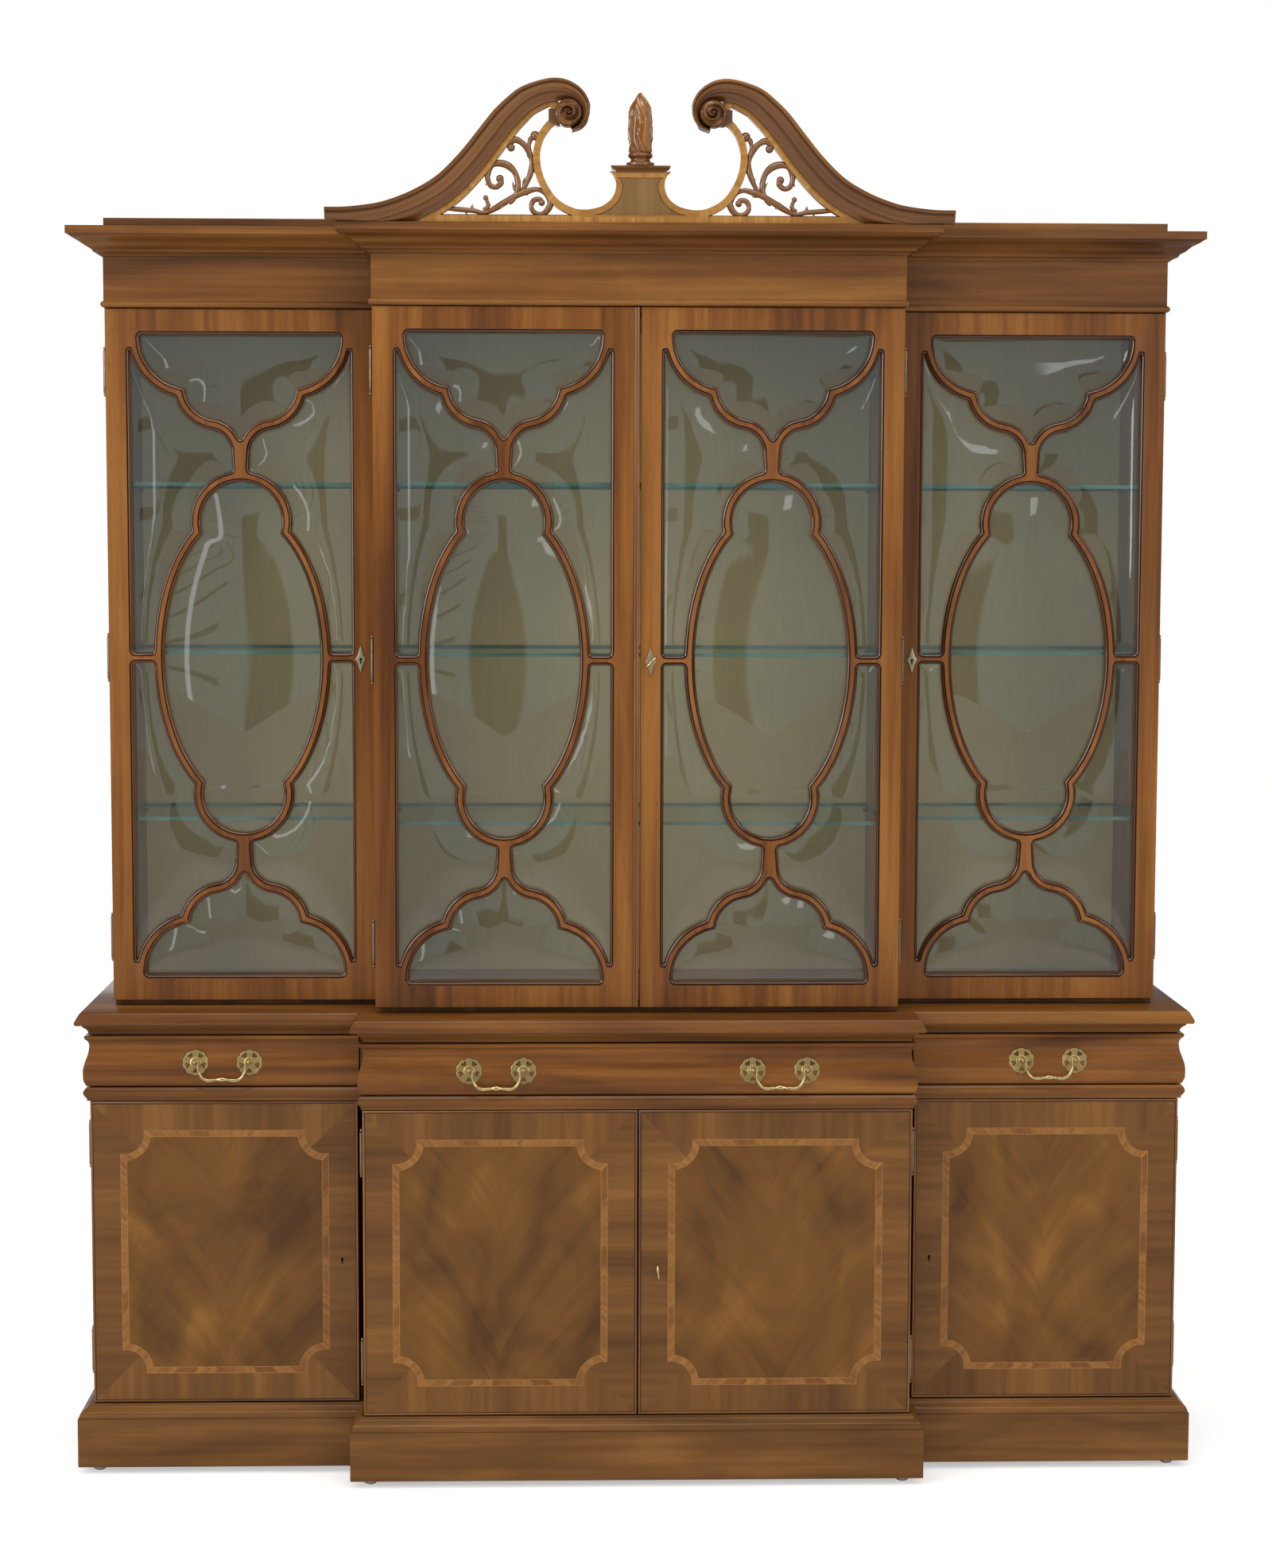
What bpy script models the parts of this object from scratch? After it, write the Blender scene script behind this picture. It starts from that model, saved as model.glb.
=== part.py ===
"""Breakfront bookcase: a base of three cupboards and three drawers, and a glazed upper case under a
swan-neck pediment. Metres, +Z up, the front faces -Y, x = 0 is the middle of the case."""

import math

import bmesh
import bpy
from mathutils import Matrix, Vector

# Clearances and allowances
GAP = 0.0003
JOINT_GAP = 0.001
DOOR_GAP = 0.0025
SHY = 0.001  # a board let into another stays this far inside its faces
BITE = 0.002  # joined pieces run this far into each other
STAGGER = 0.0001  # flush boards of one body step back by this much
OVERRUN = 0.010  # a cutter runs this far past what it cuts

# Plan: the middle section stands forward of the wings. The case gives the width of all the rest
BASE_HALF_WIDTH = 0.905
BASE_CENTRE_SHARE = 0.450 / 0.905
STEP = 0.081
CENTRE_DEPTH = 0.445
PLINTH_PROJECTION = 0.025
PLINTH_CENTRE_PROJECTION = 0.022
UPPER_INSET = 0.0318
UPPER_CENTRE_INSET = 0.0185
BASE_DOOR_FACE = 0.0203
BASE_DOOR_THICKNESS = 0.022
UPPER_DOOR_FACE = 0.0805
UPPER_DOOR_THICKNESS = 0.020

# Heights, from the floor up: each stage stands on the one below
FOOT_HEIGHT = 0.0120
PLINTH_BOARD_HEIGHT = 0.0818
PLINTH_CAP_HEIGHT = 0.0222
CUPBOARD_HEIGHT = 0.5115
MID_MOULDING_HEIGHT = 0.0225
DRAWER_ROOM_HEIGHT = 0.0880
BASE_TOP_HEIGHT = 0.0380
UPPER_DOOR_LIFT = 0.0098
UPPER_CASE_HEIGHT = 1.1540
FRIEZE_HEIGHT = 0.0835
CROWN_HEIGHT = 0.0445
TOP_BOARD_HEIGHT = 0.0175

# Board thicknesses
BOARD = 0.018
BACK_BOARD = 0.006
PLINTH_BOARD = 0.020
PLINTH_WALL = 0.045
CORNICE_WALL = 0.045

# Mouldings: how far each one stands out or back, and where its forms lie
PLINTH_CAP_SETBACK = 0.0170
PLINTH_CAP_SHARES = (
    (0.0, 0.118), (0.225, 0.147), (0.450, 0.294), (0.631, 0.618), (0.788, 0.882), (1.0, 1.0),
)
BULGE_SETBACK = 0.0146
HOLLOW_DEPTH = 0.0094
OGEE_SHARES = (
    (0.0, 0.628), (0.059, 0.277), (0.130, 0.043), (0.231, 0.0), (0.763, 1.0), (0.834, 0.979),
    (0.893, 0.734), (0.935, 0.362), (0.976, 0.234), (1.0, 0.362),
)
BULGE_SHARE, HOLLOW_SHARE = OGEE_SHARES[3][0], OGEE_SHARES[4][0]
MID_SETBACK = 0.0145
MID_PROJECTION = 0.0055
MID_SHARES = ((0.0, 1.0), (0.178, 0.909), (0.400, 0.273), (0.622, 0.0), (0.822, 0.273), (1.0, 0.909))
TOP_SETBACK = 0.0235
TOP_SHARES = (
    (0.0, 1.0), (0.105, 0.979), (0.237, 0.851), (0.342, 0.638), (0.434, 0.596), (0.447, 0.213),
    (0.513, 0.136), (0.632, 0.149), (0.816, 0.319), (0.934, 0.426), (1.0, 0.532),
)
NECKING_HEIGHT = 0.0110
NECKING_PROJECTION = 0.0056
NECKING_SHARES = ((0.0, 0.09), (0.273, 0.80), (0.545, 1.0), (0.818, 0.71), (1.0, 0.214))
CROWN_PROJECTION = 0.0535
CROWN_SHARES = (
    (0.0, 0.022), (0.004, 0.075), (0.079, 0.140), (0.135, 0.215), (0.139, 0.280), (0.225, 0.327),
    (0.337, 0.486), (0.472, 0.617), (0.607, 0.841), (0.708, 0.935), (0.724, 1.0), (0.998, 1.0),
    (1.0, 0.0),
)

# Feet
FOOT_RADIUS = 0.0115
FOOT_INSET = 0.030
FOOT_SHARES = ((0.0, 0.62), (0.35, 1.0), (1.0, 0.95))
FOOT_SIDES = 10

# Hinges
HINGE_LENGTH = 0.070
KNUCKLE_RADIUS = 0.0030
LEAF_BITE = 0.0035
KNUCKLE_SIDES = 6
UPPER_HINGE_SHARES = (0.091, 0.500, 0.911)
BASE_HINGE_SHARES = (0.165, 0.853)

# Drawers
DRAWER_GAP = 0.0020
DRAWER_BOX_HEIGHT = 0.056
DRAWER_BOX_WALL = 0.010
DRAWER_BOX_FLOOR = 0.006
DRAWER_BACK_ROOM = 0.020

# Shelves and their pegs
SHELF_SHARES = (0.260, 0.509, 0.758)
SHELF_THICKNESS = 0.006
SHELF_SETBACK = 0.008
PEG_INSET = 0.040
PEG_LENGTH = 0.009
PEG_WIDTH = 0.005

# Glazed doors
STILE = 0.033
RAIL = 0.036
LIP = 0.0065
LIP_SET = 0.0050
BAR_WIDTH = 0.0175
BAR_BACK = 0.0140
BAR_FRONT = 0.0030
BAR_CROWN_SHARE = 0.42
SIDE_BAR_SHARE = 0.66
REBATE = 0.0080
REBATE_DEPTH = 0.0142
GLASS_THICKNESS = 0.0030
GLASS_BULGE = 0.0050
PANE_MARGIN = 0.0025
PANE_SLOPE = 0.0100
SIDE_PANE_SHARE = 0.60
LEFT_DOOR_EDGE = 0.0066
RIGHT_DOOR_EDGE = 0.0034
ASTRAGAL_WIDTH = 0.0088
ASTRAGAL_RISE = 0.0030
# The double bead of the meeting edge, across its width, with its rise
ASTRAGAL_SHARES = (
    (0.0, 0.33), (0.17, 1.0), (0.44, 0.90), (0.50, 0.40), (0.56, 0.90), (0.83, 1.0), (1.0, 0.33),
)

# The tracery, as shares of the half width and half height inside stiles and rails
TOP_ARC_SHARES = ((-0.4296, 0.9802), 0.5000)
MIDDLE_ARC_SHARES = ((-0.1972, 0.8309), 0.3380)
LOW_ARC_SHARES = ((-0.2887, 0.6310), 0.2535)
STEM_SHARES = (0.6400, 0.5450)
OVAL_SHARES = (0.7380, 0.4575)
LOBE_SHARES = (0.4046, 0.4210)

# The panes, in the same shares
TOP_PANE_SHARES = (
    (0.80, 0.966), (0.735, 0.905), (0.45, 0.832), (0.20, 0.738), (0.06, 0.704),
    (-0.06, 0.704), (-0.20, 0.738), (-0.45, 0.832), (-0.735, 0.905), (-0.80, 0.966),
)
SIDE_PANE_SHARES = (
    (-0.930, 0.030), (-0.930, 0.845), (-0.560, 0.760), (-0.320, 0.684), (-0.140, 0.650),
    (-0.130, 0.598), (-0.375, 0.538), (-0.665, 0.305), (-0.820, 0.030),
)
OVAL_PANE_SHARES = (0.610, 0.385)
OVAL_PANE_SIDES = 12

# Cupboard doors
CUPBOARD_DOOR_GAP = 0.0015
WING_DOOR_SETBACK = 0.0135
MEETING_HALF_GAP = 0.0012
COCK_BEAD = 0.0034
COCK_BEAD_RISE = 0.0011
COCK_BEAD_SHARES = ((0.0, 0.0), (0.24, 1.0), (0.65, 1.0), (1.0, 0.0))
INLAY_INSET = 0.054
INLAY_WIDTH = 0.0095
INLAY_PROUD = 0.0004
INLAY_CORNER = 0.040

# Keys, keyholes and escutcheons
KEYHOLE_RADIUS = 0.0024
KEYHOLE_SLOT = 0.0022
KEYHOLE_DROP = 0.0075
KEYHOLE_DEPTH = 0.012
ESCUTCHEON_INSET = 0.0235
CENTRE_ESCUTCHEON_INSET = 0.0166
UPPER_KEY_SHARE = 0.4985
WING_KEYHOLE_INSET = 0.027
LOWER_KEY_INSET = 0.0319
LOWER_KEY_SHARE = 0.475
ESCUTCHEON_HALF_WIDTH = 0.0095
ESCUTCHEON_HALF_HEIGHT = 0.0225
ESCUTCHEON_THICKNESS = 0.0015
ESCUTCHEON_EDGE = 0.0006
DIAMOND_SHARES = ((1.0, 0.0), (0.58, 0.26), (0.24, 0.70), (0.0, 1.0))
DIAMOND_FACE_SHARES = (0.90, 0.93)
KEY_SHANK_RADIUS = 0.0018
KEY_REACH = 0.010
KEY_NECK = 0.0090
KEY_COLLAR_RADIUS = 0.0028
KEY_COLLAR_BACK = 0.0035
KEY_COLLAR_LENGTH = 0.0025
KEY_BOW_LENGTH = 0.0270
KEY_BOW_DEPTH = 0.0170
KEY_BOW_WIRE = 0.0017
KEY_BOW_SIDES = 12
UPPER_KEY_TURN = 45
LOWER_KEY_TURN = -6

# Pulls
PULL_BORING = 0.0888
WING_PULL_SHARE = 0.5176
CENTRE_PULL_SHARE = 0.5144
PULL_SHARE = 0.4675
ROSETTE_RADIUS = 0.0215
ROSETTE_THICKNESS = 0.0018
ROSETTE_FACE_SHARE = 0.95
ROSETTE_LOBES = 5
LOBE_SHARE = 0.84
# Each pierced heart, as (distance from the middle, way round the middle in radians)
HEART_SHARES = ((0.44, 0.0), (0.76, 0.26), (0.76, -0.26))
POST_REACH = 0.0155
POST_SHARES = ((0.0, 0.42), (0.20, 0.30), (0.28, 0.15), (0.70, 0.16), (0.86, 0.20), (1.16, 0.17))
POST_SIDES = 6
PIN_RADIUS = 0.0016
PIN_ROOM_SHARE = 1.5
PIN_START_SHARE = 0.08
BAIL_DROP = 0.0305
BAIL_RADIUS = 0.0032
# Half of the bail from the pin to the middle bead: along, down, thickness
BAIL_SHARES = (
    (0.955, 0.0, 0.50), (0.885, 0.0, 0.50), (0.872, 0.14, 0.52), (0.880, 0.34, 0.60), (0.830, 0.62, 0.72),
    (0.720, 0.86, 0.85), (0.500, 1.00, 1.00), (0.250, 0.97, 0.84), (0.215, 0.96, 1.20),
    (0.165, 0.95, 0.80), (0.080, 0.94, 1.30),
)

# Pediment
PEDIMENT_PROJECTION = 0.0700
PEDIMENT_RISE = 0.2238
PEDIMENT_FACE = 0.0400
PEDIMENT_THICKNESS = 0.015
NECK_PROJECTION = 0.0292
NECK_WIDTH = 0.050
# The left swan neck along its upper edge: across, up, width of the moulding there
NECK_SHARES = (
    (1.000, 0.092, 0.96), (0.937, 0.094, 0.98), (0.857, 0.114, 1.00), (0.798, 0.145, 1.00),
    (0.721, 0.214, 1.00), (0.645, 0.316, 1.00), (0.575, 0.469, 0.98), (0.519, 0.622, 0.96),
    (0.468, 0.764, 0.94), (0.427, 0.853, 0.90), (0.385, 0.927, 0.86), (0.332, 0.975, 0.80),
    (0.275, 1.000, 0.70), (0.226, 0.981, 0.60), (0.184, 0.916, 0.48), (0.161, 0.820, 0.40),
    (0.164, 0.728, 0.32), (0.185, 0.661, 0.24), (0.218, 0.632, 0.14),
)
NECK_PLAIN = 9
# Across the neck from the upper lip down, and how much of its projection stands there
NECK_SECTION_SHARES = (
    (0.0, 0.86), (0.06, 1.0), (0.17, 0.98), (0.21, 0.82), (0.50, 0.60), (0.56, 0.44), (1.0, 0.12),
)
VOLUTE_SHARES = (0.229, 0.764)
VOLUTE_RADIUS = 0.0225
BOSS_SHARES = ((0.0, 0.98), (0.50, 0.98), (0.62, 0.80), (0.58, 0.62), (0.82, 0.42), (0.95, 0.14))
BOSS_SIDES = 12
BANDING_TUCK = 0.012
# Under edge of the light banding below the neck, from the rail up to the volute
BANDING_SHARES = (
    (0.668, 0.054), (0.654, 0.071), (0.586, 0.170), (0.517, 0.317), (0.464, 0.474), (0.416, 0.603),
    (0.359, 0.719), (0.284, 0.791),
)
BANDING_END_SHARES = ((0.191, 0.746), (0.239, 0.688), (0.259, 0.670))
BAND_WIDTH = 0.0100
C_BAND_SHARES = (
    (0.273, 0.719), (0.293, 0.684), (0.317, 0.603), (0.330, 0.486), (0.324, 0.357), (0.301, 0.237),
    (0.265, 0.139), (0.211, 0.078), (0.165, 0.071),
)
RAIL_TOP_SHARE = 0.065
# Side of the pedestal between the necks, from under its cap to its foot
PEDESTAL_SHARES = (
    (0.097, 0.366), (0.084, 0.331), (0.077, 0.265), (0.089, 0.181), (0.122, 0.121), (0.165, 0.096),
    (0.189, 0.094),
)
PEDESTAL_BORDER = 0.0100
PEDESTAL_SINK = 0.0012
CAP_BOTTOM_SHARE = 0.357
CAP_TOP_SHARE = 0.402
CAP_HALF_WIDTH = 0.0475
CAP_FRONT = 0.0090
CAP_BACK = 0.0060
CAP_SETBACK = 0.0100
CAP_SHARES = ((0.0, 1.0), (0.4, 0.8), (0.8, 0.1), (1.0, 0.0))

# Pierced scrollwork
FRET_THICKNESS = 0.0080
FRET_SETBACK = 0.0030
STEM_WIDTH = 0.0060
TIE_WIDTH = 0.0042
# Its stems, each from root to curl: across, up, width there
STEM_PATH_SHARES = (
    (
        (0.614, 0.101, 0.67), (0.533, 0.086, 0.87), (0.487, 0.078, 0.77), (0.402, 0.185, 1.00),
        (0.327, 0.235, 0.60), (0.298, 0.125, 0.93), (0.342, 0.080, 0.77), (0.345, 0.168, 0.73),
        (0.323, 0.139, 0.60),
    ),
    (
        (0.425, 0.143, 0.67), (0.400, 0.281, 0.83), (0.435, 0.394, 0.93), (0.483, 0.371, 0.90),
        (0.479, 0.270, 0.83), (0.454, 0.295, 0.73), (0.459, 0.322, 0.60),
    ),
    (
        (0.391, 0.206, 0.67), (0.356, 0.362, 0.83), (0.359, 0.478, 0.83), (0.399, 0.559, 1.00),
        (0.427, 0.523, 0.83),
    ),
    ((0.339, 0.366, 0.60), (0.359, 0.485, 0.57), (0.351, 0.588, 0.63), (0.335, 0.601, 0.77)),
    ((0.499, 0.085, 0.67), (0.484, 0.121, 0.67), (0.492, 0.176, 0.43)),
)
# Small leaves: root, tip, width at the root
LEAF_SHARES = (
    (0.439, 0.109, 0.446, 0.154, 0.83), (0.401, 0.554, 0.401, 0.590, 0.67),
    (0.401, 0.237, 0.413, 0.308, 0.67), (0.373, 0.259, 0.376, 0.342, 0.60),
    (0.534, 0.085, 0.533, 0.130, 0.67), (0.487, 0.295, 0.499, 0.273, 0.50),
    (0.379, 0.228, 0.357, 0.201, 0.67),
)
# Ties that hold the scrolls to rail, banding and C band, end to end
TIE_SHARES = (
    (0.554, 0.098, 0.554, 0.054), (0.495, 0.366, 0.502, 0.384), (0.427, 0.567, 0.435, 0.590),
    (0.323, 0.076, 0.323, 0.049), (0.493, 0.076, 0.493, 0.049), (0.618, 0.101, 0.636, 0.085),
    (0.347, 0.384, 0.331, 0.357),
)

# Finial
FINIAL_RADIUS = 0.0229
SOCLE_HEIGHT = 0.0200
SOCLE_SHARES = ((0.0, 1.0), (0.25, 1.0), (0.35, 0.74), (0.60, 0.70), (0.78, 0.86), (1.0, 0.83))
SOCLE_SIDES = 10
FLAME_HEIGHT = 0.0978
FLAME_RADIUS = 0.0205
FLAME_SHARES = (
    (0.0, 0.74), (0.14, 0.82), (0.28, 0.88), (0.46, 1.0), (0.62, 0.93), (0.78, 0.68), (0.90, 0.40),
    (1.0, 0.10),
)
FLAME_LOBES = 5
FLAME_SIDES = 15
FLAME_TWIST = 2.6
FLAME_WAVE_SHARE = 0.11

# Finishes: colour, roughness, metallic, transmission
FINISHES = {
    "mahogany": ((0.235, 0.098, 0.042), 0.28, 0.0, 0.0),
    "mahogany_dark": ((0.160, 0.060, 0.028), 0.28, 0.0, 0.0),
    "crossbanding": ((0.420, 0.210, 0.085), 0.28, 0.0, 0.0),
    "crotch_veneer": ((0.260, 0.105, 0.045), 0.25, 0.0, 0.0),
    "back_lining": ((0.200, 0.160, 0.080), 0.60, 0.0, 0.0),
    "brass": ((0.560, 0.400, 0.170), 0.28, 1.0, 0.0),
    "glass": ((0.900, 0.940, 0.920), 0.02, 0.0, 0.95),
    "glide_metal": ((0.300, 0.300, 0.270), 0.25, 1.0, 0.0),
}

# Worked out from the sizes above
PLINTH_HALF_WIDTH = BASE_HALF_WIDTH + PLINTH_PROJECTION
BASE_CENTRE_HALF_WIDTH = BASE_HALF_WIDTH * BASE_CENTRE_SHARE
PLINTH_CENTRE_HALF_WIDTH = BASE_CENTRE_HALF_WIDTH + PLINTH_CENTRE_PROJECTION
UPPER_HALF_WIDTH = BASE_HALF_WIDTH - UPPER_INSET
UPPER_CENTRE_HALF_WIDTH = BASE_CENTRE_HALF_WIDTH - UPPER_CENTRE_INSET
PEDIMENT_HALF_WIDTH = UPPER_CENTRE_HALF_WIDTH + PEDIMENT_PROJECTION
PLINTH_BOARD_TOP = FOOT_HEIGHT + PLINTH_BOARD_HEIGHT
PLINTH_TOP = PLINTH_BOARD_TOP + PLINTH_CAP_HEIGHT
MID_MOULDING_BOTTOM = PLINTH_TOP + CUPBOARD_HEIGHT
MID_MOULDING_TOP = MID_MOULDING_BOTTOM + MID_MOULDING_HEIGHT
BASE_CASE_TOP = MID_MOULDING_TOP + DRAWER_ROOM_HEIGHT
BASE_TOP_TOP = BASE_CASE_TOP + BASE_TOP_HEIGHT
UPPER_DOOR_BOTTOM = BASE_TOP_TOP + UPPER_DOOR_LIFT
UPPER_CASE_TOP = BASE_TOP_TOP + UPPER_CASE_HEIGHT
FRIEZE_TOP = UPPER_CASE_TOP + FRIEZE_HEIGHT
CORNICE_TOP = FRIEZE_TOP + CROWN_HEIGHT
TOP_BOARD_TOP = CORNICE_TOP + TOP_BOARD_HEIGHT
BASE_CASE_FRONT = BASE_DOOR_FACE + BASE_DOOR_THICKNESS + JOINT_GAP
UPPER_CASE_FRONT = UPPER_DOOR_FACE + UPPER_DOOR_THICKNESS + JOINT_GAP
UPPER_CASE_BACK = CENTRE_DEPTH - BACK_BOARD - GAP
CORNICE_BOTTOM = UPPER_CASE_TOP + GAP
DRAWER_BOTTOM = MID_MOULDING_TOP + DRAWER_GAP
DRAWER_TOP = BASE_CASE_TOP - CUPBOARD_DOOR_GAP
RETURN_HALF_WIDTH = PLINTH_CENTRE_HALF_WIDTH - BULGE_SETBACK + SHY
DOOR_BOTTOM = PLINTH_TOP + CUPBOARD_DOOR_GAP
DOOR_TOP = MID_MOULDING_BOTTOM - CUPBOARD_DOOR_GAP
UPPER_DOOR_TOP = UPPER_CASE_TOP - SHY / 2
WING_DOOR_EDGE = UPPER_CENTRE_HALF_WIDTH + DOOR_GAP + SHY / 2
PEDIMENT_BASE = CORNICE_TOP + GAP

PARTS = bpy.data.collections.new("breakfront_bookcase")
LOOKS = {}


def clear_scene():
    for obj in list(bpy.data.objects):
        bpy.data.objects.remove(obj, do_unlink=True)
    bpy.context.scene.collection.children.link(PARTS)


def make_finishes():
    for name, (colour, roughness, metallic, transmission) in FINISHES.items():
        look = bpy.data.materials.new(name)
        look.use_nodes = True
        shader = look.node_tree.nodes["Principled BSDF"]
        shader.inputs["Base Color"].default_value = (*colour, 1.0)
        shader.inputs["Roughness"].default_value = roughness
        shader.inputs["Metallic"].default_value = metallic
        shader.inputs["Transmission Weight"].default_value = transmission
        LOOKS[name] = look


# Solids


def add_object(name, shape):
    """A bmesh made into an object of the collection, facing out."""
    bmesh.ops.recalc_face_normals(shape, faces=shape.faces)
    if shape.calc_volume(signed=True) < 0:
        bmesh.ops.reverse_faces(shape, faces=shape.faces)
    mesh = bpy.data.meshes.new(name)
    shape.to_mesh(mesh)
    shape.free()
    obj = bpy.data.objects.new(name, mesh)
    PARTS.objects.link(obj)
    return obj


def box(x0, x1, y0, y1, z0, z1):
    """A block between two corners. Each pair may be given in either order."""
    shape = bmesh.new()
    bmesh.ops.create_cube(shape, size=1.0)
    size = Matrix.Diagonal((abs(x1 - x0), abs(y1 - y0), abs(z1 - z0), 1.0))
    middle = Vector((x0 + x1, y0 + y1, z0 + z1)) / 2
    bmesh.ops.transform(shape, matrix=Matrix.Translation(middle) @ size, verts=shape.verts)
    return add_object("box", shape)


def rod(start, end, radius, sides):
    """A round rod between two points."""
    start = Vector(start)
    end = Vector(end)
    way = end - start
    shape = bmesh.new()
    bmesh.ops.create_cone(
        shape, cap_ends=True, segments=sides, radius1=radius, radius2=radius, depth=way.length
    )
    turn = way.to_track_quat("Z", "Y").to_matrix().to_4x4()
    place = Matrix.Translation((start + end) / 2) @ turn
    bmesh.ops.transform(shape, matrix=place, verts=shape.verts)
    return add_object("rod", shape)


def turned(levels, sides):
    """A turned piece that stands on the origin, from (height, radius) levels."""
    profile = [(0.0, levels[0][0])] + [(r, z) for z, r in levels] + [(0.0, levels[-1][0])]
    mesh = bpy.data.meshes.new("profile")
    points = [(r, 0.0, z) for r, z in reversed(profile)]
    mesh.from_pydata(points, [(i, i + 1) for i in range(len(points) - 1)], [])
    obj = bpy.data.objects.new("turned", mesh)
    PARTS.objects.link(obj)
    screw = obj.modifiers.new("turn", "SCREW")
    screw.steps = sides
    screw.render_steps = sides
    screw.use_merge_vertices = True
    screw.merge_threshold = STAGGER / 2
    return baked(obj)


def loft(name, loops, closed_ring=False):
    """A solid through loops of equal length. The ends are filled, or joined when it is a ring."""
    shape = bmesh.new()
    rows = [[shape.verts.new(p) for p in loop] for loop in loops]
    follow = rows[1:] + rows[:1] if closed_ring else rows[1:]
    for a, b in zip(rows, follow):
        for j in range(len(a)):
            k = (j + 1) % len(a)
            shape.faces.new((a[j], a[k], b[k], b[j]))
    if not closed_ring:
        shape.faces.new(rows[0])
        shape.faces.new(rows[-1])
    return add_object(name, shape)


def mesh_of(curve, matrix):
    """A curve made into a closed mesh, with its caps welded to its sides."""
    source = bpy.data.objects.new("curve", curve)
    PARTS.objects.link(source)
    graph = bpy.context.evaluated_depsgraph_get()
    mesh = bpy.data.meshes.new_from_object(source.evaluated_get(graph))
    bpy.data.objects.remove(source, do_unlink=True)
    shape = bmesh.new()
    shape.from_mesh(mesh)
    bpy.data.meshes.remove(mesh)
    bmesh.ops.remove_doubles(shape, verts=shape.verts, dist=STAGGER / 10)
    bmesh.ops.transform(shape, matrix=matrix, verts=shape.verts)
    return add_object("solid", shape)


def new_curve(dimensions, points, closed):
    """A straight-sided curve through (x, y, z, thickness) points."""
    curve = bpy.data.curves.new("curve", "CURVE")
    curve.dimensions = dimensions
    spline = curve.splines.new("POLY")
    spline.points.add(len(points) - 1)
    for point, (x, y, z, thick) in zip(spline.points, points):
        point.co = (x, y, z, 1.0)
        point.radius = thick
    spline.use_cyclic_u = closed
    return curve


def slab(outline, y0, y1):
    """A flat board with this outline of (x, z) points, from y0 to y1."""
    curve = new_curve("2D", [(x, z, 0.0, 1.0) for x, z in outline], True)
    curve.fill_mode = "BOTH"
    curve.extrude = abs(y1 - y0) / 2
    upright = Matrix.Rotation(math.radians(90), 4, "X")
    return mesh_of(curve, Matrix.Translation((0.0, (y0 + y1) / 2, 0.0)) @ upright)


def wire(points, radius, closed=False):
    """A bent round wire through (x, y, z, thickness share) points."""
    curve = new_curve("3D", points, closed)
    curve.bevel_depth = radius
    curve.bevel_resolution = 1
    curve.use_fill_caps = True
    return mesh_of(curve, Matrix.Identity(4))


def baked(obj):
    """The object with its modifiers made real."""
    graph = bpy.context.evaluated_depsgraph_get()
    mesh = bpy.data.meshes.new_from_object(obj.evaluated_get(graph))
    old = obj.data
    obj.modifiers.clear()
    obj.data = mesh
    bpy.data.meshes.remove(old)
    return obj


def boolean(obj, others, operation):
    helpers = bpy.data.collections.new("helpers")
    bpy.context.scene.collection.children.link(helpers)
    for other in others:
        PARTS.objects.unlink(other)
        helpers.objects.link(other)
    step = obj.modifiers.new("join", "BOOLEAN")
    step.operation = operation
    step.solver = "EXACT"
    step.operand_type = "COLLECTION"
    step.collection = helpers
    bpy.context.view_layer.update()
    baked(obj)
    for other in others:
        mesh = other.data
        bpy.data.objects.remove(other, do_unlink=True)
        bpy.data.meshes.remove(mesh)
    bpy.data.collections.remove(helpers)
    return obj


def union(obj, others):
    return boolean(obj, others, "UNION")


def cut(obj, others):
    return boolean(obj, others, "DIFFERENCE")


def common(obj, other):
    return boolean(obj, [other], "INTERSECT")


def moved(obj, x, y, z):
    obj.data.transform(Matrix.Translation((x, y, z)))
    return obj


def clean(obj):
    """Merges the flat facets that Booleans leave behind."""
    shape = bmesh.new()
    shape.from_mesh(obj.data)
    bmesh.ops.remove_doubles(shape, verts=shape.verts, dist=STAGGER / 10)
    flat = math.radians(0.1)
    bmesh.ops.dissolve_limit(shape, angle_limit=flat, verts=shape.verts, edges=shape.edges)
    shape.to_mesh(obj.data)
    shape.free()


def finish(obj, name, look, smooth=False, origin=None):
    """Names a solid, gives it its finish and puts its origin on the axis it moves about."""
    clean(obj)
    obj.name = name
    obj.data.name = name
    obj.data.materials.clear()
    obj.data.materials.append(LOOKS[look])
    if smooth:
        obj.data.shade_smooth()
        obj.data.set_sharp_from_angle(angle=math.radians(50))
    if origin is not None:
        obj.data.transform(Matrix.Translation(-Vector(origin)))
        obj.location = origin
    return obj


def mirrored(obj, name):
    """A left hand piece made into its right hand twin."""
    twin = bpy.data.objects.new(name, obj.data.copy())
    PARTS.objects.link(twin)
    twin.data.transform(Matrix.Scale(-1, 4, (1, 0, 0)))
    twin.data.flip_normals()
    twin.location = (-obj.location.x, obj.location.y, obj.location.z)
    return twin


# Breakfront outlines


def plan(half_width, centre_half, wing_y, centre_y, back_y, out):
    """The eight corners of the stepped plan, moved out by a moulding's projection."""
    w = half_width + out
    c = centre_half + out
    left = [(-w, back_y), (-w, wing_y - out), (-c, wing_y - out), (-c, centre_y - out)]
    return left + [(-x, y) for x, y in reversed(left)]


def plinth_plan(out, back=CENTRE_DEPTH):
    return plan(PLINTH_HALF_WIDTH, PLINTH_CENTRE_HALF_WIDTH, STEP, 0.0, back, out)


def base_case_plan(out, back=CENTRE_DEPTH):
    wing = STEP + BASE_CASE_FRONT
    return plan(BASE_HALF_WIDTH, BASE_CENTRE_HALF_WIDTH, wing, BASE_CASE_FRONT, back, out)


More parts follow.
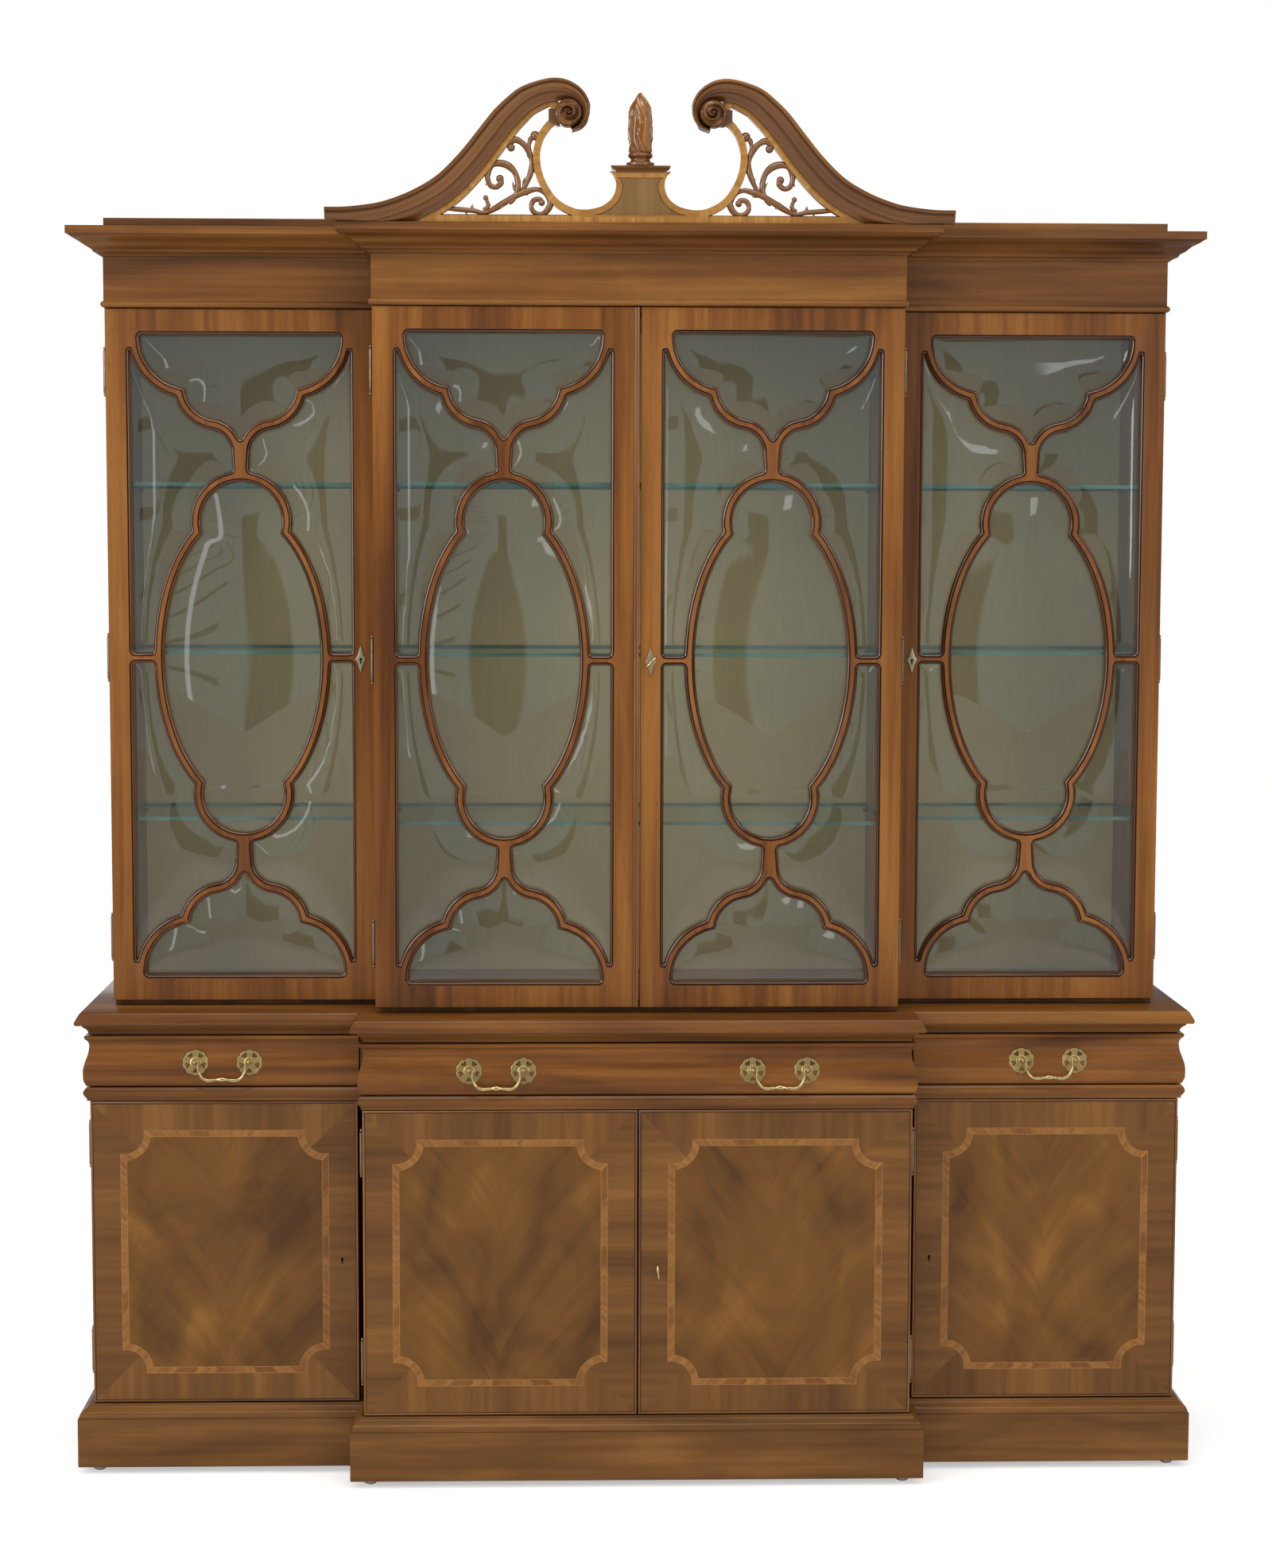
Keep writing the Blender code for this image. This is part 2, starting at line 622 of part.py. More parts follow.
def upper_plan(out, back=CENTRE_DEPTH):
    wing = STEP + UPPER_DOOR_FACE
    return plan(UPPER_HALF_WIDTH, UPPER_CENTRE_HALF_WIDTH, wing, UPPER_DOOR_FACE, back, out)


def upper_case_plan(out, back=UPPER_CASE_BACK):
    wing = STEP + UPPER_CASE_FRONT
    return plan(UPPER_HALF_WIDTH, UPPER_CENTRE_HALF_WIDTH, wing, UPPER_CASE_FRONT, back, out)


def moulded(outline, levels, back=None):
    """A breakfront solid whose sides follow a moulding of (height, projection) levels."""
    loops = []
    for z, out in levels:
        corners = outline(out) if back is None else outline(out, back)
        loops.append([(x, y, z) for x, y in corners])
    return loft("moulded", loops)


def levels_between(bottom, top, start, reach, shares):
    """(height, projection) levels from shares of a moulding's height and reach."""
    return [(bottom + (top - bottom) * up, start + reach * out) for up, out in shares]


def ogee_levels():
    """The profile of the drawer fronts, which returns along the sides of the case."""
    return levels_between(DRAWER_BOTTOM, DRAWER_TOP, -BULGE_SETBACK, -HOLLOW_DEPTH, OGEE_SHARES)


# Plinth and feet


def build_plinth():
    cap = levels_between(PLINTH_BOARD_TOP, PLINTH_TOP, 0.0, -PLINTH_CAP_SETBACK, PLINTH_CAP_SHARES)
    levels = [(FOOT_HEIGHT, 0.0), (PLINTH_BOARD_TOP - SHY, 0.0)] + cap
    body = moulded(plinth_plan, levels)
    room = [(0.0, -PLINTH_WALL), (PLINTH_TOP + OVERRUN, -PLINTH_WALL)]
    inside = moulded(plinth_plan, room, CENTRE_DEPTH - PLINTH_BOARD)
    return finish(cut(body, [inside]), "plinth", "mahogany")


def build_feet():
    """Domed metal glides under the plinth board."""
    side_x = PLINTH_HALF_WIDTH - PLINTH_BOARD - FOOT_RADIUS
    centre_x = PLINTH_CENTRE_HALF_WIDTH - PLINTH_BOARD - FOOT_RADIUS
    back_y = CENTRE_DEPTH - FOOT_INSET
    places = {
        "foot_wing_front_left": (-side_x, STEP + FOOT_INSET),
        "foot_wing_front_right": (side_x, STEP + FOOT_INSET),
        "foot_centre_front_left": (-centre_x, FOOT_INSET),
        "foot_centre_front_right": (centre_x, FOOT_INSET),
        "foot_back_left": (-side_x, back_y),
        "foot_back_right": (side_x, back_y),
    }
    levels = [((FOOT_HEIGHT - GAP) * z, FOOT_RADIUS * r) for z, r in FOOT_SHARES]
    for name, (x, y) in places.items():
        finish(moved(turned(levels, FOOT_SIDES), x, y, 0.0), name, "glide_metal", True)


# Hinges: the case carries the lower knuckle of each barrel and the door the upper one


def hinge_axis(side_x, case_front, side):
    """side is -1 where the barrel is at the left of the door, 1 where it is at the right."""
    return side_x + side * (KNUCKLE_RADIUS + GAP), case_front - JOINT_GAP / 2


def hinge_heights(bottom, top, shares):
    return [bottom + (top - bottom) * share for share in shares]


def upper_hinges():
    return hinge_heights(UPPER_DOOR_BOTTOM, UPPER_DOOR_TOP, UPPER_HINGE_SHARES)


def base_hinges():
    return hinge_heights(DOOR_BOTTOM, DOOR_TOP, BASE_HINGE_SHARES)


def knuckle(axis, side, z0, z1, way):
    """One length of the barrel with the leaf that ties it to the wood, which lies that way in y."""
    x, y = axis
    outline = []
    for i in range(KNUCKLE_SIDES):
        angle = math.radians(360 * i / KNUCKLE_SIDES)
        outline.append((x + KNUCKLE_RADIUS * math.cos(angle), y + KNUCKLE_RADIUS * math.sin(angle)))
    barrel = loft("barrel", [[(a, b, z) for a, b in outline] for z in (z0, z1)])
    inner = x - side * (KNUCKLE_RADIUS + LEAF_BITE)
    leaf = box(x, inner, y, y + way * (JOINT_GAP + LEAF_BITE), z0 + SHY, z1 - SHY)
    return [barrel, leaf]


def case_knuckles(side_x, case_front, side, heights):
    axis = hinge_axis(side_x, case_front, side)
    parts = []
    for z in heights:
        parts += knuckle(axis, side, z - HINGE_LENGTH / 2, z - GAP / 2, 1)
    return parts


def door_knuckles(side_x, case_front, side, heights):
    axis = hinge_axis(side_x, case_front, side)
    parts = []
    for z in heights:
        parts += knuckle(axis, side, z + GAP / 2, z + HINGE_LENGTH / 2, -1)
    return parts


# Base case


def case_boards(outline, half, centre_half, wing_front, front, back, bottom, top):
    """Bottom and top decks, the two ends and the two partitions of a breakfront case."""
    z0 = bottom + SHY
    z1 = top - SHY
    parts = [moulded(outline, [(z, 0.0), (z + BOARD, 0.0)]) for z in (bottom, top - BOARD)]
    for side in (-1, 1):
        parts.append(box(side * half, side * (half - BOARD), wing_front, back, z0, z1))
        inner = side * (centre_half - BOARD)
        parts.append(box(side * centre_half, inner, front, back - SHY, z0, z1))
    return parts


def build_base_carcass():
    """Ends, partitions, three decks, back, drawer guides and the friezes at the drawers' ends."""
    front = BASE_CASE_FRONT
    wing_front = STEP + front
    low = PLINTH_TOP + GAP
    parts = case_boards(
        base_case_plan, BASE_HALF_WIDTH, BASE_CENTRE_HALF_WIDTH, wing_front, front, CENTRE_DEPTH,
        low, BASE_CASE_TOP,
    )
    deck = MID_MOULDING_TOP - BOARD
    parts.append(moulded(base_case_plan, [(deck, 0.0), (MID_MOULDING_TOP, 0.0)]))
    half = BASE_HALF_WIDTH - SHY
    back_y = CENTRE_DEPTH - SHY
    z1 = BASE_CASE_TOP - SHY
    parts.append(box(-half, half, CENTRE_DEPTH - BACK_BOARD, back_y, low + SHY, z1))
    for side in (-1, 1):
        parts += case_knuckles(side * BASE_HALF_WIDTH, wing_front, side, base_hinges())
        parts += case_knuckles(side * BASE_CENTRE_HALF_WIDTH, front, side, base_hinges())
        parts += side_friezes(side)
        inner = side * (BASE_CENTRE_HALF_WIDTH - BITE)
        guide_y = wing_front + SHY
        guide_top = MID_MOULDING_TOP + DRAWER_BOX_HEIGHT / 2
        guide = box(inner, side * RETURN_HALF_WIDTH, guide_y, back_y, deck + BITE, guide_top)
        parts.append(guide)
    return finish(union(parts[0], parts[1:]), "base_carcass", "mahogany")


def side_friezes(side):
    """The ogee carried back along the case side, and along the side of the middle section."""
    low = DRAWER_BOTTOM - OVERRUN
    outer = moulded(plinth_plan, ogee_levels())
    edge = BASE_HALF_WIDTH - BITE
    start = STEP + BASE_CASE_FRONT + GAP
    far = side * (PLINTH_HALF_WIDTH + OVERRUN)
    reach = box(side * edge, far, start, CENTRE_DEPTH - GAP, low, BASE_CASE_TOP)
    common(outer, reach)
    inner = moulded(plinth_plan, ogee_levels())
    edge = BASE_CENTRE_HALF_WIDTH - BITE
    end = STEP + BASE_CASE_FRONT - JOINT_GAP - BITE - GAP
    reach = box(side * edge, side * RETURN_HALF_WIDTH, BASE_CASE_FRONT + GAP, end, low, BASE_CASE_TOP)
    common(inner, reach)
    return [outer, inner]


def tray(x0, x1, y0):
    """The box of a drawer behind its front."""
    z0 = MID_MOULDING_TOP + GAP
    z1 = z0 + DRAWER_BOX_HEIGHT
    y1 = CENTRE_DEPTH - BACK_BOARD - DRAWER_BACK_ROOM
    wall = DRAWER_BOX_WALL
    body = box(x0, x1, y0, y1, z0, z1)
    room = box(x0 + wall, x1 - wall, y0 + wall, y1 - wall, z0 + DRAWER_BOX_FLOOR, z1 + OVERRUN)
    return cut(body, [room])


def build_drawers():
    low = DRAWER_BOTTOM - OVERRUN
    half = PLINTH_HALF_WIDTH + OVERRUN
    inner = RETURN_HALF_WIDTH + DOOR_GAP
    face_back = STEP + BASE_CASE_FRONT - JOINT_GAP
    room = box(-half, -inner, 0.0, face_back, low, BASE_CASE_TOP)
    front = common(moulded(plinth_plan, ogee_levels()), room)
    outer = BASE_HALF_WIDTH - BOARD - JOINT_GAP
    drawer = union(front, [tray(-outer, -inner - STAGGER, face_back - BITE)])
    left = finish(drawer, "drawer_wing_left", "mahogany")
    mirrored(left, "drawer_wing_right")
    face_back = BASE_CASE_FRONT - JOINT_GAP
    reach = box(-half, half, -OVERRUN, face_back, low, BASE_CASE_TOP)
    front = common(moulded(plinth_plan, ogee_levels()), reach)
    half = BASE_CENTRE_HALF_WIDTH - BOARD - JOINT_GAP
    drawer = union(front, [tray(-half, half, face_back - BITE)])
    finish(drawer, "drawer_centre", "mahogany")


def build_mid_moulding():
    """The moulding between drawers and cupboard doors, mitred round the front and the sides."""
    z0 = MID_MOULDING_BOTTOM
    z1 = MID_MOULDING_TOP
    body = moulded(plinth_plan, levels_between(z0, z1, -MID_SETBACK, -MID_PROJECTION, MID_SHARES))
    levels = [(z0 - OVERRUN, GAP), (z1 + OVERRUN, GAP)]
    case = moulded(base_case_plan, levels, CENTRE_DEPTH + OVERRUN)
    return finish(cut(body, [case]), "mid_moulding", "mahogany")


def build_base_top():
    """The thumb-moulded top of the base, with the cove beneath its edge."""
    levels = levels_between(BASE_CASE_TOP + GAP, BASE_TOP_TOP, 0.0, -TOP_SETBACK, TOP_SHARES)
    return finish(moulded(plinth_plan, levels), "base_top", "mahogany")


# Upper case


def shelf_heights():
    low = BASE_TOP_TOP + GAP + BOARD
    high = UPPER_CASE_TOP - BOARD
    return [low + (high - low) * share for share in SHELF_SHARES]


def peg(x, side, y, shelf_bottom):
    """A shelf peg in the board whose face is at x, standing out to that side."""
    top = shelf_bottom - GAP
    half = PEG_WIDTH / 2
    return box(x - side * BITE, x + side * PEG_LENGTH, y - half, y + half, top - PEG_WIDTH, top)


def build_upper_carcass():
    """Boards of the glazed case in one body, with its shelf pegs and the case knuckles."""
    front = UPPER_CASE_FRONT
    wing_front = STEP + front
    back = UPPER_CASE_BACK
    parts = case_boards(
        upper_case_plan, UPPER_HALF_WIDTH, UPPER_CENTRE_HALF_WIDTH, wing_front, front, back,
        BASE_TOP_TOP + GAP, UPPER_CASE_TOP,
    )
    for side in (-1, 1):
        parts += case_knuckles(side * UPPER_HALF_WIDTH, wing_front, side, upper_hinges())
        parts += case_knuckles(side * UPPER_CENTRE_HALF_WIDTH, front, side, upper_hinges())
        for z in shelf_heights():
            for y in (wing_front + PEG_INSET, back - PEG_INSET):
                parts.append(peg(side * (UPPER_HALF_WIDTH - BOARD), -side, y, z))
                parts.append(peg(side * UPPER_CENTRE_HALF_WIDTH, side, y, z))
            for y in (front + PEG_INSET, back - PEG_INSET):
                parts.append(peg(side * (UPPER_CENTRE_HALF_WIDTH - BOARD), -side, y, z))
    return finish(union(parts[0], parts[1:]), "upper_carcass", "mahogany")


def build_upper_back():
    half = UPPER_HALF_WIDTH - SHY
    y0 = UPPER_CASE_BACK + GAP
    z0 = BASE_TOP_TOP + 2 * GAP
    panel = box(-half, half, y0, CENTRE_DEPTH, z0, UPPER_CASE_TOP - SHY)
    return finish(panel, "upper_back", "back_lining")


def build_shelves():
    """Three adjustable glass shelves in each of the three bays."""
    back = UPPER_CASE_BACK - BITE
    wing_y = STEP + UPPER_CASE_FRONT + SHELF_SETBACK
    centre_y = UPPER_CASE_FRONT + SHELF_SETBACK
    wing_x0 = UPPER_CENTRE_HALF_WIDTH + JOINT_GAP
    wing_x1 = UPPER_HALF_WIDTH - BOARD - JOINT_GAP
    centre_x = UPPER_CENTRE_HALF_WIDTH - BOARD - JOINT_GAP
    bays = {
        "left": (-wing_x1, -wing_x0, wing_y),
        "centre": (-centre_x, centre_x, centre_y),
        "right": (wing_x0, wing_x1, wing_y),
    }
    for number, z in enumerate(shelf_heights(), 1):
        for bay, (x0, x1, y) in bays.items():
            shelf = box(x0, x1, y, back, z, z + SHELF_THICKNESS)
            finish(shelf, f"shelf_{bay}_{number}", "glass")


def build_cornice():
    """The removable entablature: necking bead, frieze, crown and raised top board."""
    bead_top = CORNICE_BOTTOM + NECKING_HEIGHT
    levels = levels_between(CORNICE_BOTTOM, bead_top, 0.0, NECKING_PROJECTION, NECKING_SHARES)
    levels += levels_between(FRIEZE_TOP, CORNICE_TOP, 0.0, CROWN_PROJECTION, CROWN_SHARES)
    levels.append((TOP_BOARD_TOP, 0.0))
    body = moulded(upper_plan, levels)
    room = [(CORNICE_BOTTOM - OVERRUN, -CORNICE_WALL), (TOP_BOARD_TOP - BOARD, -CORNICE_WALL)]
    inside = moulded(upper_plan, room, CENTRE_DEPTH - PLINTH_BOARD)
    return finish(cut(body, [inside]), "cornice", "mahogany")


# Outlines drawn in the plane of the front


def arc(centre, radius, start, end, steps):
    """Points on an arc, angles in degrees, measured from +x towards +z."""
    points = []
    for i in range(steps + 1):
        angle = math.radians(start + (end - start) * i / steps)
        points.append((centre[0] + radius * math.cos(angle), centre[1] + radius * math.sin(angle)))
    return points


def ellipse(a, b, steps):
    turn = math.radians(360 / steps)
    return [(a * math.cos(turn * i), b * math.sin(turn * i)) for i in range(steps)]


def smooth_path(points, steps):
    """A Catmull-Rom curve through points of any dimension."""
    out = []
    last = len(points) - 1
    for i in range(last):
        p0 = Vector(points[max(i - 1, 0)])
        p1 = Vector(points[i])
        p2 = Vector(points[i + 1])
        p3 = Vector(points[min(i + 2, last)])
        for k in range(steps):
            t = k / steps
            a = 2 * p1
            b = (p2 - p0) * t
            c = (2 * p0 - 5 * p1 + 4 * p2 - p3) * t * t
            d = (3 * p1 - p0 - 3 * p2 + p3) * t * t * t
            out.append(tuple((a + b + c + d) / 2))
    out.append(tuple(points[-1]))
    return out


def mitres(path, closed):
    """Unit normals in the plane, stretched so that a strip keeps its width round a bend."""
    normals = []
    count = len(path)
    for i in range(count):
        ways = []
        if closed or i > 0:
            ways.append((Vector(path[i]) - Vector(path[i - 1])).normalized())
        if closed or i < count - 1:
            ways.append((Vector(path[(i + 1) % count]) - Vector(path[i])).normalized())
        way = sum(ways, Vector((0, 0))).normalized()
        normal = Vector((-way.y, way.x))
        across = Vector((-ways[0].y, ways[0].x))
        normals.append(normal / max(normal.dot(across), 0.5))
    return normals


def strip(path, section, closed=False, widths=None):
    """A moulding run along a path in the plane of the front. The section is (across, y) points."""
    loops = []
    for i, ((x, z), n) in enumerate(zip(path, mitres(path, closed))):
        scale = widths[i] if widths else 1.0
        loops.append([(x + n.x * s * scale, y, z + n.y * s * scale) for s, y in section])
    return loft("strip", loops, closed)


def flat_section(width, y0, y1):
    half = width / 2
    return [(-half, y0), (half, y0), (half, y1), (-half, y1)]


def spread(start, end, count):
    return [start + (end - start) * i / (count - 1) for i in range(count)]


# Glazed doors


class Tracery:
    """The bars of one door, worked out from the half width and half height of its opening."""

    def __init__(self, a, b):
        self.a = a
        self.b = b

    def place(self, share):
        return share[0] * self.a, share[1] * self.b

    def bracket(self, sx, sz):
        """The three arcs from the corner of the door down to the stem."""
        c1, c2, c3 = (self.place(arcs[0]) for arcs in (TOP_ARC_SHARES, MIDDLE_ARC_SHARES, LOW_ARC_SHARES))
        r1 = TOP_ARC_SHARES[1] * self.a
        r2 = MIDDLE_ARC_SHARES[1] * self.a
        corner = circles_meet(c1, r1, c2, r2)
        a1 = math.degrees(math.atan2(corner[1] - c1[1], corner[0] - c1[0]))
        a2 = math.degrees(math.atan2(corner[1] - c2[1], corner[0] - c2[0])) % 360
        way = Vector(c3) - Vector(c2)
        a3 = math.degrees(math.atan2(way.y, way.x)) % 360
        path = arc(c1, r1, -190, a1, 4)
        path += arc(c2, r2, a2, a3, 3)[1:]
        path += arc(c3, way.length - r2, a3 - 180, -8, 3)[1:]
        return [(sx * x, sz * z) for x, z in path]

    def oval(self):
        """The long oval with a rounded lobe at each end."""
        a, b = self.place(OVAL_SHARES)
        lobe = LOBE_SHARES[0] * self.a
        lobe_z = LOBE_SHARES[1] * self.b
        meet = self.meeting(a, b, lobe, lobe_z)
        x, z = a * math.cos(meet), b * math.sin(meet)
        start = math.degrees(math.atan2(z - lobe_z, x))
        side = [(a * math.cos(t), b * math.sin(t)) for t in spread(-meet, meet, 8)]
        top = arc((0.0, lobe_z), lobe, start, 180 - start, 7)[1:-1]
        path = side + top
        return path + [(-px, -pz) for px, pz in path]

    @staticmethod
    def meeting(a, b, lobe, lobe_z):
        """The angle at which the oval runs into its lobe, found by halving."""
        low, high = 0.0, math.pi / 2
        for _ in range(24):
            t = (low + high) / 2
            if math.hypot(a * math.cos(t), b * math.sin(t) - lobe_z) < lobe:
                high = t
            else:
                low = t
        return high


def circles_meet(c1, r1, c2, r2):
    """Where the first circle runs into the second, on its lower left."""
    p1 = Vector(c1)
    way = Vector(c2) - p1
    d = way.length
    along = (r1 * r1 - r2 * r2 + d * d) / (2 * d)
    off = math.sqrt(max(r1 * r1 - along * along, 0.0))
    middle = p1 + way * along / d
    side = Vector((way.y, -way.x)) / d
    return tuple(min(middle + side * off, middle - side * off, key=lambda p: p.x))


def frame_loops(half_w, half_h, levels):
    """Rectangular loops of a frame, from (inset, y) levels."""
    loops = []
    for (inset_x, inset_z), y in levels:
        x = half_w - inset_x
        z = half_h - inset_z
        loops.append([(-x, y, -z), (x, y, -z), (x, y, z), (-x, y, z)])
    return loops


def glazed_frame(width, height):
    """A door frame with its tracery, centred on the origin with its face at y = 0."""
    w = width / 2
    h = height / 2
    sight = (STILE, RAIL)
    lip = (STILE + LIP, RAIL + LIP)
    seat = (STILE - REBATE, RAIL - REBATE)
    edge = (0.0, 0.0)
    thick = UPPER_DOOR_THICKNESS
    levels = (
        (edge, 0.0), (edge, thick), (seat, thick), (seat, REBATE_DEPTH), (lip, REBATE_DEPTH),
        (lip, LIP_SET), (sight, 0.0),
    )
    frame = loft("frame", frame_loops(w, h, levels), True)
    half = BAR_WIDTH / 2
    crown = half * BAR_CROWN_SHARE
    section = [(-half, BAR_BACK), (-crown, BAR_FRONT), (crown, BAR_FRONT), (half, BAR_BACK)]
    thin = [(s * SIDE_BAR_SHARE, y) for s, y in section]
    a = w - STILE
    b = h - RAIL
    tracery = Tracery(a, b)
    bars = [strip(tracery.oval(), section, True)]
    for side in (-1, 1):
        bars += [strip(tracery.bracket(x, side), section) for x in (-1, 1)]
        bars.append(strip([(side * (a - BITE), 0.0), (side * OVAL_SHARES[0] * a, 0.0)], thin))
        bars.append(strip([(0.0, share * side * b) for share in STEM_SHARES], section))
    return union(frame, bars)


def astragal(face, z0, z1):
    """The double bead on the meeting edge of the left door."""
    x0 = -LEFT_DOOR_EDGE - SHY
    outline = [(x0, face + BITE)]
    for across, rise in ASTRAGAL_SHARES:
        outline.append((x0 + ASTRAGAL_WIDTH * across, face - ASTRAGAL_RISE * rise))
    outline.append((x0 + ASTRAGAL_WIDTH, face + BITE))
    return loft("astragal", [[(x, y, z) for x, y in outline] for z in (z0 + SHY, z1 - SHY)])


def upper_doors():
    """(place, x0, x1, y of the step, hinge side) of each glazed door, but for the mirrored one."""
    return (
        ("wing_left", -UPPER_HALF_WIDTH, -WING_DOOR_EDGE, STEP, -1),
        ("centre_left", -UPPER_CENTRE_HALF_WIDTH, -LEFT_DOOR_EDGE, 0.0, -1),
        ("centre_right", RIGHT_DOOR_EDGE, UPPER_CENTRE_HALF_WIDTH, 0.0, 1),
    )


def upper_key_z():
    return UPPER_DOOR_BOTTOM + (UPPER_DOOR_TOP - UPPER_DOOR_BOTTOM) * UPPER_KEY_SHARE


def build_glazed_doors():
    z0 = UPPER_DOOR_BOTTOM
    z1 = UPPER_DOOR_TOP
    middle = (z0 + z1) / 2
    key_z = upper_key_z()
    for place, x0, x1, back, side in upper_doors():
        face = UPPER_DOOR_FACE + back
        case_front = UPPER_CASE_FRONT + back
        hinge_x = x0 if side < 0 else x1
        door = moved(glazed_frame(x1 - x0, z1 - z0), (x0 + x1) / 2, face, middle)
        extra = door_knuckles(hinge_x, case_front, side, upper_hinges())
        if place == "centre_left":
            extra.append(astragal(face, z0, z1))
        union(door, extra)
        if place == "wing_left":
            cut(door, [keyhole(x1 - ESCUTCHEON_INSET, face, key_z)])
        if place == "centre_right":
            cut(door, [key_bore(x0 + CENTRE_ESCUTCHEON_INSET, face, key_z)])
        axis = (*hinge_axis(hinge_x, case_front, side), middle)
        finish(door, f"glazed_door_{place}", "mahogany", False, axis)
        pane = moved(glass_panel(x1 - x0, z1 - z0), (x0 + x1) / 2, face, middle)
        finish(pane, f"glass_{place}", "glass", False, axis)
    mirrored(PARTS.objects["glazed_door_wing_left"], "glazed_door_wing_right")
    mirrored(PARTS.objects["glass_wing_left"], "glass_wing_right")


def drawn_in(outline, amount):
    """A closed outline with each side moved inwards."""
    after = outline[1:] + outline[:1]
    area = sum(p[0] * q[1] - q[0] * p[1] for p, q in zip(outline, after))
    way = math.copysign(amount, area)
    return [(x + n.x * way, z + n.y * way) for (x, z), n in zip(outline, mitres(outline, True))]


def dome(outline, y, rise, slope):
    """A shallow swell on the glass, which slopes up from its outline."""
    foot = drawn_in(outline, PANE_MARGIN)
    crown = drawn_in(foot, slope)
    return loft("dome", [[(a, y + SHY, b) for a, b in foot], [(a, y - rise, b) for a, b in crown]])


def glass_panel(width, height):
    """One sheet with a swelled pane for each opening of the tracery."""
    a = width / 2 - STILE
    b = height / 2 - RAIL
    y = REBATE_DEPTH + GAP
    reach = REBATE - GAP
    sheet = box(-a - reach, a + reach, y, y + GLASS_THICKNESS, -b - reach, b + reach)
    oval = ellipse(OVAL_PANE_SHARES[0] * a, OVAL_PANE_SHARES[1] * b, OVAL_PANE_SIDES)
    panes = [dome(oval, y, GLASS_BULGE, 2 * PANE_SLOPE)]
    for sz in (-1, 1):
        outline = [(x * a, z * b * sz) for x, z in TOP_PANE_SHARES]
        panes.append(dome(outline, y, GLASS_BULGE, PANE_SLOPE))
        for sx in (-1, 1):
            outline = [(x * a * sx, z * b * sz) for x, z in SIDE_PANE_SHARES]
            rise = GLASS_BULGE * SIDE_PANE_SHARE
            panes.append(dome(outline, y, rise, PANE_SLOPE * SIDE_PANE_SHARE))
    return union(sheet, panes)


# Cupboard doors


def inlay_path(w, h):
    """A rectangle with hollow corners, anticlockwise from the lower right."""
    x = w - INLAY_INSET
    z = h - INLAY_INSET
    path = []
    for cx, cz, start in ((x, -z, 180), (x, z, 270), (-x, z, 360), (-x, -z, 450)):
        path += arc((cx, cz), INLAY_CORNER, start, start - 90, 3)
    return path


def panel_door(width, height):
    """A veneered door with a cock bead round its edge and an inlaid band, face at y = 0."""
    w = width / 2
    h = height / 2
    levels = [((0.0, 0.0), BASE_DOOR_THICKNESS)]
    for inset, rise in COCK_BEAD_SHARES:
        levels.append(((COCK_BEAD * inset, COCK_BEAD * inset), -COCK_BEAD_RISE * rise))
    body = loft("panel", frame_loops(w, h, levels))
    section = flat_section(INLAY_WIDTH, -INLAY_PROUD, BITE)
    return union(body, [strip(inlay_path(w, h), section, True)])


def keyhole(x, face, z):
    """A round hole with a slot below it, to be cut into wood or plate."""
    half = KEYHOLE_SLOT / 2
    outline = arc((x, z), KEYHOLE_RADIUS, -60, 240, 5)
    outline += [(x - half, z - KEYHOLE_DROP), (x + half, z - KEYHOLE_DROP)]
    return slab(outline, face - OVERRUN, face + KEYHOLE_DEPTH)


def key_bore(x, face, z):
    return rod((x, face - OVERRUN, z), (x, face + KEYHOLE_DEPTH, z), KEYHOLE_RADIUS, 8)


def lower_key_z():
    return DOOR_BOTTOM + (DOOR_TOP - DOOR_BOTTOM) * LOWER_KEY_SHARE


def build_cupboard_doors():
    middle = (DOOR_BOTTOM + DOOR_TOP) / 2
    height = DOOR_TOP - DOOR_BOTTOM
    wing_inner = BASE_CENTRE_HALF_WIDTH + WING_DOOR_SETBACK
    doors = (
        ("wing_left", -BASE_HALF_WIDTH, -wing_inner, STEP, -1),
        ("centre_left", -BASE_CENTRE_HALF_WIDTH, -MEETING_HALF_GAP, 0.0, -1),
        ("centre_right", MEETING_HALF_GAP, BASE_CENTRE_HALF_WIDTH, 0.0, 1),
    )
    for place, x0, x1, back, side in doors:
        face = BASE_DOOR_FACE + back
        case_front = BASE_CASE_FRONT + back
        hinge_x = x0 if side < 0 else x1
        door = moved(panel_door(x1 - x0, height), (x0 + x1) / 2, face, middle)
        union(door, door_knuckles(hinge_x, case_front, side, base_hinges()))
        if place == "wing_left":
            cut(door, [keyhole(x1 - WING_KEYHOLE_INSET, face, lower_key_z())])
        if place == "centre_right":
            cut(door, [key_bore(x0 + LOWER_KEY_INSET, face, lower_key_z())])
        axis = (*hinge_axis(hinge_x, case_front, side), middle)
        finish(door, f"cupboard_door_{place}", "crotch_veneer", False, axis)
    mirrored(PARTS.objects["cupboard_door_wing_left"], "cupboard_door_wing_right")


# Escutcheons and keys


def escutcheon(x, face, z, cutter):
    """A diamond plate with hollowed sides and a keyhole."""
    quarter = [(ESCUTCHEON_HALF_WIDTH * a, ESCUTCHEON_HALF_HEIGHT * b) for a, b in DIAMOND_SHARES]
    upper = quarter + [(-a, b) for a, b in reversed(quarter[:-1])]
    outline = upper + [(a, -b) for a, b in reversed(upper[1:-1])]
    back = face - GAP
    front = back - ESCUTCHEON_THICKNESS
    wide, high = DIAMOND_FACE_SHARES
    loops = [
        [(x + a * wide, front, z + b * high) for a, b in outline],
        [(x + a, front + ESCUTCHEON_EDGE, z + b) for a, b in outline],
        [(x + a, back, z + b) for a, b in outline],
    ]
    return cut(loft("plate", loops), [cutter])


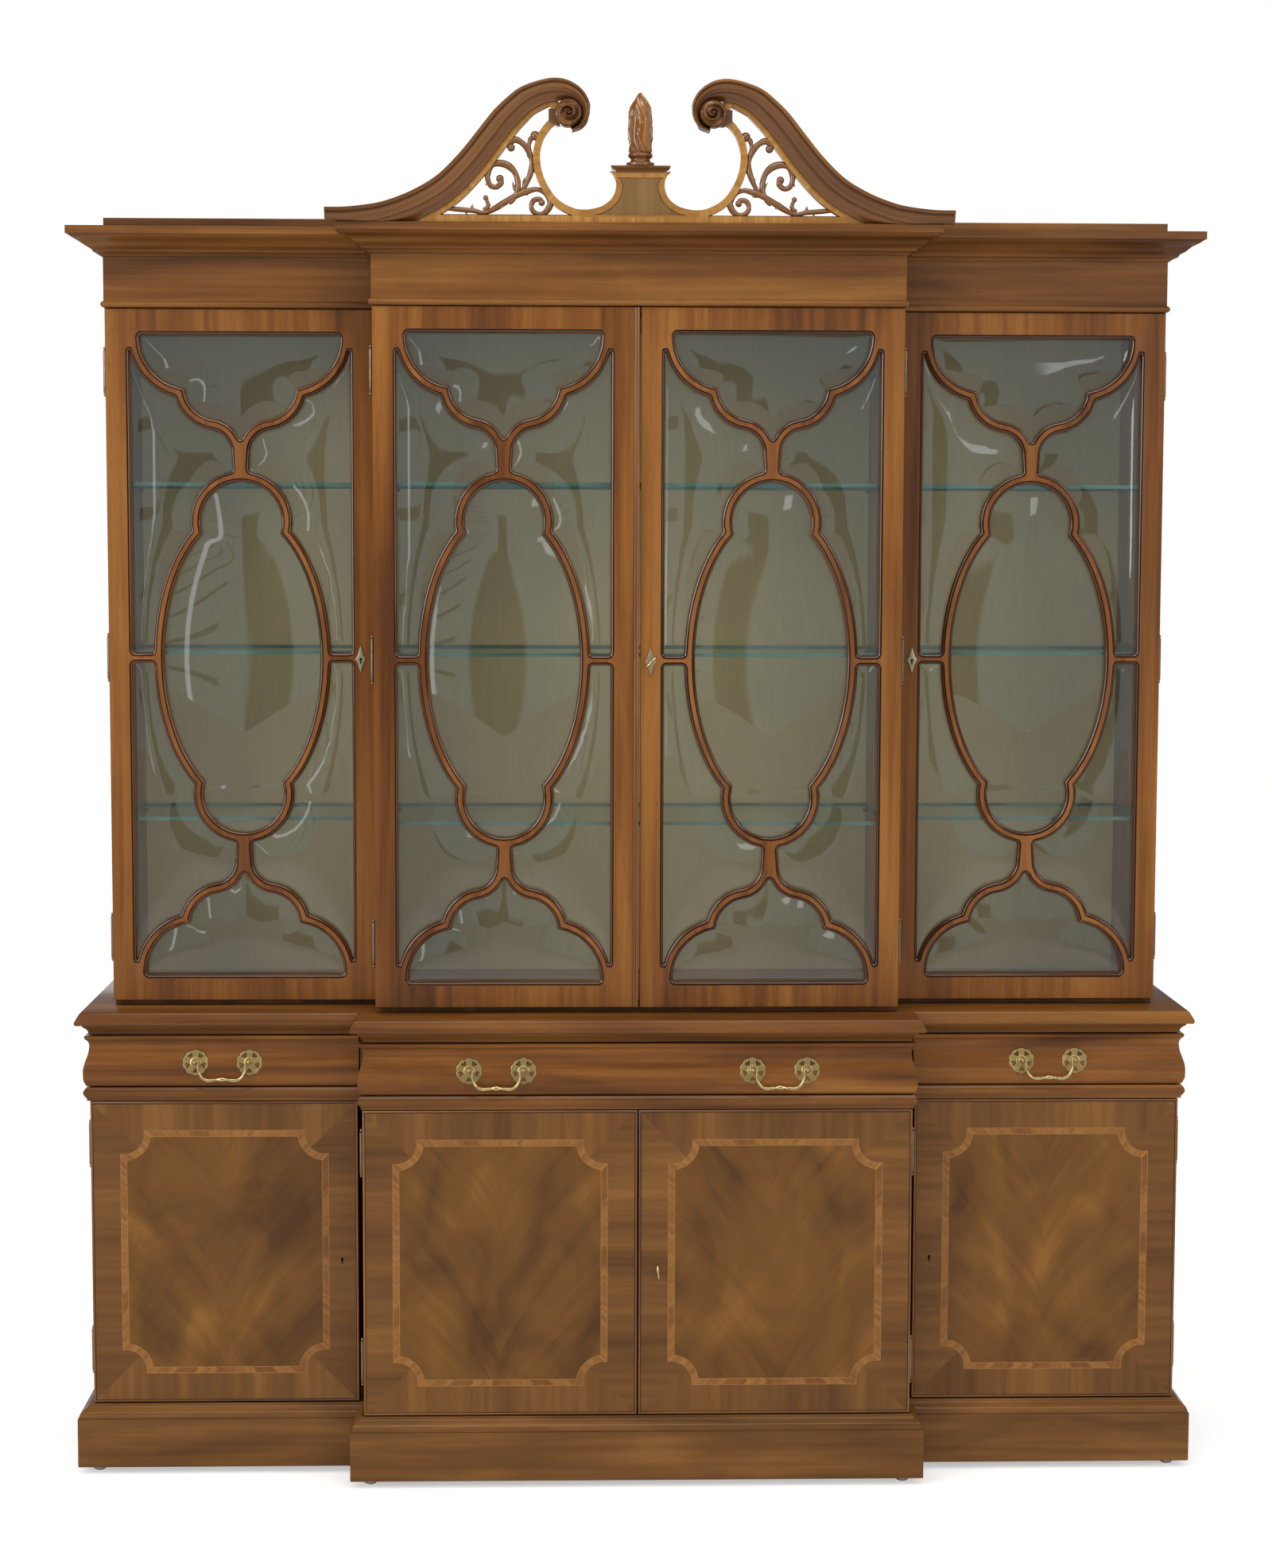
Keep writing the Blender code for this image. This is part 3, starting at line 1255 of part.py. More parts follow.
def build_escutcheons():
    z = upper_key_z()
    face = STEP + UPPER_DOOR_FACE
    x = -WING_DOOR_EDGE - ESCUTCHEON_INSET
    door = PARTS.objects["glazed_door_wing_left"]
    plate = escutcheon(x, face, z, keyhole(x, face, z))
    finish(plate, "escutcheon_wing_left", "brass", False, tuple(door.location))
    mirrored(plate, "escutcheon_wing_right")
    face = UPPER_DOOR_FACE
    x = RIGHT_DOOR_EDGE + CENTRE_ESCUTCHEON_INSET
    door = PARTS.objects["glazed_door_centre_right"]
    plate = escutcheon(x, face, z, key_bore(x, face, z))
    finish(plate, "escutcheon_centre_right", "brass", False, tuple(door.location))


def build_key(name, x, face, z, turn):
    """A key in its lock: shank, collar and an oval bow that stands on edge."""
    neck = face - KEY_NECK
    shank = rod((x, face + KEY_REACH, z), (x, neck - BITE, z), KEY_SHANK_RADIUS, 6)
    collar_y = face - KEY_COLLAR_BACK
    collar = rod((x, collar_y, z), (x, collar_y - KEY_COLLAR_LENGTH, z), KEY_COLLAR_RADIUS, 6)
    depth = KEY_BOW_DEPTH / 2 - KEY_BOW_WIRE
    length = KEY_BOW_LENGTH / 2 - KEY_BOW_WIRE
    ring = [(0.0, y, h, 1.0) for y, h in ellipse(depth, length, KEY_BOW_SIDES)]
    bow = wire(ring, KEY_BOW_WIRE, True)
    bow.data.transform(Matrix.Rotation(math.radians(turn), 4, "Y"))
    moved(bow, x, neck - depth, z)
    return finish(union(shank, [collar, bow]), name, "brass", True, (x, face, z))


def build_keys():
    x = RIGHT_DOOR_EDGE + CENTRE_ESCUTCHEON_INSET
    build_key("key_glazed_door", x, UPPER_DOOR_FACE, upper_key_z(), UPPER_KEY_TURN)
    x = MEETING_HALF_GAP + LOWER_KEY_INSET
    build_key("key_cupboard_door", x, BASE_DOOR_FACE, lower_key_z(), LOWER_KEY_TURN)


# Pulls


def ogee_slope():
    """(lean of the straight run of the ogee from upright, its y behind the plinth at PULL_SHARE)."""
    height = (DRAWER_TOP - DRAWER_BOTTOM) * (HOLLOW_SHARE - BULGE_SHARE)
    up = (PULL_SHARE - BULGE_SHARE) / (HOLLOW_SHARE - BULGE_SHARE)
    return math.atan2(HOLLOW_DEPTH, height), BULGE_SETBACK + HOLLOW_DEPTH * up


def rosette(inward):
    """A pierced rosette of five petals with its ball post, standing on the plane z = 0.

    The ball is bored on the side where the bail enters, which inward (-1 or 1) gives along x."""
    radius = ROSETTE_RADIUS
    count = ROSETTE_LOBES * 2
    outline = []
    for i in range(count):
        angle = math.radians(360 * (i + 0.5) / count + 90)
        for turn in (-0.22, 0.22):
            x, y = math.cos(angle + turn), math.sin(angle + turn)
            outline.append((radius * x, radius * y))
    faces = ((0.0, 1.0), (ROSETTE_THICKNESS, ROSETTE_FACE_SHARE))
    plate = loft("plate", [[(x * wide, y * wide, z) for x, y in outline] for z, wide in faces])
    holes = []
    for i in range(ROSETTE_LOBES):
        middle = math.radians(360 * (i + 0.5) / ROSETTE_LOBES + 90)
        heart = []
        for share, turn in HEART_SHARES:
            reach = radius * share
            heart.append((reach * math.cos(middle + turn), reach * math.sin(middle + turn)))
        holes.append(loft("heart", [[(x, y, z) for x, y in heart] for z in (-OVERRUN, OVERRUN)]))
    cut(plate, holes)
    post = turned([(POST_REACH * a, radius * r) for a, r in POST_SHARES], POST_SIDES)
    union(plate, [moved(post, 0.0, 0.0, STAGGER)])
    start = inward * radius * PIN_START_SHARE
    bore = rod((start, 0.0, POST_REACH), (inward * radius, 0.0, POST_REACH), PIN_RADIUS * PIN_ROOM_SHARE, 5)
    return cut(plate, [bore])


def bail(pivot):
    """The swinging handle, hanging from its pins, as a wire of changing thickness."""
    half = [(-a * PULL_BORING / 2, 0.0, -b * BAIL_DROP, r) for a, b, r in BAIL_SHARES]
    points = half + [(-x, y, z, r) for x, y, z, r in reversed(half)]
    return moved(wire(points, BAIL_RADIUS), *pivot)


def build_pulls():
    """Four bail pulls, each with two rosettes that stand square to the slope of the ogee."""
    lean, behind = ogee_slope()
    z = DRAWER_BOTTOM + (DRAWER_TOP - DRAWER_BOTTOM) * PULL_SHARE
    out = Vector((0.0, -math.cos(lean), math.sin(lean)))
    wing = BASE_CENTRE_HALF_WIDTH + (BASE_HALF_WIDTH - BASE_CENTRE_HALF_WIDTH) * WING_PULL_SHARE
    centre = BASE_CENTRE_HALF_WIDTH * CENTRE_PULL_SHARE
    pulls = (
        ("wing_left", -wing, STEP), ("centre_left", -centre, 0.0),
        ("centre_right", centre, 0.0), ("wing_right", wing, STEP),
    )
    for name, x, back in pulls:
        seat = Vector((x, back + behind, z))
        for side, inward in (("a", 1), ("b", -1)):
            piece = rosette(inward)
            piece.data.transform(Matrix.Rotation(math.radians(90) - lean, 4, "X"))
            place = seat + out * GAP - Vector((inward * PULL_BORING / 2, 0.0, 0.0))
            finish(moved(piece, *place), f"rosette_{name}_{side}", "brass")
        pivot = tuple(seat + out * (GAP + STAGGER + POST_REACH))
        finish(bail(pivot), f"bail_{name}", "brass", True, pivot)


# Pediment, in the plane of the front


def on_pediment(shares, side=1):
    """Points of the pediment, from shares of its half width and rise above the cornice."""
    return [(side * a * PEDIMENT_HALF_WIDTH, CORNICE_TOP + b * PEDIMENT_RISE) for a, b in shares]


def build_swan_neck():
    """The left swan neck: a moulding that sweeps up and winds into a volute round its boss."""
    stations = list(NECK_SHARES[: NECK_PLAIN - 1])
    stations += smooth_path(NECK_SHARES[NECK_PLAIN - 1 :], 2)
    path = on_pediment([(a, b) for a, b, _ in stations], -1)
    back = PEDIMENT_FACE - GAP
    loops = []
    for (x, z), n, (_, _, share) in zip(path, mitres(path, False), stations):
        width = NECK_WIDTH * share
        loop = []
        for down, keep in NECK_SECTION_SHARES:
            y = back - NECK_PROJECTION * keep
            loop.append((x - n.x * down * width, y, z - n.y * down * width))
        loop.append((x - n.x * width, back, z - n.y * width))
        loop.append((x, back, z))
        loops.append(loop)
    neck = loft("neck", loops)
    (x, z), = on_pediment([VOLUTE_SHARES], -1)
    boss = turned([(NECK_PROJECTION * a, VOLUTE_RADIUS * r) for a, r in BOSS_SHARES], BOSS_SIDES)
    boss.data.transform(Matrix.Rotation(math.radians(90), 4, "X"))
    union(neck, [moved(boss, x, back, z)])
    half = PEDIMENT_HALF_WIDTH + OVERRUN
    below = box(-half, half, -OVERRUN, back + OVERRUN, PEDIMENT_BASE - NECK_WIDTH, PEDIMENT_BASE)
    neck = finish(cut(neck, [below]), "swan_neck_left", "mahogany_dark")
    mirrored(neck, "swan_neck_right")


def build_pediment_board():
    """The crossbanded board: bottom rail, banding under the necks, C bands, pedestal and its cap."""
    y0 = PEDIMENT_FACE
    y1 = PEDIMENT_FACE + PEDIMENT_THICKNESS
    outer = NECK_SHARES[2][0] * PEDIMENT_HALF_WIDTH
    foot = PEDIMENT_BASE + BITE
    rail_top = CORNICE_TOP + RAIL_TOP_SHARE * PEDIMENT_RISE
    parts = []
    for side in (-1, 1):
        edge = on_pediment([(a, b) for a, b, _ in NECK_SHARES[2:15]], side)
        outline = [(side * outer, foot)] + [(x, z - BANDING_TUCK) for x, z in edge]
        outline += on_pediment(BANDING_END_SHARES, side)
        outline += on_pediment(reversed(BANDING_SHARES), side)
        outline.append((outline[-1][0] + side * BITE, foot))
        parts.append(slab(outline, y0 + STAGGER, y1 - STAGGER))
        band = smooth_path(on_pediment(C_BAND_SHARES, side), 2)
        parts.append(strip(band, flat_section(BAND_WIDTH, y0 + 2 * STAGGER, y1 - 2 * STAGGER)))
    flank = smooth_path(on_pediment(PEDESTAL_SHARES), 2)
    outline = flank + [(flank[-1][0], rail_top - BITE)]
    outline += [(-x, z) for x, z in reversed(outline)]
    parts.append(slab(outline, y0 + 3 * STAGGER, y1 - 3 * STAGGER))
    parts.append(pedestal_cap(y0, y1))
    board = union(box(-outer, outer, y0, y1, PEDIMENT_BASE, rail_top), parts)
    top = flank[0][1] - PEDESTAL_BORDER
    panel = [(x - PEDESTAL_BORDER, min(z - PEDESTAL_BORDER, top)) for x, z in flank[:9]]
    panel = [(x, z) for x, z in panel if z > rail_top]
    panel.append((panel[-1][0] + SHY, rail_top + SHY))
    panel += [(-x, z) for x, z in reversed(panel)]
    cut(board, [slab(panel, y0 - OVERRUN, y0 + PEDESTAL_SINK)])
    return finish(board, "pediment_board", "crossbanding")


def pedestal_cap(y0, y1):
    """The small moulded shelf under the finial."""
    bottom, top = (CORNICE_TOP + share * PEDIMENT_RISE for share in (CAP_BOTTOM_SHARE, CAP_TOP_SHARE))
    loops = []
    for z, back in levels_between(bottom, top, 0.0, CAP_SETBACK, CAP_SHARES):
        x = CAP_HALF_WIDTH - back
        front = y0 - CAP_FRONT + back
        loops.append([(-x, front, z), (x, front, z), (x, y1 + CAP_BACK, z), (-x, y1 + CAP_BACK, z)])
    return loft("cap", loops)


def build_fretwork():
    """Pierced foliate scrollwork in each corner of the pediment, let in behind the board's face."""
    y0 = PEDIMENT_FACE + FRET_SETBACK
    y1 = y0 + FRET_THICKNESS
    parts = []
    for number, stem in enumerate(STEM_PATH_SHARES):
        stations = smooth_path(stem, 2)
        path = on_pediment([(a, b) for a, b, _ in stations], -1)
        step = STAGGER * number
        section = flat_section(STEM_WIDTH, y0 + step, y1 - step)
        parts.append(strip(path, section, False, [width for _, _, width in stations]))
    step = STAGGER * len(parts)
    for a0, b0, a1, b1, width in LEAF_SHARES:
        root, tip = (Vector(p) for p in on_pediment([(a0, b0), (a1, b1)], -1))
        way = (tip - root).normalized()
        side = Vector((-way.y, way.x)) * width * STEM_WIDTH / 2
        root -= way * SHY
        parts.append(slab([tuple(root - side), tuple(root + side), tuple(tip)], y0 + step, y1 - step))
    step += STAGGER
    for a0, b0, a1, b1 in TIE_SHARES:
        path = on_pediment([(a0, b0), (a1, b1)], -1)
        parts.append(strip(path, flat_section(TIE_WIDTH, y0 + step, y1 - step)))
    fret = union(parts[0], parts[1:])
    cut(fret, [board_cutter()])
    keep_largest(fret)
    finish(fret, "fretwork_left", "mahogany_dark")
    mirrored(fret, "fretwork_right")


def board_cutter():
    """The pediment board as a cutter, a little larger so that the fret clears it."""
    cutter = bpy.data.objects.new("cutter", PARTS.objects["pediment_board"].data.copy())
    PARTS.objects.link(cutter)
    shape = bmesh.new()
    shape.from_mesh(cutter.data)
    bmesh.ops.triangulate(shape, faces=shape.faces)
    for vert in shape.verts:
        vert.co += vert.normal * (GAP + STAGGER)
    shape.to_mesh(cutter.data)
    shape.free()
    return cutter


def keep_largest(obj):
    """Drops the crumbs that a cut leaves, so that the piece is one body."""
    shape = bmesh.new()
    shape.from_mesh(obj.data)
    unseen = set(shape.verts)
    groups = []
    while unseen:
        stack = [unseen.pop()]
        group = set(stack)
        while stack:
            for edge in stack.pop().link_edges:
                fresh = set(edge.verts) & unseen
                unseen -= fresh
                group |= fresh
                stack += fresh
        groups.append(group)
    keep = max(groups, key=len)
    bmesh.ops.delete(shape, geom=[v for v in shape.verts if v not in keep], context="VERTS")
    shape.to_mesh(obj.data)
    shape.free()


# Finial


def build_finial():
    """A turned socle with a carved flame of twisted tongues."""
    y = PEDIMENT_FACE + PEDIMENT_THICKNESS / 2 + BITE
    z0 = CORNICE_TOP + CAP_TOP_SHARE * PEDIMENT_RISE + GAP
    socle = turned([(SOCLE_HEIGHT * a, FINIAL_RADIUS * r) for a, r in SOCLE_SHARES], SOCLE_SIDES)
    foot = SOCLE_HEIGHT - BITE
    loops = []
    for share, r in FLAME_SHARES:
        loop = []
        for i in range(FLAME_SIDES):
            angle = math.radians(360 * i / FLAME_SIDES)
            wave = FLAME_WAVE_SHARE * math.cos(FLAME_LOBES * (angle + FLAME_TWIST * share))
            radius = FLAME_RADIUS * r * (1 + wave * (1 - share / 2))
            z = foot + FLAME_HEIGHT * share
            loop.append((radius * math.cos(angle), radius * math.sin(angle), z))
        loops.append(loop)
    finial = union(socle, [loft("flame", loops)])
    return finish(moved(finial, 0.0, y, z0), "finial", "mahogany_dark", True)


# The whole bookcase


def settle():
    """Puts the middle of the bookcase's box over the origin, with its feet on z = 0."""
    bpy.context.view_layer.update()
    points = []
    for obj in PARTS.objects:
        points += [obj.matrix_world @ v.co for v in obj.data.vertices]
    low = [min(p[i] for p in points) for i in range(3)]
    high = [max(p[i] for p in points) for i in range(3)]
    shift = Vector((-(low[0] + high[0]) / 2, -(low[1] + high[1]) / 2, -low[2]))
    for obj in PARTS.objects:
        obj.location += shift


def build():
    clear_scene()
    make_finishes()
    build_plinth()
    build_feet()
    build_base_carcass()
    build_mid_moulding()
    build_drawers()
    build_base_top()
    build_upper_carcass()
    build_upper_back()
    build_shelves()
    build_cornice()
    build_glazed_doors()
    build_cupboard_doors()
    build_escutcheons()
    build_keys()
    build_pulls()
    build_swan_neck()
    build_pediment_board()
    build_fretwork()
    build_finial()
    settle()


build()
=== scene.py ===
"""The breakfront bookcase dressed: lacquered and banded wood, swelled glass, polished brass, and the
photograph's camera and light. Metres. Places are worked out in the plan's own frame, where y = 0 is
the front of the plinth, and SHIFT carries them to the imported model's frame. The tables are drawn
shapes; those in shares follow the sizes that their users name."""

import math

import bmesh
import bpy
import numpy as np
from mathutils import Matrix, Vector
from mathutils.geometry import delaunay_2d_cdt


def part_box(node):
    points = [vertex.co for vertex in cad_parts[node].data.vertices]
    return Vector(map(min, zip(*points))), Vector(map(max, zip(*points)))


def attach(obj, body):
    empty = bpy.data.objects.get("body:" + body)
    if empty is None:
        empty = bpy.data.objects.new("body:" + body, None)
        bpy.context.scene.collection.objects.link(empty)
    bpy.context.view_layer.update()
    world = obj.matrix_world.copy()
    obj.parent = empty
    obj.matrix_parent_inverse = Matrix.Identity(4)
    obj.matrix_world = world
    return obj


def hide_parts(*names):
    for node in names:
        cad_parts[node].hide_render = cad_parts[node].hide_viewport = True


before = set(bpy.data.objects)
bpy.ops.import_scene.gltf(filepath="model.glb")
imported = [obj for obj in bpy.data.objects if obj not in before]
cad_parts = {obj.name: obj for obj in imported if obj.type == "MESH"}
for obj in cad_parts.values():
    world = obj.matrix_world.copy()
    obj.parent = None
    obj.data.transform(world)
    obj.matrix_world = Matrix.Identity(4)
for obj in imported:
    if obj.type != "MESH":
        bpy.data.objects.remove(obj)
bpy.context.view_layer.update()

# Plan, from the front of the plinth to the back
CASE_BACK = 0.445
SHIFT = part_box("plinth")[1].y - CASE_BACK
STEP = 0.081
PLINTH_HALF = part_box("plinth")[1].x
PLINTH_CENTRE_HALF = 0.472
BASE_HALF = 0.905
BASE_CENTRE_HALF = 0.45
BASE_DOOR_FACE = 0.0203
BASE_DOOR_THICK = 0.022
FRONT_CLEAR = 0.001
BASE_CASE_FRONT = BASE_DOOR_FACE + BASE_DOOR_THICK + FRONT_CLEAR
UPPER_HALF = 0.8732
UPPER_CENTRE_HALF = 0.4315
UPPER_DOOR_FACE = 0.0805
UPPER_DOOR_THICK = 0.02
GAP = 0.0003
BITE = 0.002
TINY = 0.0001
WELD = 0.000005

# Heights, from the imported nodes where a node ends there
FOOT_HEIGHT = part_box("plinth")[0].z
PLINTH_BOARD_TOP = 0.0938
PLINTH_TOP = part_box("plinth")[1].z
LOWER_DOOR_BOTTOM, LOWER_DOOR_TOP = (p.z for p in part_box("cupboard_door_centre_left"))
MID_BOTTOM, MID_TOP = (p.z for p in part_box("mid_moulding"))
DRAWER_BOTTOM = 0.652
DRAWER_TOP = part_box("drawer_centre")[1].z
TOP_BOTTOM, TOP_TOP = (p.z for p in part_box("base_top"))
UPPER_DOOR_BOTTOM, UPPER_DOOR_TOP = (p.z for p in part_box("glazed_door_centre_right"))
CORNICE_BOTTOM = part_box("cornice")[0].z
FRIEZE_TOP = 2.0135
CORNICE_TOP = 2.058
TOP_BOARD_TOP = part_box("cornice")[1].z

# Camera: where the photograph was taken from, and its angles in radians
CAMERA_PLACE = (-0.1298, -4.5, 1.5587)
CAMERA_YAW = 0.0276
CAMERA_PITCH = -0.0877
CAMERA_ROLL = 0.0027
FOCAL_SHARE = 3529.1 / 1972
SENSOR = 36.0

# Stage and light
WHITE = (1.0, 1.0, 1.0, 1.0)
FLOOR_SIZE = 30.0
FLOOR_COLOUR = (0.86, 0.86, 0.85, 1.0)
FLOOR_ROUGHNESS = 0.9
FLOOR_GLOW = 0.47
WORLD_LIGHT = 0.62
# Each lamp: place, aim, width, height, power, colour
LAMPS = {
    "window_left": ((-3.4, -3.2, 2.9), (0.0, 0.0, 1.2), 1.7, 2.2, 56.0, (1.0, 0.99, 0.97)),
    "window_right": ((3.2, -3.4, 2.4), (0.0, 0.0, 1.2), 1.4, 2.0, 34.0, (1.0, 0.98, 0.95)),
    "ceiling": ((0.0, -1.6, 4.2), (0.0, 0.0, 0.9), 2.6, 1.4, 36.0, (1.0, 1.0, 1.0)),
}
# The room that lacquer and glass mirror: its dark parts, its pale walls, its windows
ROOM_DARK = (0.035, 0.03, 0.024)
ROOM_WALL = (0.52, 0.68, 0.72)
ROOM_WINDOW = (5.0, 5.3, 5.6)
# Its parts as slopes of the mirrored ray: middle, half and soft edge across, then the same upwards
WALL_SPANS = ((-0.1, 0.75, 0.2), (0.12, 0.3, 0.04))
STRIPE_SPANS = ((-0.3, 0.13, 0.01), (-0.02, 0.16, 0.01))
DOOR_SPANS = ((-0.04, 0.055, 0.02), (-0.3, 0.36, 0.04))
LEFT_SPANS = ((-1.55, 0.3, 0.1), (0.45, 0.75, 0.1))
DAY_SPANS = ((-3.5, 2.3, 0.1), (1.2, 2.6, 0.3))
RIGHT_SPANS = ((1.75, 0.32, 0.1), (1.15, 0.45, 0.1))
ABOVE_SPAN = (2.4, 0.65, 0.2)
SLIT_SPANS = ((-0.28, 0.007, 0.008), (0.08, 0.16, 0.03))
LAMP_SPANS = ((0.2, 0.02, 0.012), (0.15, 0.035, 0.015))
WALL_BEND = 0.9
BEND_SCALE, BEND_DETAIL = 3.4, 1.5
STRIPE_PITCH, STRIPE_EDGE, STRIPE_SHARE = 190.0, 0.9, 0.8
DOOR_SHARE, SOFT_SHARE, GLINT_SHARE = 0.9, 0.4, 0.42
SLOPE_LIMIT = 0.05

# Looks shared by the woods
# Darkening in quirks and corners by ambient occlusion: partly dark glaze, partly painted shade
GLAZE_AND_SHADE = (0.018, 0.008, 0.004)
GLAZE_AND_SHADE_SPAN = (0.3, 0.8, 0.8, 0.0)
SPECULAR = 0.22
COAT_ROUGHNESS = 0.07
AO_SAMPLES = 4
PORE_SPAN = (0.56, 0.7)


# Nodes


class Tree:
    """A node tree, with short ways to add nodes to it."""

    def __init__(self, tree):
        self.nodes, self.links = tree.nodes, tree.links

    def feed(self, socket, value):
        if isinstance(value, bpy.types.NodeSocket):
            self.links.new(value, socket)
        else:
            socket.default_value = value

    def node(self, kind, inputs=None, **settings):
        node = self.nodes.new("ShaderNode" + kind)
        for key, value in settings.items():
            setattr(node, key, value)
        for key, value in (inputs or {}).items():
            self.feed(node.inputs[key], value)
        return node

    def out(self, kind, inputs=None, output=0, **settings):
        return self.node(kind, inputs, **settings).outputs[output]

    def maths(self, operation, a, b=0.0):
        return self.out("Math", {0: a, 1: b}, operation=operation)

    def times(self, a, b):
        return self.maths("MULTIPLY", a, b)

    def sum_of(self, values, shares):
        """The sum of values, each times its share."""
        total = None
        for value, share in zip(values, shares):
            part = self.times(value, share)
            total = part if total is None else self.maths("ADD", total, part)
        return total

    def ranged(self, value, low, high, to_low=0.0, to_high=1.0, **settings):
        ends = {"From Min": low, "From Max": high, "To Min": to_low, "To Max": to_high}
        return self.out("MapRange", {"Value": value, **ends}, **settings)

    def noise(self, vector, scale, detail=2.0, distortion=0.0):
        vector = self.out("Mapping", {"Vector": vector, "Scale": scale})
        inputs = {"Vector": vector, "Scale": 1.0, "Detail": detail, "Distortion": distortion}
        return self.out("TexNoise", inputs, "Fac")

    def ramp(self, value, stops, colours):
        node = self.node("ValToRGB", {0: value})
        elements = node.color_ramp.elements
        while len(elements) < len(stops):
            elements.new(0.5)
        for element, stop, colour in zip(elements, stops, colours):
            element.position = stop
            element.color = (*colour, 1.0)
        return node.outputs[0]

    def mixed(self, share, *colours):
        a, b = (c if isinstance(c, bpy.types.NodeSocket) else (*c, 1.0) for c in colours)
        return self.out("Mix", {0: share, 6: a, 7: b}, 2, data_type="RGBA")

    def shaded(self, share, a, b):
        return self.out("MixShader", {0: share, 1: a, 2: b})

    def xyz(self, vector):
        return self.node("SeparateXYZ", {0: vector}).outputs

    def span(self, value, middle, half, soft):
        """One near the middle, falling softly to nothing beyond the half width."""
        away = self.maths("ABSOLUTE", self.maths("SUBTRACT", value, middle))
        return self.ranged(away, half, half + soft, 1.0, 0.0, interpolation_type="SMOOTHSTEP")


class Look(Tree):
    """One node material. Wood reads the grain attribute of a piece: along, across and deep."""

    def __init__(self, name, roughness=0.4, metallic=0.0):
        self.material = bpy.data.materials.new(name)
        self.material.use_nodes = True
        super().__init__(self.material.node_tree)
        self.shader = self.nodes["Principled BSDF"]
        self.put("Roughness", roughness)
        self.put("Metallic", metallic)

    def put(self, socket, value):
        self.feed(self.shader.inputs[socket], value)

    def grain(self, along=None):
        """The grain attribute, or the place in the object turned so that x runs along the grain."""
        if not along:
            return self.out("Attribute", None, "Vector", attribute_name="grain")
        parts = self.xyz(self.object_place())
        if along == "case":
            return self.case_place(parts)
        return self.out("CombineXYZ", {i: parts[k] for i, k in enumerate(AXIS_ORDER[along])})

    def object_place(self):
        return self.out("TexCoord", None, "Object")

    def case_place(self, parts):
        """Upright grain on the boards of a case, level grain on the friezes beside the drawers."""
        upright = self.out("CombineXYZ", {0: parts[2], 1: parts[0], 2: parts[1]})
        level = self.out("CombineXYZ", {0: self.maths("ADD", parts[0], parts[1]), 2: parts[2]})
        above = self.maths("GREATER_THAN", parts[2], MID_BOTTOM)
        below = self.maths("LESS_THAN", parts[2], TOP_BOTTOM)
        ends = {0: self.times(above, below), 4: upright, 5: level}
        return self.out("Mix", ends, 1, data_type="VECTOR")

    def corners(self, reach):
        return self.out("AmbientOcclusion", {"Distance": reach}, "AO", samples=AO_SAMPLES)

    def bump(self, height, strength, distance):
        inputs = {"Height": height, "Strength": strength, "Distance": distance}
        self.put("Normal", self.out("Bump", inputs))

    def lacquered(self, colour, reach, shine=0.15):
        """A clear coat, and darkening where ambient occlusion finds quirks and corners: partly dark
        glaze, partly painted shade.
        """
        self.put("Specular IOR Level", SPECULAR)
        self.put("Coat Weight", shine)
        self.put("Coat Roughness", COAT_ROUGHNESS)
        # Painted shade and glaze: the colour darkens towards the glaze colour where ambient occlusion is
        # low
        if reach:
            colour = self.mixed(self.ranged(self.corners(reach), *GLAZE_AND_SHADE_SPAN), colour, GLAZE_AND_SHADE)
        self.put("Base Color", colour)

    def see_through(self, whole, clear):
        """The surface, clear to shadow rays."""
        lit = self.shaded(self.out("LightPath", None, "Is Shadow Ray"), whole, clear)
        self.feed(self.nodes["Material Output"].inputs["Surface"], lit)


# Camera, floor, light


def make_camera():
    yaw, pitch, roll = CAMERA_YAW, CAMERA_PITCH, CAMERA_ROLL
    level = math.cos(pitch)
    forward = Vector((math.sin(yaw) * level, math.cos(yaw) * level, math.sin(pitch)))
    right = forward.cross(Vector((0, 0, 1))).normalized()
    up = right.cross(forward)
    across = right * math.cos(roll) + up * math.sin(roll)
    rise = up * math.cos(roll) - right * math.sin(roll)
    turn = Matrix((across, rise, -forward)).transposed()
    data = bpy.data.cameras.new("camera")
    data.sensor_fit = "VERTICAL"
    data.sensor_height = SENSOR
    data.lens = SENSOR * FOCAL_SHARE
    camera = bpy.data.objects.new("camera", data)
    place = Vector(CAMERA_PLACE) + Vector((0, SHIFT, 0))
    camera.matrix_world = Matrix.Translation(place) @ turn.to_4x4()
    bpy.context.scene.collection.objects.link(camera)
    bpy.context.scene.camera = camera
    bpy.context.scene.view_settings.view_transform = "Standard"


def make_stage():
    half = FLOOR_SIZE / 2
    mesh = bpy.data.meshes.new("floor")
    corners = [(-half, -half, 0), (half, -half, 0), (half, half, 0), (-half, half, 0)]
    mesh.from_pydata(corners, [], [(0, 1, 2, 3)])
    floor = bpy.data.objects.new("floor", mesh)
    bpy.context.scene.collection.objects.link(floor)
    look = Look("floor", FLOOR_ROUGHNESS)
    look.put("Base Color", FLOOR_COLOUR)
    look.put("Emission Color", WHITE)
    seen = look.out("LightPath", None, "Is Camera Ray")
    look.put("Emission Strength", look.times(seen, FLOOR_GLOW))
    mesh.materials.append(look.material)


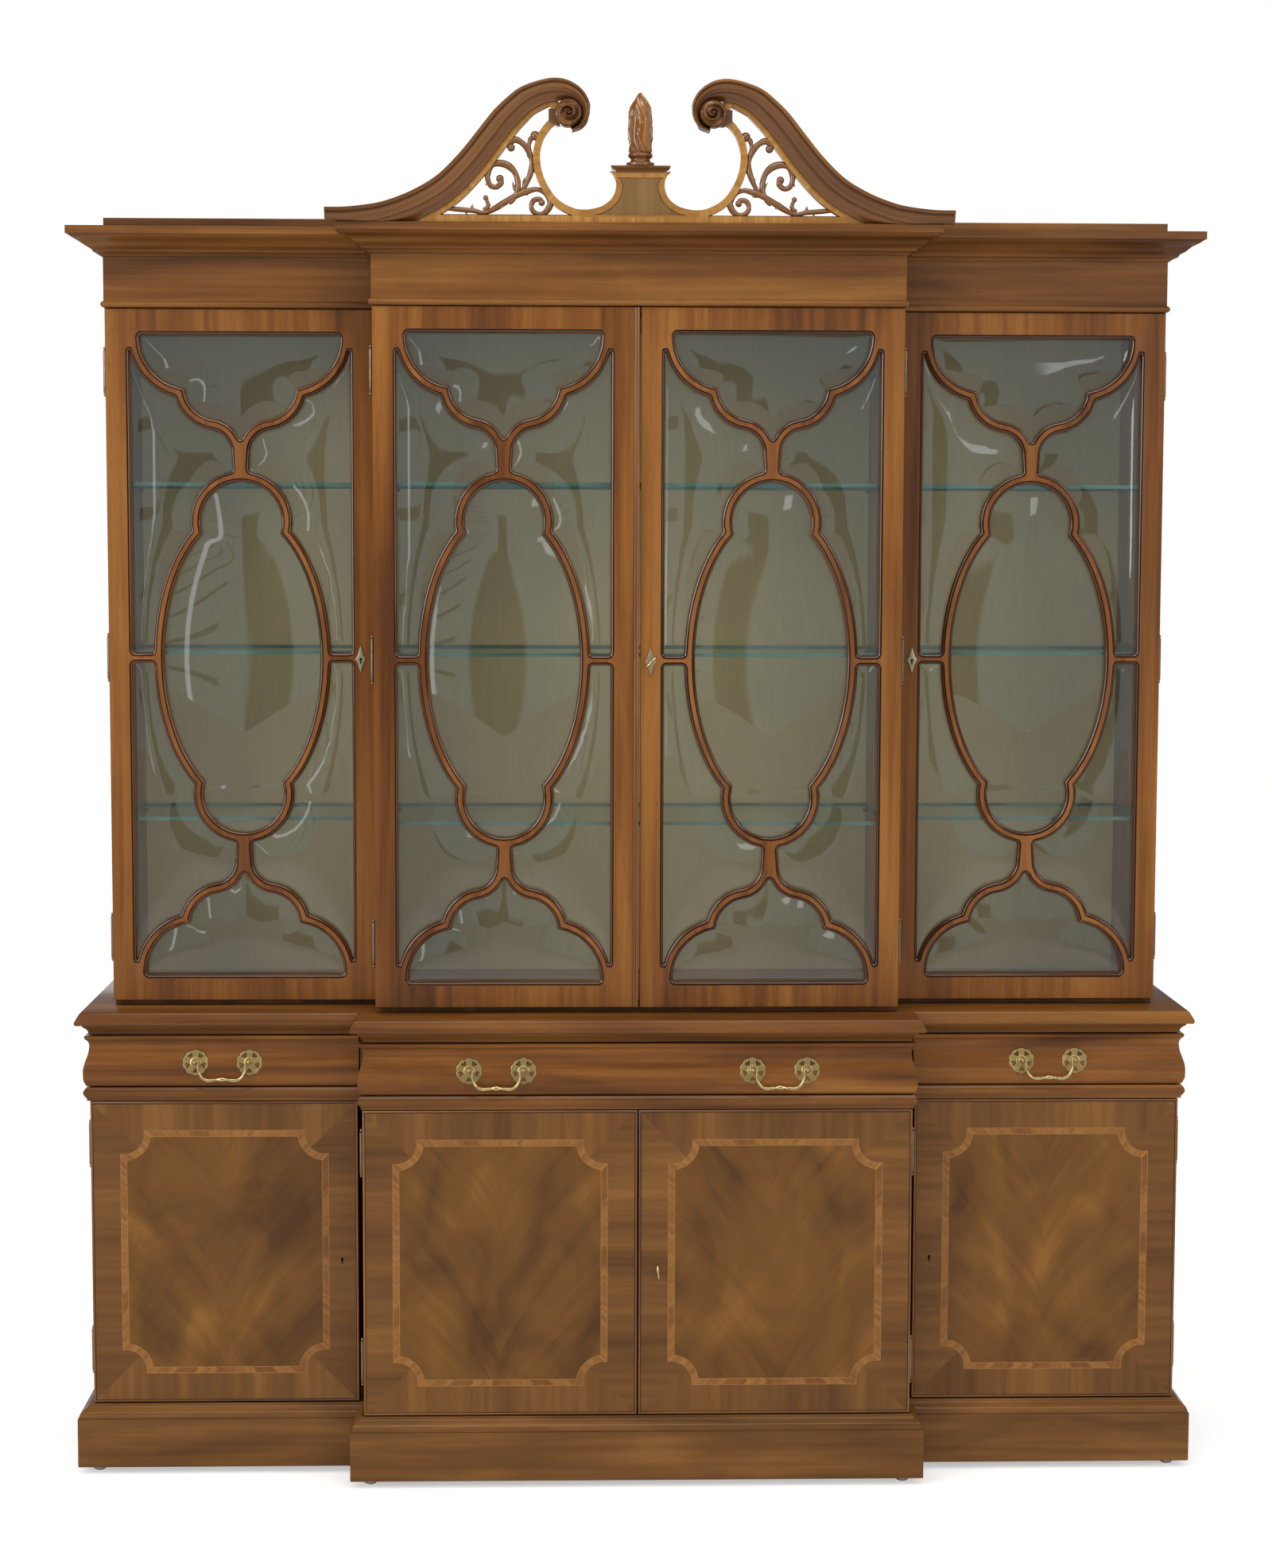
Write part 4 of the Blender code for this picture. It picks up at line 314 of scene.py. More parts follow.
def room_colour(tree):
    """A dim room round the object, in the direction of each mirrored ray."""
    way = tree.out("TexCoord", None, "Generated")
    x, y, z = tree.xyz(way)
    ahead = tree.maths("MAXIMUM", tree.times(y, -1.0), SLOPE_LIMIT)
    across, up = tree.maths("DIVIDE", x, ahead), tree.maths("DIVIDE", z, ahead)
    wave = tree.out("TexNoise", {"Vector": way, "Scale": BEND_SCALE, "Detail": BEND_DETAIL}, "Fac")
    bent = tree.maths("ADD", up, tree.times(tree.maths("SUBTRACT", wave, 0.5), WALL_BEND))

    def patch(spans, rise=up):
        return tree.times(tree.span(across, *spans[0]), tree.span(rise, *spans[1]))

    ripple = tree.maths("GREATER_THAN", tree.maths("SINE", tree.times(up, STRIPE_PITCH)), STRIPE_EDGE)
    lines = tree.times(patch(STRIPE_SPANS), tree.times(ripple, STRIPE_SHARE))
    gone = tree.maths("MAXIMUM", tree.times(patch(DOOR_SPANS), DOOR_SHARE), lines)
    wall = tree.times(patch(WALL_SPANS, bent), tree.maths("SUBTRACT", 1.0, gone))
    soft = tree.times(tree.maths("MAXIMUM", patch(DAY_SPANS), tree.span(up, *ABOVE_SPAN)), SOFT_SHARE)
    glints = tree.times(tree.maths("MAXIMUM", patch(SLIT_SPANS, bent), patch(LAMP_SPANS)), GLINT_SHARE)
    glare = tree.maths("MAXIMUM", patch(LEFT_SPANS), patch(RIGHT_SPANS))
    glare = tree.maths("MAXIMUM", tree.maths("MAXIMUM", glare, soft), glints)
    return tree.mixed(glare, tree.mixed(wall, ROOM_DARK, ROOM_WALL), ROOM_WINDOW)


def make_light():
    world = bpy.data.worlds.new("studio")
    bpy.context.scene.world = world
    world.use_nodes = True
    tree = Tree(world.node_tree)
    path = tree.node("LightPath").outputs
    light = tree.out("Background", {"Color": WHITE, "Strength": WORLD_LIGHT})
    room = tree.out("Background", {"Color": room_colour(tree)})
    white = tree.out("Background", {"Color": WHITE})
    seen = tree.maths("MAXIMUM", path["Is Camera Ray"], path["Is Transmission Ray"])
    whole = tree.shaded(seen, tree.shaded(path["Is Glossy Ray"], light, room), white)
    tree.feed(tree.nodes["World Output"].inputs["Surface"], whole)
    for name, (place, aim, width, height, power, colour) in LAMPS.items():
        data = bpy.data.lights.new(name, "AREA")
        data.shape = "RECTANGLE"
        data.size, data.size_y = width, height
        data.energy = power
        data.color = colour
        lamp = bpy.data.objects.new(name, data)
        lamp.location = place
        lamp.rotation_euler = (Vector(aim) - Vector(place)).to_track_quat("-Z", "Y").to_euler()
        bpy.context.scene.collection.objects.link(lamp)


# Looks


# Noises: scale along, across and deep, then detail and distortion
BROAD = ((1.3, 7.0, 7.0), 3.0, 0.6)
LINES = ((2.2, 70.0, 70.0), 4.0, 0.2)
PORES = ((38.0, 900.0, 900.0), 2.0)
FEATHER = ((3.2, 13.0, 1.0), 4.0, 0.9)
CLOUD = ((7.5, 5.5, 1.0), 3.5, 0.9)
WISP = ((9.0, 60.0, 1.0), 3.0, 0.4)
VENEER_PORES = ((40.0, 500.0, 1.0), 2.0)
BAND_LINES = ((420.0, 14.0, 14.0), 3.0, 0.2)
BAND_STREAKS = ((90.0, 6.0, 6.0), 3.0)
PATCHES = ((90.0, 90.0, 90.0), 3.0)
PANE_CAST = ((3.0, 3.0, 3.0), 1.0)
PLATE_CAST = ((9.0, 9.0, 9.0), 2.0)
MOTTLE = ((2.5, 2.5, 2.5), 3.0)
SPECKLE = ((160.0, 160.0, 16.0), 2.0)
# Where the tones of a look stand on its noise, and how much each noise counts
WOOD_STOPS = (0.34, 0.5, 0.64)
WOOD_SHARES, BAND_SHARES, LINING_SHARES = (0.62, 0.38), (0.4, 0.6), (0.7, 0.3)
BAND_STOPS, CAST_STOPS = (0.34, 0.62), (0.35, 0.65)
CROTCH_SHARES = (0.27, 0.62, 0.11)
PORE_STRENGTH, VENEER_PORE_STRENGTH = 0.38, 0.25
PLUME_POWER, PLUME_FALL = 0.75, -0.85
SHEEN = (0.3, 0.7)
WOOD_SHEEN, METAL_SHEEN, VENEER_SHEEN = (-0.05, 0.06), (-0.06, 0.1), (0.26, 0.36)
BAND_CHANCE = (0.45, 1.0, 0.0, 0.85)
VENEER_GLOSS, BAND_GLOSS, LINING_GLOSS = 0.3, 0.34, 0.6
WOOD_BUMP, LINING_BUMP = (0.12, 0.0002), (0.1, 0.0003)
METAL_CORNER, METAL_CORNER_SPAN, METAL_PATCH = 0.004, (0.25, 0.85), (0.45, 0.75, 0.0, 0.35)
PANE_CAST_SHARE, PANE_HAZE, PANE_EDGE_POWER, PANE_EDGE_SHARE = 0.94, 0.05, 4.0, 0.6
PLATE_FACE = (0.93, 0.97, 0.95, 1.0)
PLATE_EDGE = ((0.04, 0.105, 0.08), (0.07, 0.165, 0.125))
PLATE_ROUGHNESS, PLATE_MIRROR = 0.02, 0.06
LINING_SHADE = 0.82


def wood(name, palette, along=None, glaze_and_shade_reach=0.01, figure=1.0, gloss=0.34, shine=0.15):
    """Lacquered wood. Its grain follows the grain attribute, or an axis of the object."""
    look = Look(name, gloss)
    place = look.grain(along)
    broad = look.noise(place, tuple(figure * s for s in BROAD[0]), *BROAD[1:])
    lines = look.noise(place, *LINES)
    pores = look.noise(place, *PORES)
    colour = look.ramp(look.sum_of((broad, lines), WOOD_SHARES), WOOD_STOPS, palette)
    colour = look.mixed(look.ranged(pores, *PORE_SPAN, 0.0, PORE_STRENGTH), colour, palette[0])
    look.lacquered(colour, glaze_and_shade_reach, shine)
    look.put("Roughness", look.ranged(lines, *SHEEN, *(gloss + part for part in WOOD_SHEEN)))
    look.bump(pores, *WOOD_BUMP)
    return look.material


def crotch(name, stops, colours, pore_colour):
    """Flame figured veneer: a plume that rises from the middle of the panel and spreads out."""
    look = Look(name, VENEER_GLOSS)
    place = look.grain()
    x, y, z = look.xyz(place)
    aside = look.maths("ABSOLUTE", x)
    fall = look.maths("ADD", y, look.times(look.maths("POWER", aside, PLUME_POWER), PLUME_FALL))
    plume = look.out("CombineXYZ", {0: aside, 1: fall, 2: z})
    wisp = look.noise(plume, *WISP)
    noises = (look.noise(plume, *FEATHER), look.noise(place, *CLOUD), wisp)
    colour = look.ramp(look.sum_of(noises, CROTCH_SHARES), stops, colours)
    pores = look.ranged(look.noise(plume, *VENEER_PORES), *PORE_SPAN, 0.0, VENEER_PORE_STRENGTH)
    look.lacquered(look.mixed(pores, colour, pore_colour), 0.0)
    look.put("Roughness", look.ranged(wisp, *SHEEN, *VENEER_SHEEN))
    return look.material


def banded(name, length, colours, glaze_and_shade_reach=0.0):
    """Crossbanding: short lengths of light veneer whose grain runs across the band."""
    look = Look(name, BAND_GLOSS)
    place = look.grain()
    step = look.maths("FLOOR", look.maths("DIVIDE", look.xyz(place)[0], length))
    chance = look.out("TexWhiteNoise", {"W": step}, "Value", noise_dimensions="1D")
    noises = (look.noise(place, *BAND_LINES), look.noise(place, *BAND_STREAKS))
    colour = look.ramp(look.sum_of(noises, BAND_SHARES), BAND_STOPS, colours)
    look.lacquered(look.mixed(look.ranged(chance, *BAND_CHANCE), colour, colours[0]), glaze_and_shade_reach)
    return look.material


def metal(name, bright, dull, roughness, tarnish):
    """Brass or nickel, dulled in its corners and in soft patches."""
    look = Look(name, roughness, 1.0)
    patches = look.noise(look.object_place(), *PATCHES)
    corner = look.ranged(look.corners(METAL_CORNER), *METAL_CORNER_SPAN, tarnish, 0.0)
    dark = look.maths("ADD", corner, look.ranged(patches, *METAL_PATCH))
    look.put("Base Color", look.mixed(look.maths("MINIMUM", dark, 1.0), bright, dull))
    look.put("Roughness", look.ranged(patches, *SHEEN, *(roughness + part for part in METAL_SHEEN)))
    return look.material


def pane_glass(name, tint, body, mirror):
    """Glass that does not bend what is behind it: a tinted film whose mirror grows to the edge."""
    look = Look(name, 0.0)
    cast = look.ranged(look.noise(look.object_place(), *PANE_CAST), *CAST_STOPS)
    tint = look.mixed(cast, tint, tuple(PANE_CAST_SHARE * c for c in tint))
    clear = look.out("BsdfTransparent", {"Color": tint})
    gloss = look.out("BsdfGlossy", {"Color": WHITE, "Roughness": 0.0})
    film = look.out("BsdfDiffuse", {"Color": (*body, 1.0)})
    facing = look.out("LayerWeight", {"Blend": 0.5}, "Facing")
    edge = look.times(look.maths("POWER", facing, PANE_EDGE_POWER), PANE_EDGE_SHARE)
    whole = look.shaded(look.maths("ADD", edge, mirror), look.shaded(PANE_HAZE, clear, film), gloss)
    look.see_through(whole, clear)
    return look.material


def shelf_glass(name):
    """Plate glass: clear through its faces, green along its edges."""
    look = Look(name, 0.0)
    up = look.maths("ABSOLUTE", look.xyz(look.out("NewGeometry", None, "Normal"))[2])
    face = look.out("BsdfTransparent", {"Color": PLATE_FACE})
    deep = look.ramp(look.noise(look.object_place(), *PLATE_CAST), CAST_STOPS, PLATE_EDGE)
    edge = look.out("BsdfDiffuse", {"Color": deep})
    gloss = look.out("BsdfGlossy", {"Color": WHITE, "Roughness": PLATE_ROUGHNESS})
    body = look.shaded(look.maths("GREATER_THAN", up, 0.5), edge, face)
    look.see_through(look.shaded(PLATE_MIRROR, body, gloss), face)
    return look.material


def lining(name, colour):
    """The painted back panel, faintly mottled."""
    look = Look(name, LINING_GLOSS)
    place = look.object_place()
    speckle = look.noise(place, *SPECKLE)
    tone = look.sum_of((look.noise(place, *MOTTLE), speckle), LINING_SHARES)
    shade = tuple(LINING_SHADE * c for c in colour)
    look.put("Base Color", look.ramp(tone, CAST_STOPS, (shade, colour)))
    look.bump(speckle, *LINING_BUMP)
    return look.material


# Which axis of the object runs along the grain, and which follow
AXIS_ORDER = {"x": (0, 1, 2), "y": (1, 0, 2), "z": (2, 0, 1)}
# Palettes: dark, middle, light
BROWN = ((0.09, 0.028, 0.005), (0.207, 0.071, 0.0108), (0.325, 0.126, 0.023))
MOULD = ((0.08, 0.026, 0.005), (0.182, 0.065, 0.0115), (0.285, 0.115, 0.022))
BAR = ((0.11, 0.034, 0.008), (0.215, 0.074, 0.0155), (0.31, 0.118, 0.026))
BORDER = ((0.105, 0.04, 0.0075), (0.172, 0.069, 0.0135), (0.25, 0.106, 0.022))
CASE = (BROWN[0], MOULD[1], BROWN[2])
LEAF = (MOULD[0], MOULD[1], BROWN[2])
TRAY = ((0.2, 0.125, 0.06), (0.3, 0.195, 0.1), (0.38, 0.255, 0.135))
# The frame's brown made darker for the lips: painted shade on their slopes and next to the glass
LIP_SHADED_BROWN = ((0.032, 0.01, 0.003), (0.085, 0.027, 0.007), (0.14, 0.047, 0.011))
PANEL = ((0.15, 0.075, 0.022), (0.205, 0.108, 0.034), (0.255, 0.14, 0.048))
# Near black: painted shade inside keyholes and along quirks
HOLE_SHADE_BLACK = ((0.004, 0.003, 0.002), (0.006, 0.004, 0.003), (0.008, 0.005, 0.003))
PLUME_STOPS = (0.36, 0.46, 0.56, 0.66)
PLUME = (
    (0.088, 0.032, 0.0045), (0.143, 0.056, 0.0075), (0.19, 0.077, 0.011), (0.275, 0.115, 0.019),
)
PLUME_PORES = (0.07, 0.032, 0.014)
INLAY = ((0.165, 0.056, 0.011), (0.4, 0.178, 0.04))
STRINGING = ((0.3, 0.135, 0.035), (0.38, 0.185, 0.052))
BAND = ((0.29, 0.12, 0.024), (0.52, 0.262, 0.064))
KHAKI = (0.52, 0.385, 0.175)

# The glaze reach is how far the darkening in quirks and corners reaches: partly glaze, partly painted
# shade
WOODS = {
    "frame": dict(palette=BROWN),
    "moulding": dict(palette=MOULD, glaze_and_shade_reach=0.012),
    "plinth": dict(palette=BORDER, glaze_and_shade_reach=0.01, figure=2.2),
    "cornice": dict(palette=MOULD, glaze_and_shade_reach=0.014, figure=1.4),
    "drawer": dict(palette=BROWN, glaze_and_shade_reach=0.012, figure=1.8),
    "tray": dict(palette=TRAY),
    # The lips: painted shade, a darker copy of the frame's wood
    "lip": dict(palette=LIP_SHADED_BROWN, glaze_and_shade_reach=0.007, gloss=0.22, shine=0.9),
    "bead": dict(palette=BROWN, glaze_and_shade_reach=0.004, gloss=0.24, shine=0.6),
    "fret": dict(palette=MOULD, glaze_and_shade_reach=0.006, gloss=0.2, shine=1.0),
    "upper_case": dict(palette=CASE, along="z"),
    "base_case": dict(palette=CASE, along="case"),
    "bar": dict(palette=BAR, glaze_and_shade_reach=0.006, gloss=0.28),
    "border": dict(palette=BORDER, glaze_and_shade_reach=0.0),
    "carved": dict(palette=MOULD, glaze_and_shade_reach=0.013, gloss=0.24, shine=0.6),
    "leaf": dict(palette=LEAF, glaze_and_shade_reach=0.007, gloss=0.18, shine=1.0),
    "panel": dict(palette=PANEL, glaze_and_shade_reach=0.006),
    # Near black, for painted shade in keyholes and quirks
    "hole": dict(palette=HOLE_SHADE_BLACK, glaze_and_shade_reach=0.0),
}
LOOKS = {name: wood(name, **settings) for name, settings in WOODS.items()}
LOOKS.update({
    "field": crotch("field", PLUME_STOPS, PLUME, PLUME_PORES),
    "inlay": banded("inlay", 0.034, INLAY),
    "string": banded("string", 0.5, STRINGING),
    "banding": banded("banding", 0.12, BAND, 0.006),
    "lining": lining("lining", KHAKI),
    "brass": metal("brass", (0.62, 0.47, 0.22), (0.2, 0.14, 0.06), 0.24, 0.75),
    "rosette": metal("rosette", (0.44, 0.3, 0.12), (0.11, 0.07, 0.03), 0.4, 0.85),
    "antique": metal("antique", (0.42, 0.33, 0.2), (0.12, 0.09, 0.05), 0.34, 0.85),
    "hinge": metal("hinge", (0.26, 0.2, 0.13), (0.07, 0.05, 0.03), 0.4, 0.85),
    "nickel": metal("nickel", (0.8, 0.79, 0.7), (0.36, 0.35, 0.3), 0.28, 0.3),
    "pane": pane_glass("pane", (0.9, 0.93, 0.9), (0.3, 0.34, 0.33), 0.075),
    "shelf": shelf_glass("shelf"),
})


# Shapes


# How far a mitre may stretch: in strips, and in closed outlines
MITRE_LIMIT, DRAWN_LIMIT = 0.5, 0.35
SAME_POINT = 1e-7
SHORTEST_ASIDE = 0.01


def arc(centre, radius, start, end, steps):
    """Points on an arc, angles in degrees, measured from +x towards +z."""
    points = []
    for i in range(steps + 1):
        angle = math.radians(start + (end - start) * i / steps)
        points.append((centre[0] + radius * math.cos(angle), centre[1] + radius * math.sin(angle)))
    return points


def angles(count):
    return [2 * math.pi * i / count for i in range(count)]


def smooth_path(points, steps):
    """A Catmull-Rom curve through points of any dimension."""
    pts = [np.array(p, float) for p in points]
    out = []
    last = len(pts) - 1
    for i in range(last):
        p0, p1, p2, p3 = pts[max(i - 1, 0)], pts[i], pts[i + 1], pts[min(i + 2, last)]
        for k in range(steps):
            t = k / steps
            bend = 2 * p1 + (p2 - p0) * t + (2 * p0 - 5 * p1 + 4 * p2 - p3) * t * t
            out.append(tuple((bend + (3 * p1 - p0 - 3 * p2 + p3) * t ** 3) / 2))
    return out + [tuple(pts[-1])]


def mitres(path, closed=False):
    """Normals in the plane, stretched so that a strip keeps its width round a bend."""
    normals = []
    count = len(path)
    for i in range(count):
        ways = []
        if closed or i > 0:
            ways.append((Vector(path[i]) - Vector(path[i - 1])).normalized())
        if closed or i < count - 1:
            ways.append((Vector(path[(i + 1) % count]) - Vector(path[i])).normalized())
        way = sum(ways, Vector((0, 0))).normalized()
        normal = Vector((-way.y, way.x))
        across = Vector((-ways[0].y, ways[0].x))
        normals.append(normal / max(normal.dot(across), MITRE_LIMIT))
    return normals


def run_along(points, closed=False):
    """How far each point lies along the path."""
    run = [0.0]
    points = list(points)
    for p, q in zip(points, points[1:] + (points[:1] if closed else [])):
        run.append(run[-1] + math.dist(p, q))
    return run


def box_marks(run, across):
    """Grain that runs along a strip: a function of the row, the corner and the face's corners."""
    return lambda i, j, corners: [
        (run[j], across[i], 0.0), (run[j + 1], across[i], 0.0),
        (run[j + 1], across[i + 1], 0.0), (run[j], across[i + 1], 0.0),
    ]


class Builder:
    """Collects the faces of one piece, each with its look and the grain at its corners."""

    def __init__(self):
        self.points = []
        self.faces = []
        self.looks = []
        self.grain = []
        self.names = []

    def look(self, name):
        if name not in self.names:
            self.names.append(name)
        return self.names.index(name)

    def add(self, points):
        start = len(self.points)
        self.points += [tuple(p) for p in points]
        return list(range(start, start + len(points)))

    def upright(self, outline, y):
        """An outline in x and z, stood at y."""
        return self.add([(x, y, z) for x, z in outline])

    def face(self, corners, look, grain):
        """A face through point numbers. Grain is an axis, or one mark for each corner."""
        if isinstance(grain, str):
            grain = [tuple(self.points[c][k] for k in AXIS_ORDER[grain]) for c in corners]
        self.faces.append(tuple(corners))
        self.looks.append(self.look(look))
        self.grain.append([tuple(g) for g in grain])

    def skin(self, rows, look, grain, closed=True, inward=False):
        """Faces between neighbouring rows. Look and grain may be functions of row and corner."""
        for i, (a, b) in enumerate(zip(rows, rows[1:])):
            for j in range(len(a) if closed else len(a) - 1):
                k = (j + 1) % len(a)
                corners = (a[j], b[j], b[k], a[k]) if inward else (a[j], a[k], b[k], b[j])
                marks = grain(i, j, corners) if callable(grain) else grain
                self.face(corners, look(i) if callable(look) else look, marks)

    def ends(self, rows, look, grain):
        self.face(rows[0], look, grain)
        self.face(rows[-1][::-1], look, grain)

    def wall(self, outline, y0, y1, look, grain):
        rows = [self.upright(outline, y0), self.upright(outline, y1)]
        self.skin(rows, look, grain)
        return rows

    def loft(self, loops, look, grain=None, ring=False):
        """Faces through loops of equal length. With no axis, the grain runs along the loft."""
        rows = [self.add(loop) for loop in loops]
        middles = [np.mean([tuple(p) for p in loop], axis=0) for loop in loops]
        run, around = run_along(middles, True), run_along(loops[0], True)

        def along(i, j, corners):
            return [
                (run[i], around[j], 0.0), (run[i], around[j + 1], 0.0),
                (run[i + 1], around[j + 1], 0.0), (run[i + 1], around[j], 0.0),
            ]

        self.skin(rows + rows[:1] if ring else rows, look, grain or along)
        if not ring:
            self.ends(rows, look, grain or "x")

    def sided(self, rows, look, rise, step, shift=0.0, closed=True):
        """Mouldings round corners: grain along the side each face stands on, rise across it."""

        def marks(i, j, corners):
            p, q = (self.points[c] for c in corners[:2])
            axis = 0 if abs(p[0] - q[0]) > abs(p[1] - q[1]) else 1
            heights = (rise[i], rise[i], rise[i + 1], rise[i + 1])
            return [(self.points[c][axis], h, step * j + shift) for c, h in zip(corners, heights)]

        self.skin(rows, look, marks, closed)

    def join(self, other, matrix):
        start = len(self.points)
        self.points += [tuple(matrix @ Vector(p)) for p in other.points]
        flip = matrix.determinant() < 0
        for corners, look, grain in zip(other.faces, other.looks, other.grain):
            corners = tuple(c + start for c in corners)
            if flip:
                corners, grain = corners[::-1], grain[::-1]
            self.face(corners, other.names[look], grain)

    def piece(self, name, body, nodes, smooth=35.0, offset=0.0):
        """Makes the object, carries it to the model's frame and lets it ride on its body."""
        mesh = bpy.data.meshes.new(name)
        mesh.from_pydata(self.points, [], self.faces)
        mesh.transform(Matrix.Translation((0.0, SHIFT, 0.0)))
        for look in self.names:
            mesh.materials.append(LOOKS[look])
        mesh.polygons.foreach_set("material_index", self.looks)
        values = np.array([g for face in self.grain for g in face], np.float32)
        values += np.float32(offset)
        layer = mesh.attributes.new("grain", "FLOAT_VECTOR", "CORNER")
        layer.data.foreach_set("vector", values.ravel())
        shape = bmesh.new()
        shape.from_mesh(mesh)
        bmesh.ops.remove_doubles(shape, verts=shape.verts, dist=WELD)
        bmesh.ops.recalc_face_normals(shape, faces=shape.faces)
        shape.to_mesh(mesh)
        shape.free()
        mesh.shade_smooth()
        mesh.set_sharp_from_angle(angle=math.radians(smooth))
        obj = bpy.data.objects.new(name, mesh)
        bpy.context.scene.collection.objects.link(obj)
        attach(obj, body)
        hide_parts(*nodes)


# Breakfront outlines


def plan(half, centre_half, centre_y, out):
    w, c = half + out, centre_half + out
    wing_y = STEP + centre_y - out
    left = [(-w, CASE_BACK), (-w, wing_y), (-c, wing_y), (-c, centre_y - out)]
    return left + [(-x, y) for x, y in reversed(left)]


def plinth_plan(out):
    return plan(PLINTH_HALF, PLINTH_CENTRE_HALF, 0.0, out)


def upper_plan(out):
    return plan(UPPER_HALF, UPPER_CENTRE_HALF, UPPER_DOOR_FACE, out)


def base_plan(out):
    return plan(BASE_HALF, BASE_CENTRE_HALF, BASE_CASE_FRONT, out)


def smooth_levels(levels, steps=4):
    """A moulding's levels with rounded forms: a repeated level keeps a sharp arris there."""
    runs = [[levels[0]]]
    for before, level in zip(levels, levels[1:]):
        if level == before:
            runs.append([level])
        else:
            runs[-1].append(level)
    out = []
    for run in runs:
        path = smooth_path(run, steps) if len(run) > 2 else run
        out += path[1:] if out and path[0] == out[-1] else path
    return out


def moulded(builder, outline, levels, look):
    """A breakfront solid whose sides follow (height, projection) levels."""
    rows = [builder.add([(x, y, z) for x, y in outline(out)]) for z, out in levels]
    builder.sided(rows, look, run_along(levels), SIDE_SHIFT)
    builder.ends(rows, look, "x")


def ring_moulding(builder, outline, levels, inner, look):
    """A moulding planted round the front and sides of a case, open at the back."""
    loops = [[(x, y, z) for x, y in outline(out)] for z, out in levels]
    loops += [[(x, y, z) for x, y in inner(GAP)] for z in (levels[-1][0], levels[0][0])]
    rows = [builder.add(loop) for loop in loops]
    run = run_along([loop[2] for loop in loops], True)
    builder.sided(rows + rows[:1], look, run, SIDE_SHIFT, closed=False)
    for j in (0, -1):
        builder.face([row[j] for row in rows], look, "x")


def turned(builder, levels, look, matrix, sides=32):
    """A turned form about z from (height, radius) levels, carried by a matrix."""
    part = Builder()
    part.loft([[(r * math.cos(t), r * math.sin(t), z) for t in angles(sides)] for z, r in levels], look)
    builder.join(part, matrix)


def block(builder, x0, x1, y0, y1, z0, z1, look, grain="x"):
    """One board of a piece."""
    rows = [builder.add([(x0, y0, z), (x1, y0, z), (x1, y1, z), (x0, y1, z)]) for z in (z0, z1)]
    builder.skin(rows, look, grain)
    builder.face(rows[0][::-1], look, grain)
    builder.face(rows[1], look, grain)


def spans(bottom, top, start, reach, shares):
    return [(bottom + (top - bottom) * up, start + reach * out) for up, out in shares]


def ball_levels(middle, radius, start, sweep, steps, tip):
    """The ball that ends a turned form, as (height, radius) levels."""
    levels = []
    for k in range(steps + 1):
        t = start + sweep * k / steps
        levels.append((middle + radius * math.sin(t), max(radius * math.cos(t), tip)))
    return levels


def quarter_turn(x, y, z):
    """Carries a form turned about z to stand out towards -y from a place."""
    return Matrix.Translation((x, y, z)) @ Matrix.Rotation(math.radians(90), 4, "X")


# Grain steps from side to side of a moulding, and from side to side of a drawer
SIDE_SHIFT, DRAWER_SHIFT = 0.37, 0.21
# The grain of one piece stands this far from that of its twin, or so many times its place
DRAWER_OFFSET, NECK_OFFSET, FRET_OFFSET = 0.31, 0.4, 0.2
DOOR_OFFSET_SHARE, FIELD_OFFSET_SHARE = 0.7, 1.7


# Base

PLINTH_CAP_REACH = 0.017
PLINTH_EASE = 0.0012
PLINTH_CAP_SHARES = (
    (0.0, 0.0), (0.0, 0.0), (0.0, 0.118), (0.0, 0.118), (0.225, 0.147), (0.45, 0.294), (0.631, 0.618),
    (0.788, 0.882), (1.0, 1.0),
)
GLIDE_SHARES = (
    (0.0, 0.5), (0.04, 0.62), (0.16, 0.84), (0.38, 0.98), (0.6, 1.0), (0.9, 0.96), (1.0, 0.94),
)
MID_INSET, MID_REACH = 0.0145, 0.0055
MID_SHARES = (
    (0.0, 1.0), (0.0, 1.0), (0.178, 0.909), (0.4, 0.273), (0.622, 0.0), (0.822, 0.273), (1.0, 0.909),
)
TOP_REACH = 0.0235
TOP_SHARES = (
    (0.0, 1.0), (0.105, 0.979), (0.237, 0.851), (0.342, 0.638), (0.434, 0.596), (0.434, 0.596),
    (0.447, 0.213), (0.447, 0.213), (0.48, 0.15), (0.56, 0.125), (0.632, 0.149), (0.816, 0.319),
    (0.934, 0.426), (0.985, 0.5), (1.0, 0.56),
)
NECKING_HEIGHT, NECKING_REACH, CROWN_REACH = 0.011, 0.0056, 0.0535
NECKING_SHARES = (
    (0.0, 0.09), (0.12, 0.62), (0.3, 0.92), (0.5, 1.0), (0.7, 0.92), (0.88, 0.62), (1.0, 0.214),
)
CROWN_SHARES = (
    (0.0, 0.022), (0.0, 0.022), (0.002, 0.075), (0.002, 0.075), (0.079, 0.14), (0.135, 0.215),
    (0.135, 0.215), (0.137, 0.28), (0.137, 0.28), (0.225, 0.327), (0.337, 0.486), (0.472, 0.617),
    (0.607, 0.841), (0.708, 0.935), (0.708, 0.935), (0.716, 1.0), (0.716, 1.0), (0.99, 1.0),
    (0.99, 1.0), (1.0, 0.985), (1.0, 0.985),
)
